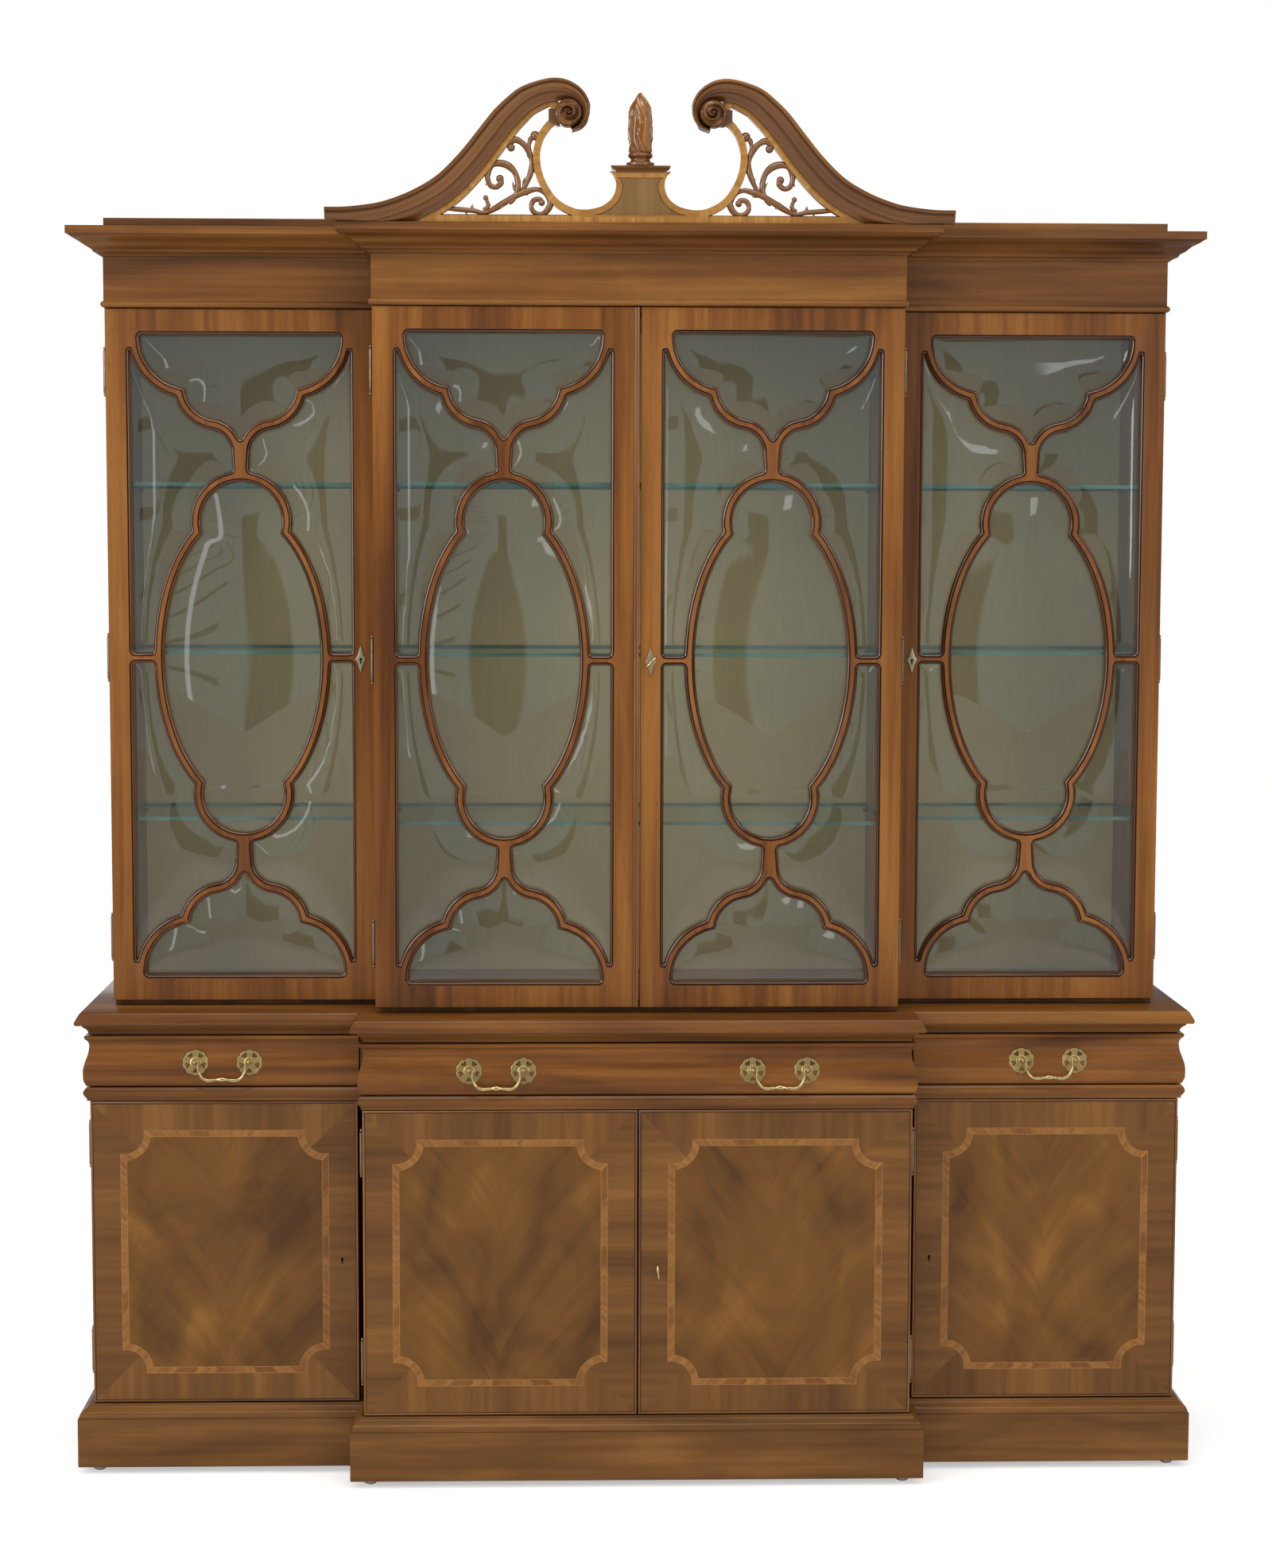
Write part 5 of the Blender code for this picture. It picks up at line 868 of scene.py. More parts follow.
# The drawer fronts: how far the ogee stands back, and how deep it is
OGEE_BACK, OGEE_DEPTH = 0.0146, 0.0094
OGEE_WAIST, OGEE_BELLY = 0.231, 0.763
OGEE_SHARES = (
    (0.0, 0.628), (0.03, 0.4), (0.059, 0.277), (0.13, 0.043), (OGEE_WAIST, 0.0), (0.36, 0.05),
    (0.497, 0.38), (0.64, 0.82), (OGEE_BELLY, 1.0), (0.834, 0.979), (0.893, 0.734), (0.935, 0.362),
    (0.976, 0.234), (1.0, 0.362),
)
WING_DRAWER_NEAR = 0.4609
TRAY_CENTRE_HALF = 0.431
TRAY_NEAR, TRAY_FAR = 0.461, 0.886
TRAY_BOTTOM, TRAY_TOP, TRAY_BACK = 0.6503, 0.7063, 0.419
TRAY_WALL, TRAY_FLOOR = 0.01, 0.006
DRAWERS = (("wing_left", "left", -1), ("wing_right", "right", 1), ("centre", "middle", 0))


def build_plinth():
    cap = spans(PLINTH_BOARD_TOP, PLINTH_TOP, 0.0, -PLINTH_CAP_REACH, PLINTH_CAP_SHARES)
    edge = (FOOT_HEIGHT + PLINTH_EASE, 0.0)
    part = Builder()
    moulded(part, plinth_plan, smooth_levels([(FOOT_HEIGHT, -PLINTH_EASE), edge, edge] + cap), "plinth")
    part.piece("plinth_board", "case", ["plinth"])
    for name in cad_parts:
        if name.startswith("foot"):
            low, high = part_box(name)
            middle, height, radius = (low + high) / 2, high.z - low.z, (high.x - low.x) / 2
            levels = [(height * z, radius * r) for z, r in smooth_path(GLIDE_SHARES, 3)]
            part = Builder()
            turned(part, levels, "nickel", Matrix.Translation((middle.x, middle.y - SHIFT, 0.0)), 28)
            part.piece("glide_" + name[5:], "case", [name], 40)


def build_mouldings():
    part = Builder()
    levels = smooth_levels(spans(MID_BOTTOM, MID_TOP, -MID_INSET, -MID_REACH, MID_SHARES))
    ring_moulding(part, plinth_plan, levels, base_plan, "moulding")
    part.piece("mid_rail_moulding", "case", ["mid_moulding"])
    part = Builder()
    levels = smooth_levels(spans(TOP_BOTTOM, TOP_TOP, 0.0, -TOP_REACH, TOP_SHARES))
    moulded(part, plinth_plan, levels, "moulding")
    part.piece("base_top_board", "case", ["base_top"])


def build_cornice():
    levels = spans(CORNICE_BOTTOM, CORNICE_BOTTOM + NECKING_HEIGHT, 0.0, NECKING_REACH, NECKING_SHARES)
    levels += levels[-1:] + spans(FRIEZE_TOP, CORNICE_TOP, 0.0, CROWN_REACH, CROWN_SHARES)
    levels += [(CORNICE_TOP, 0.0), (CORNICE_TOP, 0.0), (TOP_BOARD_TOP, 0.0)]
    part = Builder()
    moulded(part, upper_plan, smooth_levels(levels), "cornice")
    part.piece("entablature", "case", ["cornice"])


def build_drawers():
    """Ogee fronts that turn the corner, each with its tray."""
    ogee = smooth_levels(spans(DRAWER_BOTTOM, DRAWER_TOP, -OGEE_BACK, -OGEE_DEPTH, OGEE_SHARES), 3)
    for place, body, side in DRAWERS:
        part = Builder()
        step = STEP if side else 0.0
        back = step + BASE_CASE_FRONT - FRONT_CLEAR
        loops = []
        for z, out in ogee:
            if side:
                far, near = side * (PLINTH_HALF + out), side * WING_DRAWER_NEAR
            else:
                far, near = -(PLINTH_CENTRE_HALF + out), PLINTH_CENTRE_HALF + out
            front = step - out
            loops.append([(far, back, z), (far, front, z), (near, front, z), (near, back, z)])
        rows = [part.add(loop) for loop in loops]
        part.sided(rows, "drawer", run_along([loop[1] for loop in loops]), DRAWER_SHIFT, side)
        part.ends(rows, "drawer", "x")
        edges = (side * TRAY_NEAR, side * TRAY_FAR) if side else (-TRAY_CENTRE_HALF, TRAY_CENTRE_HALF)
        x0, x1 = sorted(edges)
        y0, y1, z0, z1 = back - BITE, TRAY_BACK, TRAY_BOTTOM, TRAY_TOP
        a0, a1, b0, b1 = x0 + TRAY_WALL, x1 - TRAY_WALL, y0 + TRAY_WALL, y1 - TRAY_WALL
        block(part, x0, a0, y0, y1, z0, z1, "tray", "y")
        block(part, a1, x1, y0, y1, z0, z1, "tray", "y")
        block(part, a0, a1, b1, y1, z0, z1, "tray")
        block(part, a0, a1, y0, b0, z0, z1, "tray")
        block(part, a0, a1, b0, b1, z0, z0 + TRAY_FLOOR, "tray", "y")
        node = "drawer_" + place
        part.piece("front_" + node, "drawer_" + body, [node], 30, DRAWER_OFFSET * side)


# Flat work with openings


def inside(points, loop):
    """Which of the points lie inside a closed outline."""
    loop = np.asarray(loop)
    x, z = points[:, 0], points[:, 1]
    held = np.zeros(len(points), bool)
    for (x0, z0), (x1, z1) in zip(loop, np.roll(loop, -1, axis=0)):
        crossed = (z0 > z) != (z1 > z)
        if crossed.any():
            held ^= crossed & (x < x0 + (z - z0) * (x1 - x0) / (z1 - z0))
    return held


def triangles(points, edges):
    """A triangulation that keeps the edges: its points, and corners and middle of each triangle."""
    found = delaunay_2d_cdt([Vector(p) for p in points], edges, [], 0, SAME_POINT)
    flat, corners = np.array([tuple(p) for p in found[0]]), np.array(found[2])
    return flat, corners, flat[corners].mean(axis=1)


def outline_edges(loops, lines=()):
    points, edges = [], []
    for loop in loops:
        start = len(points)
        points += list(loop)
        edges += [(start + i, start + (i + 1) % len(loop)) for i in range(len(loop))]
    for line in lines:
        start = len(points)
        points += list(line)
        edges += [(start + i, start + i + 1) for i in range(len(line) - 1)]
    return points, edges


def sheet(builder, outer, holes, y, look, grain, lines=(), toward=-1, marks=None):
    """A flat sheet at y with openings. Look and grain may be functions of a triangle's middle."""
    flat, corners, middles = triangles(*outline_edges([outer] + list(holes), lines))
    keep = inside(middles, outer)
    for hole in holes:
        keep &= ~inside(middles, hole)
    numbers = builder.upright(flat, y)
    for tri, middle in zip(corners[keep], middles[keep]):
        order = tri if toward > 0 else tri[::-1]
        here = look(middle) if callable(look) else look
        way = [marks(flat[i]) for i in order] if marks else grain(middle) if callable(grain) else grain
        builder.face([numbers[i] for i in order], here, way)


def prism(builder, outline, y0, y1, look, grain="x"):
    """A flat board with this outline."""
    sheet(builder, outline, [], y0, look, grain)
    sheet(builder, outline, [], y1, look, grain, toward=1)
    builder.wall(outline, y0, y1, look, grain)


def sunk(builder, outline, y0, y1, look):
    """The wall and floor of a hole in a flat face."""
    builder.face(builder.wall(outline, y0, y1, look, "y")[1], look, "x")


def outline_area(outline):
    return sum(p[0] * q[1] - q[0] * p[1] for p, q in zip(outline, outline[1:] + outline[:1])) / 2


def drawn(outline, amount, limit=DRAWN_LIMIT):
    """A closed outline with each side moved out by the amount."""
    pts = [Vector(p) for p in outline]
    sign = -1.0 if outline_area(pts) > 0 else 1.0
    out = []
    for before, p, after in zip(pts[-1:] + pts, pts, pts[1:] + pts[:1]):
        a, b = (p - before).normalized(), (after - p).normalized()
        way = (a + b).normalized()
        normal = Vector((-way.y, way.x)) * sign
        across = Vector((-a.y, a.x)) * sign
        out.append(p + normal * (amount / max(normal.dot(across), limit)))
    return [tuple(p) for p in out]


def rectangle(cx, cz, a, b):
    return [(cx - a, cz - b), (cx + a, cz - b), (cx + a, cz + b), (cx - a, cz + b)]


# The tracery, in the half width and half height inside stiles and rails
STILE = 0.033
RAIL = 0.036
HALF_BAR = 0.00875
SIDE_BAR_SHARE = 0.92
STANDARD_SHARE = 0.3413
TOP_ARC = ((-0.4296, 0.9802), 0.5)
MIDDLE_ARC = ((-0.1972, 0.8309), 0.338)
LOW_ARC = (-0.2887, 0.631)
ARC_START, ARC_END = -192, -8
OVAL = (0.738, 0.4575)
LOBE = (0.4046, 0.421)
# The short stem between bracket and oval
STEM_SHARE, STEM_FOOT_SHARE, STEM_TAPER = 0.2535, LOBE[1] + 0.123, 0.8
STEM_BITE = 0.003
SMALLEST_PANE = 0.0002
CORNER_ROUND = 0.0052
SHARP_CORNER = math.radians(62)
ROUND_LIMIT = 0.013
ROUND_STEPS = 7
GLASS_PLANE = 0.0138
BAR_BACK = 0.014
SEAT_REACH = 0.008
SIGHT_BITE = 0.001
NEAR, PANEL_NEAR = 0.0006, 0.0004
DOOR_EASE = 0.0009
PANE_RISE = 0.006
PANE_BITE = 0.0006
PANE_GRID = 0.009
PANE_EDGE = 0.004
PANE_FULL = 0.09
PANE_POWER = 2.6
# The lip round each opening: distance from the opening, depth behind the face
LIP = 0.0056
LIP_PROFILE = (
    (0.0, 0.014), (0.0, 0.0068), (0.0004, 0.0052), (0.0012, 0.0038), (0.0022, 0.0028),
    (0.0032, 0.0024), (0.004, 0.0027), (0.0044, 0.0033), (0.0046, 0.002), (0.0049, 0.0007), (LIP, 0.0),
)


def circles_meet(c1, r1, c2, r2):
    p1 = Vector(c1)
    way = Vector(c2) - p1
    d = way.length
    along = (r1 * r1 - r2 * r2 + d * d) / (2 * d)
    off = math.sqrt(max(r1 * r1 - along * along, 0.0))
    middle = p1 + way * along / d
    side = Vector((way.y, -way.x)) / d
    return tuple(min(middle + side * off, middle - side * off, key=lambda p: p.x))


def bearing(start, end):
    return math.degrees(math.atan2(end[1] - start[1], end[0] - start[0]))


def bracket_path(a, b):
    """The three arcs of the upper left bracket, from the corner to the stem."""
    c1, c2, c3 = ((x, z / STANDARD_SHARE) for x, z in (TOP_ARC[0], MIDDLE_ARC[0], LOW_ARC))
    corner = circles_meet(c1, TOP_ARC[1], c2, MIDDLE_ARC[1])
    way = Vector(c3) - Vector(c2)
    turn = bearing((0.0, 0.0), way) % 360
    path = arc(c1, TOP_ARC[1], ARC_START, bearing(c1, corner), 16)
    path += arc(c2, MIDDLE_ARC[1], bearing(c2, corner) % 360, turn, 12)[1:]
    path += arc(c3, way.length - MIDDLE_ARC[1], turn - 180, ARC_END, 12)[1:]
    return [(x * a, z * b * STANDARD_SHARE) for x, z in path]


def oval_path(a, b):
    """The long oval with a rounded lobe at each end."""
    wide, high = OVAL[0], OVAL[1] / STANDARD_SHARE
    lobe, lobe_z = LOBE[0], LOBE[1] / STANDARD_SHARE
    low, top = 0.0, math.pi / 2
    for _ in range(30):
        t = (low + top) / 2
        if math.hypot(wide * math.cos(t), high * math.sin(t) - lobe_z) < lobe:
            top = t
        else:
            low = t
    start = math.degrees(math.atan2(high * math.sin(top) - lobe_z, wide * math.cos(top)))
    path = [(wide * math.cos(t), high * math.sin(t)) for t in np.linspace(-top, top, 33)]
    path += arc((0.0, lobe_z), lobe, start, 180 - start, 20)[1:-1]
    path = [(x * a, z * b * STANDARD_SHARE) for x, z in path]
    return path + [(-x, -z) for x, z in path]


def bar_quads(path, half, closed=False):
    """The footprint of a bar as four-sided patches along its path."""
    sides = [(Vector(p) + n * half, Vector(p) - n * half) for p, n in zip(path, mitres(path, closed))]
    ahead = sides[1:] + (sides[:1] if closed else [])
    return [[tuple(v) for v in (l0, r0, r1, l1)] for (l0, r0), (l1, r1) in zip(sides, ahead)]


def openings(a, b):
    """Outlines of the seven panes of a door, with their convex corners rounded."""
    quads = bar_quads(oval_path(a, b), HALF_BAR, True)
    for sx in (-1, 1):
        for sz in (-1, 1):
            quads += bar_quads([(sx * x, sz * z) for x, z in bracket_path(a, b)], HALF_BAR)
        quads += bar_quads([(sx * a, 0.0), (sx * OVAL[0] * a, 0.0)], HALF_BAR * SIDE_BAR_SHARE)
    wide = (-LOW_ARC[0] - STEM_SHARE) * a + HALF_BAR
    for sz in (-1, 1):
        top, low = sz * (LOW_ARC[1] * b + STEM_BITE), sz * STEM_FOOT_SHARE * b
        corners = [(-wide, top), (wide, top), (wide * STEM_TAPER, low), (-wide * STEM_TAPER, low)]
        quads.append([tuple(Vector(c)) for c in corners])
    room = rectangle(0.0, 0.0, a - LIP, b - LIP)
    flat, corners, middles = triangles(*outline_edges([room] + quads))
    glass = inside(middles, room)
    for quad in quads:
        glass &= ~inside(middles, quad)
    ahead = {}
    for tri in corners[glass]:
        for i in range(3):
            ahead.setdefault(tri[i], {})[tri[(i + 1) % 3]] = True
    loops = []
    border = {}
    for start, ends in ahead.items():
        for end in ends:
            if start not in ahead.get(end, {}):
                border[start] = end
    while border:
        start, here = border.popitem()
        loop = [start]
        while here != start:
            loop.append(here)
            here = border.pop(here)
        outline = tidy([tuple(flat[i]) for i in loop])
        if len(outline) > 3 and abs(outline_area(outline)) > SMALLEST_PANE:
            loops.append(rounded(outline))
    return loops


def tidy(outline, near=NEAR):
    """Drops points that all but coincide."""
    out = []
    for p in outline:
        if not out or (Vector(p) - Vector(out[-1])).length > near:
            out.append(p)
    if (Vector(out[0]) - Vector(out[-1])).length < near:
        out.pop()
    return out


def rounded(outline):
    """The outline with its sharp convex corners turned into short curves."""
    if outline_area(outline) < 0:
        outline = outline[::-1]
    pts = [Vector(p) for p in outline]
    corners = []
    for i, p in enumerate(pts):
        a, b = (p - pts[i - 1]).normalized(), (pts[(i + 1) % len(pts)] - p).normalized()
        turn = math.atan2(a.x * b.y - a.y * b.x, a.dot(b))
        if turn > SHARP_CORNER:
            corners.append((i, turn))
    for i, turn in sorted(corners, reverse=True):
        reach = min(CORNER_ROUND * math.tan(turn / 2), ROUND_LIMIT)
        (start, before), (end, after) = walked(pts, i, -1, reach), walked(pts, i, 1, reach)
        curve = []
        for k in range(ROUND_STEPS + 1):
            t = k / ROUND_STEPS
            curve.append(start * (1 - t) ** 2 + pts[i] * 2 * t * (1 - t) + end * t * t)
        dropped = {(i + s) % len(pts) for s in range(-before, after + 1)}
        fresh = []
        for k, p in enumerate(pts):
            if k == i:
                fresh += curve
            elif k not in dropped:
                fresh.append(p)
        pts = fresh
    return [tuple(p) for p in pts]


def walked(pts, start, way, reach):
    """The point this far along the outline from a corner, and how many points lie on the way."""
    here, passed, left = start, 0, reach
    while True:
        ahead = (here + way) % len(pts)
        step = (pts[ahead] - pts[here]).length
        if step >= left:
            return pts[here] + (pts[ahead] - pts[here]) * left / step, passed
        left -= step
        here = ahead
        passed += 1


def distance(points, ring):
    """How far each point is from a closed outline."""
    best = np.full(len(points), np.inf)
    for a, b in zip(ring, np.roll(ring, -1, axis=0)):
        way = b - a
        t = np.clip(((points - a) @ way) / max(way @ way, 1e-12), 0, 1)
        best = np.minimum(best, np.linalg.norm(points - a - t[:, None] * way, axis=1))
    return best


def pane(builder, loop, place):
    """A swelled pane: it rises steeply from its edge and flattens towards its middle."""
    edge = drawn(loop, PANE_BITE)
    ring = np.array(edge)
    low, high = ring.min(axis=0), ring.max(axis=0)
    xs, zs = (np.arange(low[k] + PANE_GRID / 2, high[k], PANE_GRID) for k in (0, 1))
    grid = np.array([(x, z) for x in xs for z in zs])
    grid = grid[inside(grid, edge)]
    grid = grid[distance(grid, ring) > PANE_EDGE]
    points, edges = outline_edges([edge])
    flat, corners, middles = triangles(points + [tuple(p) for p in grid], edges)
    size = min(high[0] - low[0], high[1] - low[1]) / 2
    share = np.clip(distance(flat, ring) / size, 0.0, 1.0)
    rise = PANE_RISE * min(1.0, size / PANE_FULL) * (1 - (1 - share) ** PANE_POWER)
    x0, face, z0 = place
    numbers = builder.add([(x + x0, face + GLASS_PLANE - h, z + z0) for (x, z), h in zip(flat, rise)])
    for tri in corners[inside(middles, edge)]:
        builder.face([numbers[i] for i in tri[::-1]], "pane", "x")


# Glazed doors

HINGE_OUT = 0.0033
UPPER_HINGE_SHARES = (0.091, 0.5, 0.911)
UPPER_HINGE_BACK = 0.0205
LOWER_HINGE_SHARES = (0.165, 0.853)
LOWER_HINGE_BACK = BASE_DOOR_THICK + 0.0005
BARREL_LEVELS = (
    (0.0, 0.0031), (0.0166, 0.0031), (0.0168, 0.0028), (0.0172, 0.0028), (0.0174, 0.0031),
    (0.034, 0.0031), (0.0346, 0.0026), (0.0352, 0.0019),
)
BALL_HEIGHT, BALL_RADIUS, BALL_TIP, BALL_START, BALL_SWEEP = 0.0378, 0.0028, 0.0003, -1.1, 2.6
# The astragal's two beads: how it bites, stands, and where the beads lie
ASTRAGAL_SET, ASTRAGAL_STAND, ASTRAGAL_END = 0.001, 0.0012, 0.0088
BEAD_MIDDLES, BEAD_HALF, BEAD_RISE = (0.0024, 0.0064), 0.0022, 0.0018
# The glazed doors: name, far and near edge, side
UPPER_WING = UPPER_CENTRE_HALF + 0.003
GLAZED_DOORS = (
    ("wing_left", -UPPER_HALF, -UPPER_WING, STEP, -1),
    ("centre_left", -UPPER_CENTRE_HALF, -0.0066, 0.0, -1),
    ("centre_right", 0.0034, UPPER_CENTRE_HALF, 0.0, 1),
    ("wing_right", UPPER_WING, UPPER_HALF, STEP, 1),
)


def lip(builder, loop, place):
    """The moulded lip swept round one opening."""
    x0, face, z0 = place
    rows = []
    for out, deep in LIP_PROFILE:
        ring = drawn(loop, out) if out else loop
        rows.append(builder.upright([(x + x0, z + z0) for x, z in ring], face + deep))
    builder.skin(rows, "lip", box_marks(run_along(loop, True), run_along(LIP_PROFILE)))


def glazed_door(name, x0, x1, step, side):
    """One door with frame, lips and hinges, and its glass as a piece of its own."""
    z0, z1 = UPPER_DOOR_BOTTOM, UPPER_DOOR_TOP
    face = UPPER_DOOR_FACE + step
    cx, cz = (x0 + x1) / 2, (z0 + z1) / 2
    w, h = (x1 - x0) / 2, (z1 - z0) / 2
    place = (cx, face, cz)
    a, b = w - STILE, h - RAIL
    loops = openings(a, b)

    def set_in(outlines):
        return [[(x + cx, z + cz) for x, z in outline] for outline in outlines]

    def look_of(middle):
        held = abs(middle[0] - cx) < a - SIGHT_BITE and abs(middle[1] - cz) < b - SIGHT_BITE
        return "bar" if held else "frame"

    part = Builder()
    around = [(x0, z0), (x1, z0), (x1, z1), (x0, z1)]
    e = DOOR_EASE
    inner = [(x0 + e, z0 + e), (x1 - e, z0 + e), (x1 - e, z1 - e), (x0 + e, z1 - e)]
    sight = rectangle(cx, cz, a, b)
    holes = set_in(drawn(loop, LIP) for loop in loops)
    sheet(part, inner, holes, face, look_of, "z", [sight + sight[:1]])
    for loop in loops:
        lip(part, loop, place)
    back, seat_plane = face + UPPER_DOOR_THICK, face + BAR_BACK
    rows = [part.upright(inner, face), part.upright(around, face + e), part.upright(around, back)]
    part.skin(rows, "frame", lambda i, j, corners: "xz"[j % 2], inward=True)
    (seat,) = set_in([rectangle(0.0, 0.0, a + SEAT_REACH, b + SEAT_REACH)])
    sheet(part, around, [seat], back, "frame", "z", toward=1)
    sheet(part, seat, set_in(loops), seat_plane, "frame", "z", toward=1)
    part.wall(seat, back, seat_plane, "frame", "x")
    if name == "centre_left":
        astragal(part, x1, face, z0, z1)
    hinge_x = (x0 if side < 0 else x1) + side * HINGE_OUT
    for share in UPPER_HINGE_SHARES:
        knuckle(part, hinge_x, face + UPPER_HINGE_BACK, z0 + (z1 - z0) * share, 1)
    body = "upper_door_" + name
    part.piece("leaf_" + name, body, ["glazed_door_" + name], 32, DOOR_OFFSET_SHARE * x0)
    glass = Builder()
    for loop in loops:
        pane(glass, loop, place)
    glass.piece("panes_" + name, body, ["glass_" + name], 60)


def astragal(part, x1, face, z0, z1):
    """The double bead planted on the meeting edge."""
    profile = [(0.0, -BITE), (0.0, ASTRAGAL_STAND)]
    for middle in BEAD_MIDDLES:
        for k in range(9):
            t = math.pi * (1 - k / 8)
            profile.append((middle + BEAD_HALF * math.cos(t), ASTRAGAL_STAND + BEAD_RISE * math.sin(t)))
    profile += [(ASTRAGAL_END, ASTRAGAL_STAND), (ASTRAGAL_END, -BITE)]
    start = x1 - ASTRAGAL_SET
    ends = (z0 + ASTRAGAL_SET, z1 - ASTRAGAL_SET)
    part.loft([[(start + across, face - rise, z) for across, rise in profile] for z in ends], "bead")


def knuckle(part, x, y, z, way):
    """Half of a hinge barrel, up or down from its middle, with the ball that ends it."""
    ball = ball_levels(BALL_HEIGHT, BALL_RADIUS, BALL_START, BALL_SWEEP, 7, BALL_TIP)
    place = Matrix.Translation((x, y, z)) @ Matrix.Diagonal((1.0, 1.0, way, 1.0))
    turned(part, list(BARREL_LEVELS) + ball, "hinge", place, 16)


def build_case_hinges():
    """The lower half of every hinge, which stays on the case."""
    part = Builder()
    upper = (UPPER_DOOR_BOTTOM, UPPER_DOOR_TOP, UPPER_DOOR_FACE, UPPER_HINGE_BACK, UPPER_HINGE_SHARES)
    lower = (LOWER_DOOR_BOTTOM, LOWER_DOOR_TOP, BASE_DOOR_FACE, LOWER_HINGE_BACK, LOWER_HINGE_SHARES)
    for side in (-1, 1):
        for half, step, door in (
            (UPPER_HALF, STEP, upper), (UPPER_CENTRE_HALF, 0.0, upper),
            (BASE_HALF, STEP, lower), (BASE_CENTRE_HALF, 0.0, lower),
        ):
            bottom, top, face, behind, shares = door
            for share in shares:
                z = bottom + (top - bottom) * share
                knuckle(part, side * (half + HINGE_OUT), face + step + behind, z - GAP, -1)
    part.piece("hinge_lower_halves", "case", [], 40)


# Cupboard doors

# From the edge inwards: how far in, how far behind the face
COCK_BEAD = (
    (0.0, 0.0009), (0.0001, -0.0004), (0.0006, -0.0009), (0.0013, -0.0011), (0.0021, -0.0011),
    (0.0028, -0.0008), (0.0033, -0.0002), (0.0034, 0.0004),
)
BEAD_QUIRK, QUIRK_DEPTH = 0.0044, 0.0004
INLAY_INSET = 0.054
INLAY_CORNER = 0.04
INLAY_HALF = 0.0046
STRING = 0.0011
KEYHOLE_RADIUS, KEYHOLE_HALF, KEYHOLE_DROP = 0.0024, 0.0011, 0.0075
KEYHOLE_DEPTH = 0.012
WING_KEY_INSET, CENTRE_KEY_INSET = 0.027, 0.0319
LOWER_KEY_Z = 0.359037
UPPER_KEY_Z = 1.355935
MEETING = 0.0012
LOWER_WING = BASE_CENTRE_HALF + 0.0135
CUPBOARD_DOORS = (
    ("wing_left", -BASE_HALF, -LOWER_WING, STEP, -1),
    ("centre_left", -BASE_CENTRE_HALF, -MEETING, 0.0, -1),
    ("centre_right", MEETING, BASE_CENTRE_HALF, 0.0, 1),
    ("wing_right", LOWER_WING, BASE_HALF, STEP, 1),
)


# The eye of a keyhole, alone and over its slot: from and to in degrees, and steps
KEYHOLE_EYE, KEYHOLE_SLOTTED_EYE = (0, 345, 23), (-60, 240, 20)
INLAY_MARK = 0.01


def inlay_line(cx, cz, w, h, out):
    """The inlay's hollow-cornered outline, moved out towards the door's edge."""
    x, z, r = w - INLAY_INSET, h - INLAY_INSET, INLAY_CORNER - out
    reach = math.degrees(math.asin(out / r))
    path = []
    for sx, sz, start in ((1, 1, 180), (1, -1, 90), (-1, -1, 0), (-1, 1, -90)):
        path += arc((cx + sx * x, cz + sz * z), r, start - reach, start + 90 + reach, 14)
    return path


def keyhole_outline(x, z, slot):
    """A round eye with a slot under it, or only the eye."""
    if not slot:
        return arc((x, z), KEYHOLE_RADIUS, *KEYHOLE_EYE)
    eye = arc((x, z), KEYHOLE_RADIUS, *KEYHOLE_SLOTTED_EYE)
    return eye + [(x - KEYHOLE_HALF, z - KEYHOLE_DROP), (x + KEYHOLE_HALF, z - KEYHOLE_DROP)]


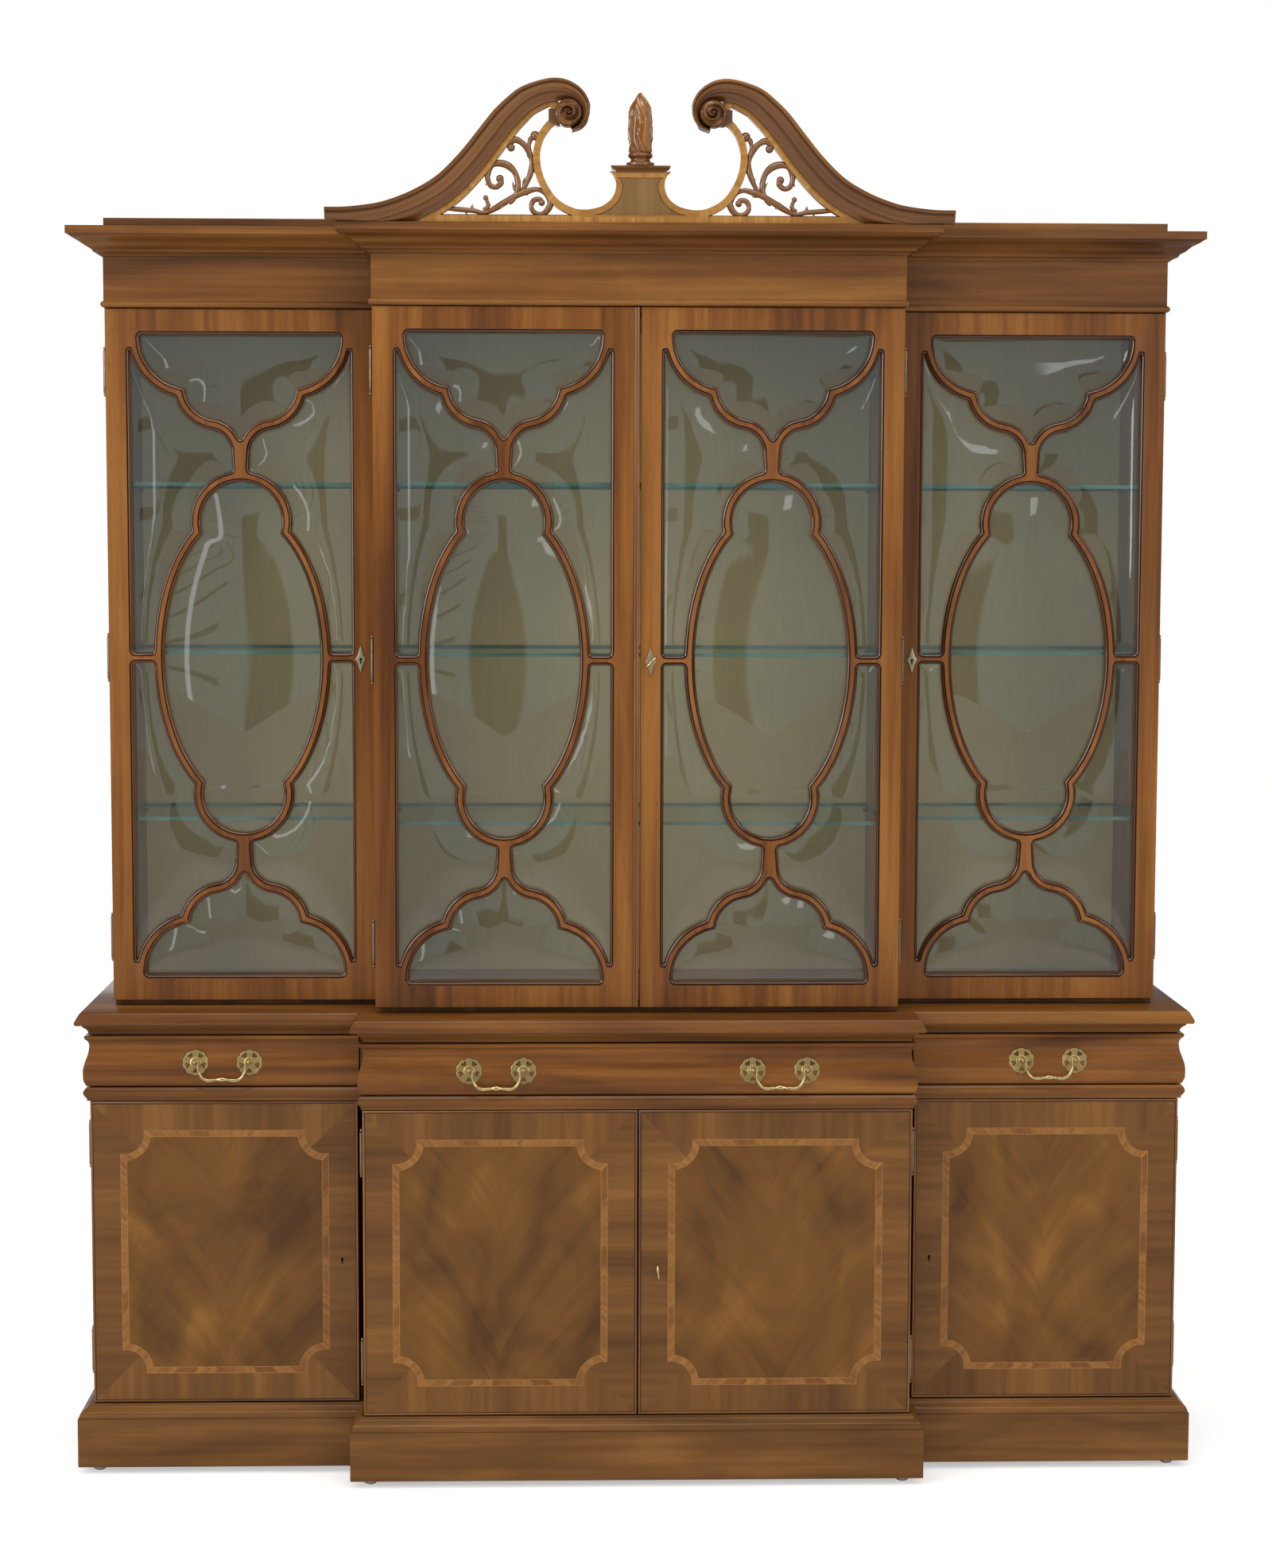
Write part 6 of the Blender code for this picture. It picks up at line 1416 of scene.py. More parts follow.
def cupboard_door(name, x0, x1, step, side):
    z0, z1 = LOWER_DOOR_BOTTOM, LOWER_DOOR_TOP
    face = BASE_DOOR_FACE + step
    cx, cz = (x0 + x1) / 2, (z0 + z1) / 2
    w, h = (x1 - x0) / 2, (z1 - z0) / 2
    part = Builder()
    levels = [(0.0, BASE_DOOR_THICK), *COCK_BEAD, (BEAD_QUIRK, QUIRK_DEPTH), (BEAD_QUIRK, 0.0)]
    rows = []
    for inset, deep in levels:
        rows.append(part.upright(rectangle(cx, cz, w - inset, h - inset), face + deep))

    # The quirk beside the cock bead is near black: painted shade in the groove
    def edge_look(i):
        return "frame" if i == 0 else "bead" if i < len(COCK_BEAD) else "hole"

    part.skin(rows, edge_look, lambda i, j, corners: "xz"[j % 2], inward=True)
    key_x = {
        "wing_left": x1 - WING_KEY_INSET, "wing_right": x0 + WING_KEY_INSET,
        "centre_right": x0 + CENTRE_KEY_INSET,
    }.get(name)
    holes = [keyhole_outline(key_x, LOWER_KEY_Z, "wing" in name)] if key_x is not None else []
    outs = (INLAY_HALF + STRING, INLAY_HALF, -INLAY_HALF, -INLAY_HALF - STRING)
    lines = [inlay_line(cx, cz, w, h, out) for out in outs]
    turn = (INLAY_CORNER - INLAY_HALF - STRING) * math.sqrt(0.5)
    diagonals = [
        [(cx + sx * (w - inset), cz + sz * (h - inset)) for inset in (BEAD_QUIRK, INLAY_INSET + turn)]
        for sx in (-1, 1) for sz in (-1, 1)
    ]

    def grain_of(middle):
        return "x" if w - abs(middle[0] - cx) < h - abs(middle[1] - cz) else "z"

    border = rectangle(cx, cz, w - BEAD_QUIRK, h - BEAD_QUIRK)
    sheet(part, border, [lines[0]] + holes, face, "border", grain_of, diagonals)
    # Each keyhole's wall and floor are near black: painted shade in the hole
    for outline in holes:
        sunk(part, outline, face, face + KEYHOLE_DEPTH, "hole")
    marks = box_marks(run_along(lines[1], True), (0.0, INLAY_MARK))
    for outer, inner, look in zip(lines, lines[1:], ("string", "inlay", "string")):
        part.skin([part.upright(outer, face), part.upright(inner, face)], look, marks)

    def field_marks(point):
        return (-side * (point[0] - cx), point[1] - z0, FIELD_OFFSET_SHARE * cx)

    sheet(part, lines[3], [], face, "field", "z", marks=field_marks)
    part.face(rows[0][::-1], "frame", "z")
    hinge_x = (x0 if side < 0 else x1) + side * HINGE_OUT
    for share in LOWER_HINGE_SHARES:
        knuckle(part, hinge_x, face + LOWER_HINGE_BACK, z0 + (z1 - z0) * share, 1)
    body, node = "lower_door_" + name, "cupboard_door_" + name
    part.piece("cupboard_leaf_" + name, body, [node], 32)


# Escutcheons and keys

PLATE_QUARTER = [(0.0095, 0.0), (0.0055, 0.0058), (0.0023, 0.0158), (0.0, 0.0225)]
PLATE_THICK = 0.0015
# The plate's face and chamfers: share across, share up, depth behind its front
PLATE_LEVELS = ((0.9, 0.93, 0.0), (0.97, 0.98, 0.0002), (1.0, 1.0, 0.0007), (1.0, 1.0, PLATE_THICK))
WING_PLATE_X, CENTRE_PLATE_X = 0.458, 0.02
KEY_SHANK = (
    (-0.01, 0.0018), (0.003, 0.0018), (0.0033, 0.0028), (0.0038, 0.003), (0.0056, 0.003),
    (0.0061, 0.0027), (0.0062, 0.0019), (0.0078, 0.0018), (0.0084, 0.0024), (0.0096, 0.0024),
    (0.0104, 0.0016),
)
BOW_DEPTH, BOW_LENGTH, BOW_START = 0.0068, 0.0118, 0.0092
BOW_WIRE, BOW_SWELL = 0.0015, 0.0004
LOWER_KEY_X = 0.0331
UPPER_KEY_TURN, LOWER_KEY_TURN = 45, -6


def escutcheon(name, x, face, slot):
    """A diamond plate with hollowed sides."""
    z = UPPER_KEY_Z
    quarter = smooth_path(PLATE_QUARTER, 4)
    upper = quarter + [(-a, b) for a, b in reversed(quarter[:-1])]
    outline = upper + [(a, -b) for a, b in reversed(upper[1:-1])]
    back = face - GAP
    front = back - PLATE_THICK
    part = Builder()
    loops = [[(x + a * wide, z + b * high) for a, b in outline] for wide, high, _ in PLATE_LEVELS]
    rows = [part.upright(loop, front + deep) for loop, (_, _, deep) in zip(loops, PLATE_LEVELS)]
    part.skin(rows, "antique", "z")
    hole = keyhole_outline(x, z, slot)
    sheet(part, loops[0], [hole], front, "antique", "z")
    # The keyhole's wall and floor are near black: painted shade in the hole
    sunk(part, hole, front, back - TINY, "hole")
    part.face(rows[3][::-1], "antique", "z")
    part.piece("keyplate_" + name, "upper_door_" + name, ["escutcheon_" + name], 40)


def tube(builder, path, radii, look, sides=10, deep=1.0):
    """A round wire along a path in the x-z plane, given as (x, y, z) points."""
    loops = []
    for before, p, after, radius in zip(path[:1] + path, path, path[1:] + path[-1:], radii):
        way = (Vector(after) - Vector(before)).normalized()
        aside = way.cross(Vector((0, 1, 0)))
        aside = aside.normalized() if aside.length > SHORTEST_ASIDE else Vector((1, 0, 0))
        up = aside.cross(way).normalized() * deep
        loops.append([
            tuple(Vector(p) + (aside * math.cos(t) + up * math.sin(t)) * radius) for t in angles(sides)
        ])
    builder.loft(loops, look)


def key(body, x, face, z, turn, node):
    """A key in its lock: shank, collars and an oval bow that stands on edge."""
    part = Builder()
    turned(part, KEY_SHANK, "brass", quarter_turn(x, face, z), 20)
    ring = [Vector((0.0, BOW_DEPTH * math.cos(t), BOW_LENGTH * math.sin(t))) for t in angles(28)]
    aside = Vector((1, 0, 0))
    loops = []
    for before, p, after in zip(ring[-1:] + ring, ring, ring[1:] + ring[:1]):
        up = (after - before).normalized().cross(aside)
        wide = BOW_WIRE + BOW_SWELL * abs(p.z) / BOW_LENGTH
        loops.append([tuple(p + (aside * math.cos(t) + up * math.sin(t)) * wide) for t in angles(8)])
    bow = Builder()
    bow.loft(loops, "brass", ring=True)
    place = Matrix.Translation((x, face - BOW_START - BOW_DEPTH, z))
    part.join(bow, place @ Matrix.Rotation(math.radians(turn), 4, "Y"))
    part.piece(body + "_in_lock", body, [node], 50)


def build_locks():
    face = UPPER_DOOR_FACE
    escutcheon("wing_left", -WING_PLATE_X, face + STEP, True)
    escutcheon("wing_right", WING_PLATE_X, face + STEP, True)
    escutcheon("centre_right", CENTRE_PLATE_X, face, False)
    key("upper_key", CENTRE_PLATE_X, face, UPPER_KEY_Z, UPPER_KEY_TURN, "key_glazed_door")
    key("lower_key", LOWER_KEY_X, BASE_DOOR_FACE, LOWER_KEY_Z, LOWER_KEY_TURN, "key_cupboard_door")


# Pulls

PULL_BORING = 0.0888
PULL_SHARE = 0.4675
POST_REACH = 0.0155
BAIL_DROP = 0.0305
BAIL_RADIUS = 0.0032
# Half of the bail from its pin to the bead in its middle: along, down, thickness
BAIL_SHARES = (
    (0.893, 0.0, 0.42), (0.888, 0.0, 0.44), (0.88, 0.025, 0.5), (0.874, 0.08, 0.54),
    (0.874, 0.2, 0.56), (0.88, 0.34, 0.6), (0.862, 0.5, 0.66), (0.815, 0.66, 0.74),
    (0.73, 0.84, 0.84), (0.62, 0.95, 0.94), (0.5, 1.0, 1.0), (0.38, 0.99, 0.96),
    (0.28, 0.975, 0.82), (0.262, 0.97, 0.84), (0.246, 0.97, 1.18), (0.226, 0.965, 1.22),
    (0.208, 0.96, 0.84), (0.18, 0.955, 0.78), (0.14, 0.95, 0.92), (0.09, 0.945, 1.2),
    (0.04, 0.94, 1.34), (0.0, 0.94, 1.36),
)
ROSETTE_RADIUS = 0.0215
RIM_SIDES = 120
SCALLOP_SHARE, SCALLOP_POWER = 0.085, 0.7
# The plate: share of its radius, height. Its flat face lies inside the last of them
ROSETTE_FACE = 0.0017
ROSETTE_LEVELS = ((1.0, 0.0), (1.0, 0.001), (0.975, ROSETTE_FACE), (0.93, 0.002), (0.885, ROSETTE_FACE))
HEARTS = 5
HEART_SHARES = (
    (0.42, 0.0), (0.56, -0.2), (0.7, -0.3), (0.79, -0.24), (0.8, -0.1), (0.7, 0.0), (0.8, 0.1),
    (0.79, 0.24), (0.7, 0.3), (0.56, 0.2),
)
POST_LEVELS = (
    (0.001, 0.0096), (0.0022, 0.0093), (0.0029, 0.008), (0.0031, 0.0064), (0.003, 0.0058),
    (0.0036, 0.0052), (0.0046, 0.0034), (0.006, 0.0029), (0.0105, 0.003),
)
POST_BALL, POST_BALL_BACK, POST_TIP = 0.0043, 0.0008, 0.0002
POST_BALL_START, POST_BALL_SWEEP = -0.95, math.pi / 2 + 0.93
# The pulls: name, place across, step, the drawer they ride on
PULLS = (
    ("wing_left", -0.6855, STEP, "left"), ("centre_left", -0.2315, 0.0, "middle"),
    ("centre_right", 0.2315, 0.0, "middle"), ("wing_right", 0.6855, STEP, "right"),
)


def rosette():
    """A pierced rosette with its ball post. It stands out towards -y from the plane y = 0."""
    part = Builder()
    rim = []
    for t in angles(RIM_SIDES):
        scallop = abs(math.cos(HEARTS * (t - math.pi / 2))) ** SCALLOP_POWER
        reach = 1 - SCALLOP_SHARE + SCALLOP_SHARE * scallop
        rim.append((math.cos(t) * reach, math.sin(t) * reach))

    def ring(share):
        return [(ROSETTE_RADIUS * share * a, ROSETTE_RADIUS * share * b) for a, b in rim]

    part.skin([part.upright(ring(share), -rise) for share, rise in ROSETTE_LEVELS], "rosette", "z")
    hearts = []
    for i in range(HEARTS):
        middle = 2 * math.pi * (i + 0.5) / HEARTS + math.pi / 2
        places = [(ROSETTE_RADIUS * reach, middle + turn) for reach, turn in HEART_SHARES]
        hearts.append([(r * math.cos(t), r * math.sin(t)) for r, t in places])
    sheet(part, ring(ROSETTE_LEVELS[-1][0]), hearts, -ROSETTE_FACE, "rosette", "z")
    for heart in hearts:
        part.wall(heart, -ROSETTE_FACE, 0.0, "rosette", "z")
    sheet(part, ring(1.0), hearts, 0.0, "rosette", "z", toward=1)
    middle = POST_REACH - POST_BALL_BACK
    ball = ball_levels(middle, POST_BALL, POST_BALL_START, POST_BALL_SWEEP, 8, POST_TIP)
    turned(part, list(POST_LEVELS) + ball, "rosette", quarter_turn(0.0, 0.0, 0.0), 24)
    return part


def build_pulls():
    height = DRAWER_TOP - DRAWER_BOTTOM
    lean = math.atan2(OGEE_DEPTH, height * (OGEE_BELLY - OGEE_WAIST))
    behind = OGEE_BACK + OGEE_DEPTH * (PULL_SHARE - OGEE_WAIST) / (OGEE_BELLY - OGEE_WAIST)
    out = Vector((0.0, -math.cos(lean), math.sin(lean)))
    for name, x, step, drawer in PULLS:
        seat = Vector((x, step + behind, DRAWER_BOTTOM + height * PULL_SHARE))
        for side, inward in (("a", 1), ("b", -1)):
            place = seat + out * GAP - Vector((inward * PULL_BORING / 2, 0.0, 0.0))
            part = Builder()
            part.join(rosette(), Matrix.Translation(place) @ Matrix.Rotation(-lean, 4, "X"))
            node = f"rosette_{name}_{side}"
            part.piece(f"backplate_{name}_{side}", "drawer_" + drawer, [node], 40)
        pivot = seat + out * (GAP + TINY + POST_REACH)
        half = [(-a * PULL_BORING / 2, -b * BAIL_DROP, r) for a, b, r in smooth_path(BAIL_SHARES, 3)]
        whole = half + [(-a, b, r) for a, b, r in reversed(half[:-1])]
        path = [(pivot.x + a, pivot.y, pivot.z + b) for a, b, _ in whole]
        part = Builder()
        tube(part, path, [r * BAIL_RADIUS for _, _, r in whole], "brass", 12)
        part.piece("swing_bail_" + name, "pull_" + name, ["bail_" + name], 60)


# Pediment

PEDIMENT_HALF = 0.5015
PEDIMENT_RISE = 0.2238
PEDIMENT_FACE = 0.04
PEDIMENT_THICK = 0.015
PEDIMENT_BASE = CORNICE_TOP + GAP
NECK_PROJECTION = 0.0292
NECK_WIDTH = 0.05
NECK_STATIONS = 130
# The moulding is this narrow along the neck, and full where it winds round the boss
NECK_TRIM, TRIM_END_SHARE, TRIM_SPREAD_SHARE = 0.83, 0.32, 0.06
# The left swan neck along its upper edge: across, up, width of the moulding there
NECK_SHARES = (
    (1.0, 0.092, 0.96), (0.937, 0.094, 0.98), (0.857, 0.114, 1.0), (0.798, 0.145, 1.0),
    (0.721, 0.214, 1.0), (0.645, 0.316, 1.0), (0.575, 0.469, 0.98), (0.519, 0.622, 0.96),
    (0.468, 0.764, 0.94), (0.427, 0.853, 0.9), (0.385, 0.927, 0.86), (0.332, 0.975, 0.8),
    (0.275, 1.0, 0.7), (0.226, 0.981, 0.6), (0.184, 0.916, 0.48), (0.161, 0.82, 0.4),
    (0.164, 0.728, 0.32), (0.185, 0.661, 0.24), (0.218, 0.632, 0.14),
)
# Across the neck from the upper lip down, and how much of its projection stands there
NECK_SECTION_SHARES = (
    (0.0, 0.84), (0.012, 0.92), (0.035, 0.985), (0.07, 1.0), (0.11, 1.0), (0.148, 0.985), (0.165, 0.95),
    (0.172, 0.82), (0.205, 0.8), (0.215, 0.84), (0.27, 0.845), (0.33, 0.82), (0.4, 0.74), (0.47, 0.645),
    (0.53, 0.585), (0.575, 0.565), (0.582, 0.45), (0.63, 0.44), (0.7, 0.415), (0.78, 0.35), (0.86, 0.25),
    (0.93, 0.165), (0.975, 0.135), (1.0, 0.12),
)
VOLUTE_SHARES = (0.229, 0.764)
VOLUTE_RADIUS = 0.0225
# The boss of the volute: how far it stands out, its radius there
BOSS_SHARES = (
    (0.0, 0.98), (0.3, 0.98), (0.5, 0.97), (0.62, 0.91), (0.7, 0.82), (0.76, 0.7), (0.82, 0.56),
    (0.87, 0.42), (0.92, 0.28), (0.955, 0.14), (0.965, 0.02),
)
# Its leaf: depth of carving, where it starts and fades, how fast its folds wind
LEAF_DEPTH_SHARE, LEAF_RIM_SHARE, LEAF_FADE_SHARE, LEAF_EYE_SHARE = 0.16, 0.86, 0.2, 0.25
LEAF_WIND, LEAF_FINE_WIND, LEAF_LOG_SHARE = 6.5, 9.0, 0.05
LEAF_WAVE, LEAF_FINE, LEAF_SINK = 0.75, 0.3, 0.6
# The banding under the necks: from and to how far along, and its edges across the neck
BANDING_ALONG_SHARES = (0.3, 0.79)
BANDING_EDGE_SHARES = (0.55, 1.02)
# The block that ends the banding at the C band, and the tail of the banding beyond it
END_SHARES = ((0.292, 0.8), (0.24, 0.8), (0.24, 0.69), (0.262, 0.682), (0.292, 0.712))
TAIL_SHARES = ((0.262, 0.69), (0.239, 0.688), (0.191, 0.746))
C_BAND_SHARES = (
    (0.273, 0.719), (0.293, 0.684), (0.317, 0.603), (0.33, 0.486), (0.324, 0.357), (0.301, 0.237),
    (0.265, 0.139), (0.211, 0.078), (0.165, 0.071),
)
BAND_WIDTH = 0.0112
RAIL_SHARE, RAIL_TOP_SHARE = 0.857, 0.053
PEDESTAL_SHARES = (
    (0.097, 0.366), (0.084, 0.331), (0.077, 0.265), (0.089, 0.181), (0.122, 0.121), (0.165, 0.096),
    (0.189, 0.094),
)
PEDESTAL_BORDER = 0.01
PANEL_CLEAR, PANEL_NARROWEST, PANEL_SUNK, PANEL_QUIRK = 0.0005, 0.004, 0.001, 0.0008
CAP_BOTTOM_SHARE, CAP_TOP_SHARE = 0.357, 0.402
CAP_HALF, CAP_REACH, CAP_FRONT, CAP_BEHIND = 0.0475, 0.01, 0.009, 0.006
CAP_SHARES = (
    (0.0, 1.0), (0.0, 1.0), (0.04, 0.86), (0.3, 0.8), (0.42, 0.62), (0.58, 0.34), (0.7, 0.12),
    (0.78, 0.06), (0.78, 0.06), (0.8, 0.0), (0.8, 0.0), (1.0, 0.0),
)
FRET_FACE = PEDIMENT_FACE + 0.003
FRET_THICK = 0.008
STEM_WIDTH = 0.0098
STEM_ROUND_SHARE, STEM_SWELL, STEM_SWELLS, STEM_DEEP, CURL_SHARE = 0.54, 0.1, 9.0, 1.15, 1.55
CURL_BALL = 1.45
LEAF_ROUND_SHARE, LEAF_BEND, LEAF_END = 0.56, 0.1, 1.06
LEAF_TAPER, LEAF_TIP_SHARE, LEAF_DEEP = 1.7, 0.06, 1.1
TIE_RADIUS = 0.0021
# The fret's stems, each from root to curl: across, up, width there
STEM_PATH_SHARES = (
    (
        (0.614, 0.101, 0.6), (0.533, 0.086, 0.8), (0.487, 0.076, 0.77), (0.402, 0.185, 1.0),
        (0.361, 0.223, 0.85), (0.327, 0.238, 0.75), (0.299, 0.204, 0.85), (0.286, 0.144, 0.93),
        (0.299, 0.083, 0.9), (0.32, 0.062, 0.85), (0.341, 0.083, 0.85), (0.347, 0.125, 0.8),
        (0.338, 0.162, 0.75), (0.32, 0.168, 0.7), (0.314, 0.145, 0.65),
    ),
    (
        (0.42, 0.14, 0.67), (0.402, 0.175, 0.8), (0.389, 0.255, 0.85), (0.398, 0.35, 0.93),
        (0.422, 0.405, 1.0), (0.452, 0.421, 1.0), (0.476, 0.397, 0.9), (0.486, 0.334, 0.85),
        (0.479, 0.268, 0.85), (0.459, 0.252, 0.85), (0.443, 0.283, 0.8), (0.447, 0.312, 0.75),
    ),
    (
        (0.391, 0.206, 0.67), (0.376, 0.224, 0.75), (0.351, 0.342, 0.83), (0.346, 0.444, 0.83),
        (0.362, 0.531, 0.9), (0.388, 0.58, 1.0), (0.406, 0.583, 1.0), (0.418, 0.549, 0.85),
        (0.411, 0.53, 0.75),
    ),
    (
        (0.339, 0.375, 0.6), (0.35, 0.47, 0.62), (0.354, 0.539, 0.65), (0.349, 0.592, 0.7),
        (0.335, 0.614, 0.9),
    ),
    ((0.499, 0.085, 0.67), (0.484, 0.121, 0.67), (0.492, 0.176, 0.5)),
)
# Small leaves: root, tip, width at the root
LEAF_SHARES = (
    (0.439, 0.109, 0.446, 0.154, 0.83), (0.401, 0.57, 0.401, 0.606, 0.67),
    (0.392, 0.225, 0.406, 0.292, 0.67), (0.369, 0.255, 0.366, 0.325, 0.6),
    (0.534, 0.085, 0.533, 0.13, 0.67), (0.482, 0.29, 0.494, 0.268, 0.5),
    (0.379, 0.212, 0.357, 0.195, 0.67), (0.47, 0.402, 0.482, 0.432, 0.5),
    (0.349, 0.46, 0.362, 0.492, 0.5),
)
# Ties that hold the scrolls to rail, banding and C band, end to end
TIE_SHARES = (
    (0.554, 0.098, 0.554, 0.054), (0.495, 0.366, 0.502, 0.384), (0.427, 0.567, 0.435, 0.59),
    (0.323, 0.076, 0.323, 0.049), (0.493, 0.076, 0.493, 0.049), (0.618, 0.101, 0.636, 0.085),
    (0.347, 0.384, 0.331, 0.357),
)
SOCLE_RADIUS, SOCLE_HEIGHT = 0.0229, 0.02
SOCLE_SHARES = (
    (0.0, 0.97), (0.03, 1.0), (0.22, 1.0), (0.27, 0.96), (0.3, 0.8), (0.36, 0.73), (0.48, 0.68),
    (0.6, 0.7), (0.7, 0.79), (0.78, 0.86), (0.9, 0.87), (1.0, 0.8),
)
FLAME_HEIGHT, FLAME_RADIUS = 0.0978, 0.0205
FLAME_TONGUES, FLAME_TWIST, FLAME_SWAY, FLAME_SWAYS = 6, 1.5, 0.32, 2.4
FLAME_CORE, FLAME_RIDGE, FLAME_FADE = 0.74, 0.42, 0.25
FLAME_SHARES = (
    (0.0, 0.7), (0.05, 0.8), (0.14, 0.88), (0.28, 0.94), (0.46, 1.0), (0.62, 0.96), (0.78, 0.76),
    (0.9, 0.46), (0.97, 0.22), (1.0, 0.08),
)
SIDE_NAMES = {-1: "left", 1: "right"}


def on_pediment(shares, side=1):
    return [(side * p[0] * PEDIMENT_HALF, CORNICE_TOP + p[1] * PEDIMENT_RISE) for p in shares]


def even(path, count):
    """The path with this many points, evenly spaced."""
    pts = np.array(path)
    run = np.concatenate([[0.0], np.cumsum(np.linalg.norm(np.diff(pts, axis=0), axis=1))])
    at = np.linspace(0, run[-1], count)
    return [tuple(float(np.interp(s, run, pts[:, k])) for k in range(pts.shape[1])) for s in at]


def eased(value):
    return min(max(value, 0.0), 1.0)


def ribbon(builder, one, other, y, back, look):
    """A flat band between two paths of equal length, its marks running along the first."""
    a, b, c, d = (builder.upright(path, at) for at in (y, back) for path in (one, other))
    run = run_along(one)
    wide = [(Vector(q) - Vector(p)).length for p, q in zip(one, other)]
    for i in range(len(one) - 1):
        k = i + 1
        marks = [(run[i], 0.0, 0.0), (run[k], 0.0, 0.0), (run[k], wide[k], 0.0), (run[i], wide[i], 0.0)]
        builder.face((a[i], a[k], b[k], b[i]), look, marks)
    for i in range(len(one) - 1):
        builder.face((a[i], c[i], c[i + 1], a[i + 1]), look, "x")
        builder.face((b[i], b[i + 1], d[i + 1], d[i]), look, "x")
        builder.face((c[i], d[i], d[i + 1], c[i + 1]), "carved", "x")
    builder.face((a[0], b[0], d[0], c[0]), look, "x")
    builder.face((a[-1], c[-1], d[-1], b[-1]), look, "x")


def neck_stations():
    """Along the left neck's upper edge: x, z, normal, share along, share of the width."""
    stations = even(smooth_path(NECK_SHARES, 8), NECK_STATIONS)
    path = on_pediment(stations, -1)
    return [(x, z, n, at, wide) for (x, z), n, (at, _, wide) in zip(path, mitres(path), stations)]


def neck_line(side, share):
    """A line along a swan neck, this share of its width below the upper edge."""
    start, end = BANDING_ALONG_SHARES
    return [
        (side * -(x - n.x * share * NECK_WIDTH * wide), z - n.y * share * NECK_WIDTH * wide)
        for x, z, n, at, wide in neck_stations() if start < at < end
    ]


def swan_neck(side):
    """A swan neck: a moulding that sweeps up and winds into a volute round its boss."""
    back = PEDIMENT_FACE - GAP
    part = Builder()
    loops = []
    for x, z, n, at, share in neck_stations():
        trim = NECK_TRIM + (1 - NECK_TRIM) * eased((TRIM_END_SHARE - at) / TRIM_SPREAD_SHARE)
        width = NECK_WIDTH * share * trim
        loop = []
        for down, keep in NECK_SECTION_SHARES + ((1.0, 0.0),):
            low = max(z - n.y * down * width, PEDIMENT_BASE)
            loop.append((x - n.x * down * width, back - NECK_PROJECTION * keep, low))
        loops.append([(side * -a, b, c) for a, b, c in loop + [(x, back, z)]])
    part.loft(loops, "carved")
    ((x, z),) = on_pediment([VOLUTE_SHARES], side)
    boss = [(NECK_PROJECTION * a, VOLUTE_RADIUS * r) for a, r in smooth_path(BOSS_SHARES, 5)]
    part.join(winding_leaf(boss, side), quarter_turn(x, back, z))
    name = SIDE_NAMES[side]
    part.piece("scroll_" + name, "case", ["swan_neck_" + name], 38, NECK_OFFSET * side)


def winding_leaf(levels, side, sides=60):
    """The boss of a volute, turned, its face carved into a leaf that winds to an eye."""
    part = Builder()
    loops = []
    top = levels[-1][0]
    for z, r in levels:
        share = r / VOLUTE_RADIUS
        depth = LEAF_DEPTH_SHARE * top * eased((LEAF_RIM_SHARE - share) / LEAF_FADE_SHARE)
        depth *= min(share / LEAF_EYE_SHARE, 1.0)
        wind = side * math.log(max(share, LEAF_LOG_SHARE))
        loop = []
        for t in angles(sides):
            wave = LEAF_WAVE * math.cos(t + LEAF_WIND * wind)
            wave += LEAF_FINE * math.cos(3 * t + LEAF_FINE_WIND * wind)
            loop.append((r * math.cos(t), r * math.sin(t), z + depth * (wave - LEAF_SINK)))
        loops.append(loop)
    part.loft(loops, "leaf")
    return part


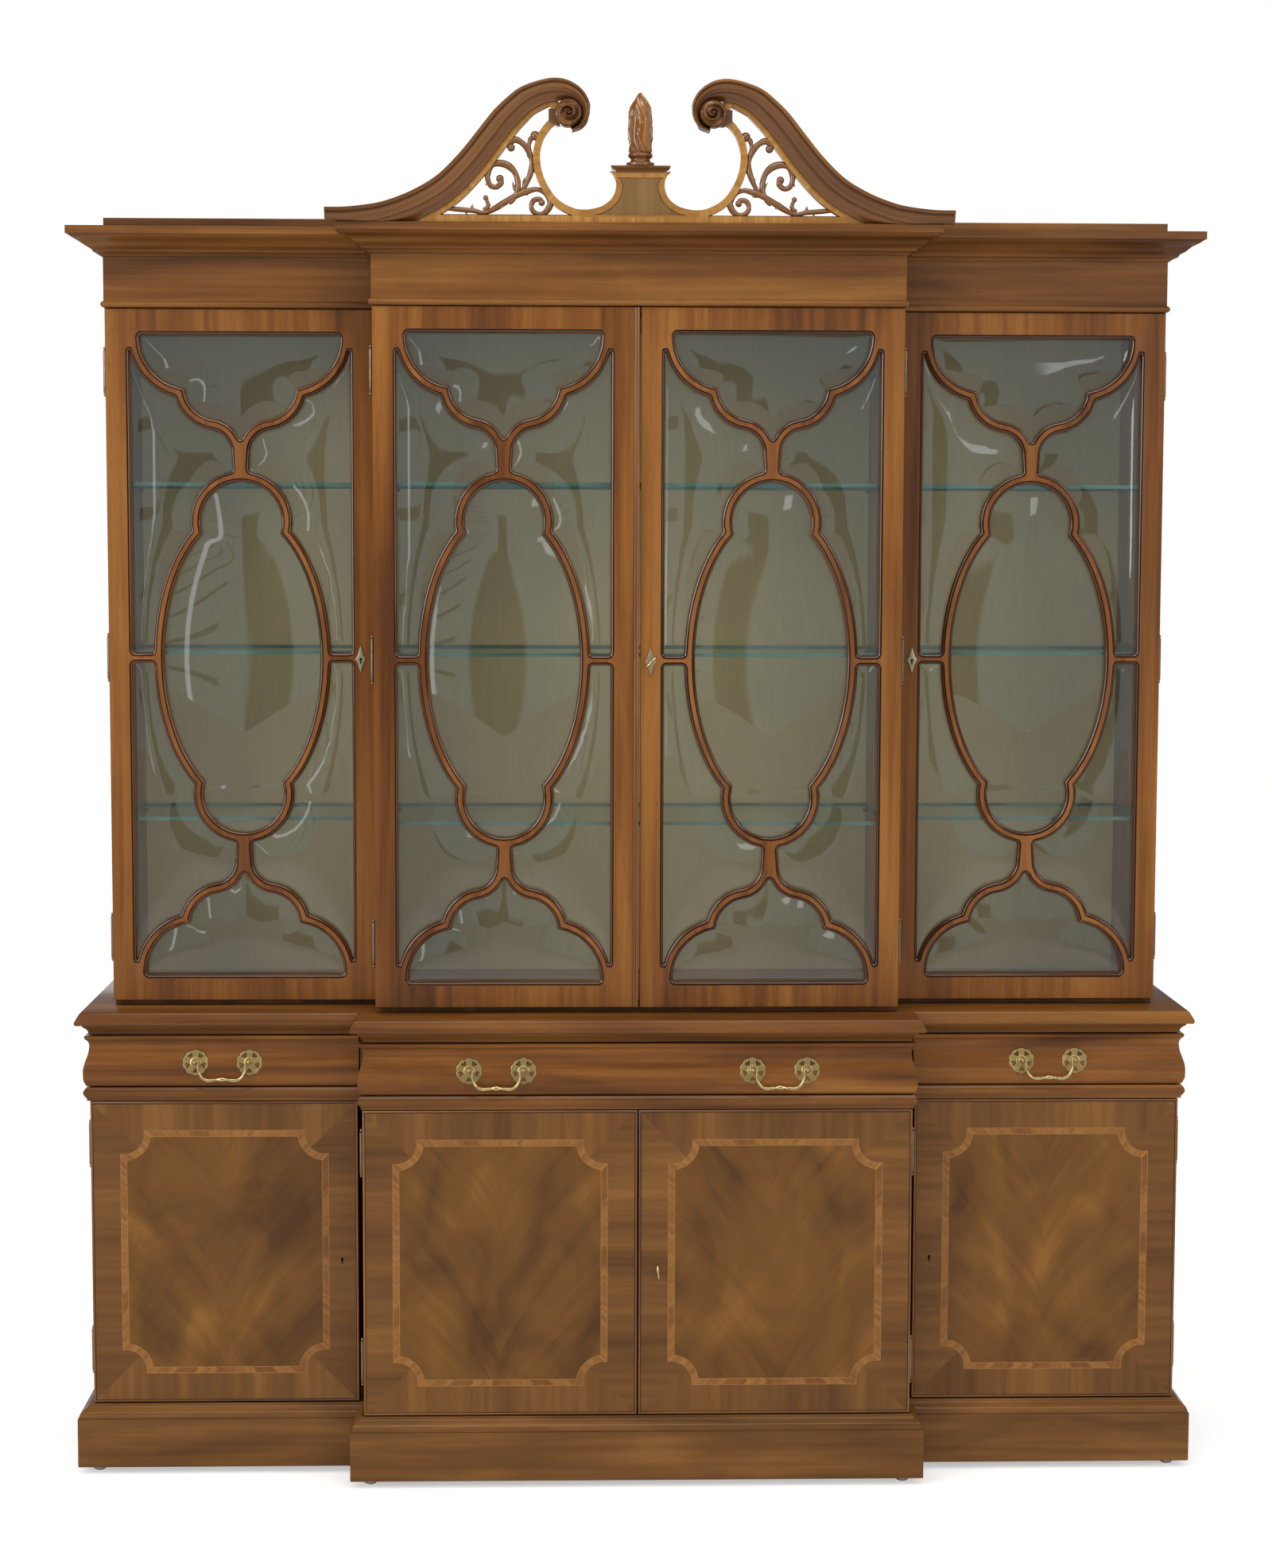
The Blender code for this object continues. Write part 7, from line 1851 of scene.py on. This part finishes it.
def build_board():
    """Bottom rail, banding under the necks, C bands, and the pedestal with its cap."""
    y0, y1 = PEDIMENT_FACE, PEDIMENT_FACE + PEDIMENT_THICK
    rail_top = CORNICE_TOP + RAIL_TOP_SHARE * PEDIMENT_RISE
    foot = rail_top - BITE
    part = Builder()
    reach = RAIL_SHARE * PEDIMENT_HALF
    block(part, -reach, reach, y0, y1, PEDIMENT_BASE, rail_top, "banding")
    for side in (-1, 1):
        lines = [neck_line(side, share) for share in BANDING_EDGE_SHARES]
        high, low = ([(x, max(z, foot)) for x, z in line] for line in lines)
        ribbon(part, low, high, y0 + TINY, y1 - TINY, "banding")
        prism(part, on_pediment(END_SHARES, side), y0 - TINY, y1 - 4 * TINY, "carved")
        tail = [low[-1]] + on_pediment(TAIL_SHARES, side) + [high[-1]]
        prism(part, tail, y0 + 2 * TINY, y1 - 2 * TINY, "banding")
        band = even(smooth_path(on_pediment(C_BAND_SHARES, side), 6), 50)
        outer, inner = (
            [(p[0] + n.x * half, p[1] + n.y * half) for p, n in zip(band, mitres(band))]
            for half in (BAND_WIDTH / 2, -BAND_WIDTH / 2)
        )
        ribbon(part, outer, inner, y0 + 3 * TINY, y1 - 3 * TINY, "banding")
    flank = even(smooth_path(on_pediment(PEDESTAL_SHARES), 6), 40)
    outline = flank + [(flank[-1][0], foot)]
    outline += [(-x, z) for x, z in reversed(outline)]
    border_top = flank[0][1] - PEDESTAL_BORDER
    half_panel = []
    for p, n in zip(flank, mitres(flank)):
        x, z = p[0] - abs(n.x) * PEDESTAL_BORDER, p[1] - abs(n.y) * PEDESTAL_BORDER
        if z > rail_top + PANEL_CLEAR and x > PANEL_NARROWEST:
            half_panel.append((x, min(z, border_top)))
    panel = tidy([(-x, z) for x, z in reversed(half_panel)] + half_panel, PANEL_NEAR)

    def grain_of(middle):
        return "x" if middle[1] > border_top else "z"

    face, sunk_face, back = y0 - TINY, y0 + PANEL_SUNK, y1 - TINY
    sheet(part, outline, [panel], face, "banding", grain_of)
    sheet(part, outline, [], back, "carved", "x", toward=1)
    part.wall(outline, face, back, "banding", "z")
    # The quirk round the sunk panel is near black: painted shade along its step
    line = drawn(panel, -PANEL_QUIRK)
    rows = [part.upright(*row) for row in ((panel, face), (panel, sunk_face), (line, sunk_face))]
    part.skin(rows, lambda i: ("banding", "hole")[i], "x")
    sheet(part, line, [], sunk_face, "panel", "z")
    bottom, top = (CORNICE_TOP + s * PEDIMENT_RISE for s in (CAP_BOTTOM_SHARE, CAP_TOP_SHARE))
    loops = []
    for z, inset in smooth_levels(spans(bottom, top, 0.0, CAP_REACH, CAP_SHARES)):
        x, front, behind = CAP_HALF - inset, y0 - CAP_FRONT + inset, y1 + CAP_BEHIND
        loops.append([(-x, front, z), (x, front, z), (x, behind, z), (-x, behind, z)])
    part.loft(loops, "carved", "x")
    part.piece("crossbanded_board", "case", ["pediment_board"], 30)


def build_fret(side):
    """Foliate scrollwork with round stems, leaf spurs and curled ends."""
    part = Builder()
    middle = FRET_FACE + FRET_THICK / 2
    for stem in STEM_PATH_SHARES:
        stations = even(smooth_path(stem, 8), 8 * len(stem) + 20)
        path = [(x, middle, z) for x, z in on_pediment(stations, side)]
        radii = []
        for i, (_, _, width) in enumerate(stations):
            swell = 1.0 + STEM_SWELL * math.sin(STEM_SWELLS * math.pi * i / len(path))
            radii.append(width * STEM_WIDTH * STEM_ROUND_SHARE * swell)
        tube(part, path, radii, "fret", 12, deep=STEM_DEEP)
        radius = radii[-1] * CURL_SHARE
        turns = np.linspace(-CURL_BALL, CURL_BALL, 9)
        ball = [(radius * math.sin(t), radius * math.cos(t)) for t in turns]
        turned(part, ball, "fret", quarter_turn(*path[-1]), 16)
    for a0, b0, a1, b1, width in LEAF_SHARES:
        root, tip = (Vector((x, middle, z)) for x, z in on_pediment([(a0, b0), (a1, b1)], side))
        bend = Vector((-(tip - root).z, 0.0, (tip - root).x)) * LEAF_BEND
        path = [
            tuple(root.lerp(tip, t) + bend * math.sin(math.pi * t)) for t in np.linspace(0, LEAF_END, 9)
        ]
        full = width * STEM_WIDTH * LEAF_ROUND_SHARE
        radii = [full * max(1 - t ** LEAF_TAPER, LEAF_TIP_SHARE) for t in np.linspace(0, 1, 9)]
        tube(part, path, radii, "fret", deep=LEAF_DEEP)
    for a0, b0, a1, b1 in TIE_SHARES:
        path = [(x, middle, z) for x, z in even(on_pediment([(a0, b0), (a1, b1)], side), 3)]
        tube(part, path, [TIE_RADIUS] * 3, "fret")
    name = SIDE_NAMES[side]
    nodes, offset = ["fretwork_" + name], FRET_OFFSET * side
    part.piece("scrollwork_" + name, "case", nodes, 50, offset)


def build_finial():
    """A turned socle with a carved flame of twisted tongues."""
    y = PEDIMENT_FACE + PEDIMENT_THICK / 2 + BITE
    z0 = CORNICE_TOP + CAP_TOP_SHARE * PEDIMENT_RISE + GAP
    part = Builder()
    socle = [(SOCLE_HEIGHT * a, SOCLE_RADIUS * r) for a, r in smooth_path(SOCLE_SHARES, 2)]
    turned(part, socle, "carved", Matrix.Translation((0.0, y, z0)), 36)
    loops = []
    for share, r in smooth_path(FLAME_SHARES, 4):
        loop = []
        sway = FLAME_TWIST * share + FLAME_SWAY * math.sin(FLAME_SWAYS * math.pi * share)
        z = z0 + SOCLE_HEIGHT - BITE + FLAME_HEIGHT * share
        for angle in angles(72):
            ridge = 1 - abs(math.sin(FLAME_TONGUES * (angle + sway) / 2))
            wide = FLAME_RADIUS * r * (FLAME_CORE + FLAME_RIDGE * ridge * (1 - FLAME_FADE * share))
            loop.append((wide * math.cos(angle), y + wide * math.sin(angle), z))
        loops.append(loop)
    part.loft(loops, "leaf", "z")
    part.piece("flame_finial", "case", ["finial"], 60)


# The nodes that stay as packed, in better materials


def dress(name, look):
    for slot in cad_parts[name].material_slots:
        slot.material = LOOKS[look]


make_camera()
make_stage()
make_light()
build_plinth()
build_mouldings()
build_drawers()
build_cornice()
for door in GLAZED_DOORS:
    glazed_door(*door)
build_case_hinges()
for door in CUPBOARD_DOORS:
    cupboard_door(*door)
build_locks()
build_pulls()
for side in (-1, 1):
    swan_neck(side)
    build_fret(side)
build_board()
build_finial()
dress("upper_carcass", "upper_case")
dress("base_carcass", "base_case")
dress("upper_back", "lining")
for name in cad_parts:
    if name.startswith("shelf"):
        dress(name, "shelf")
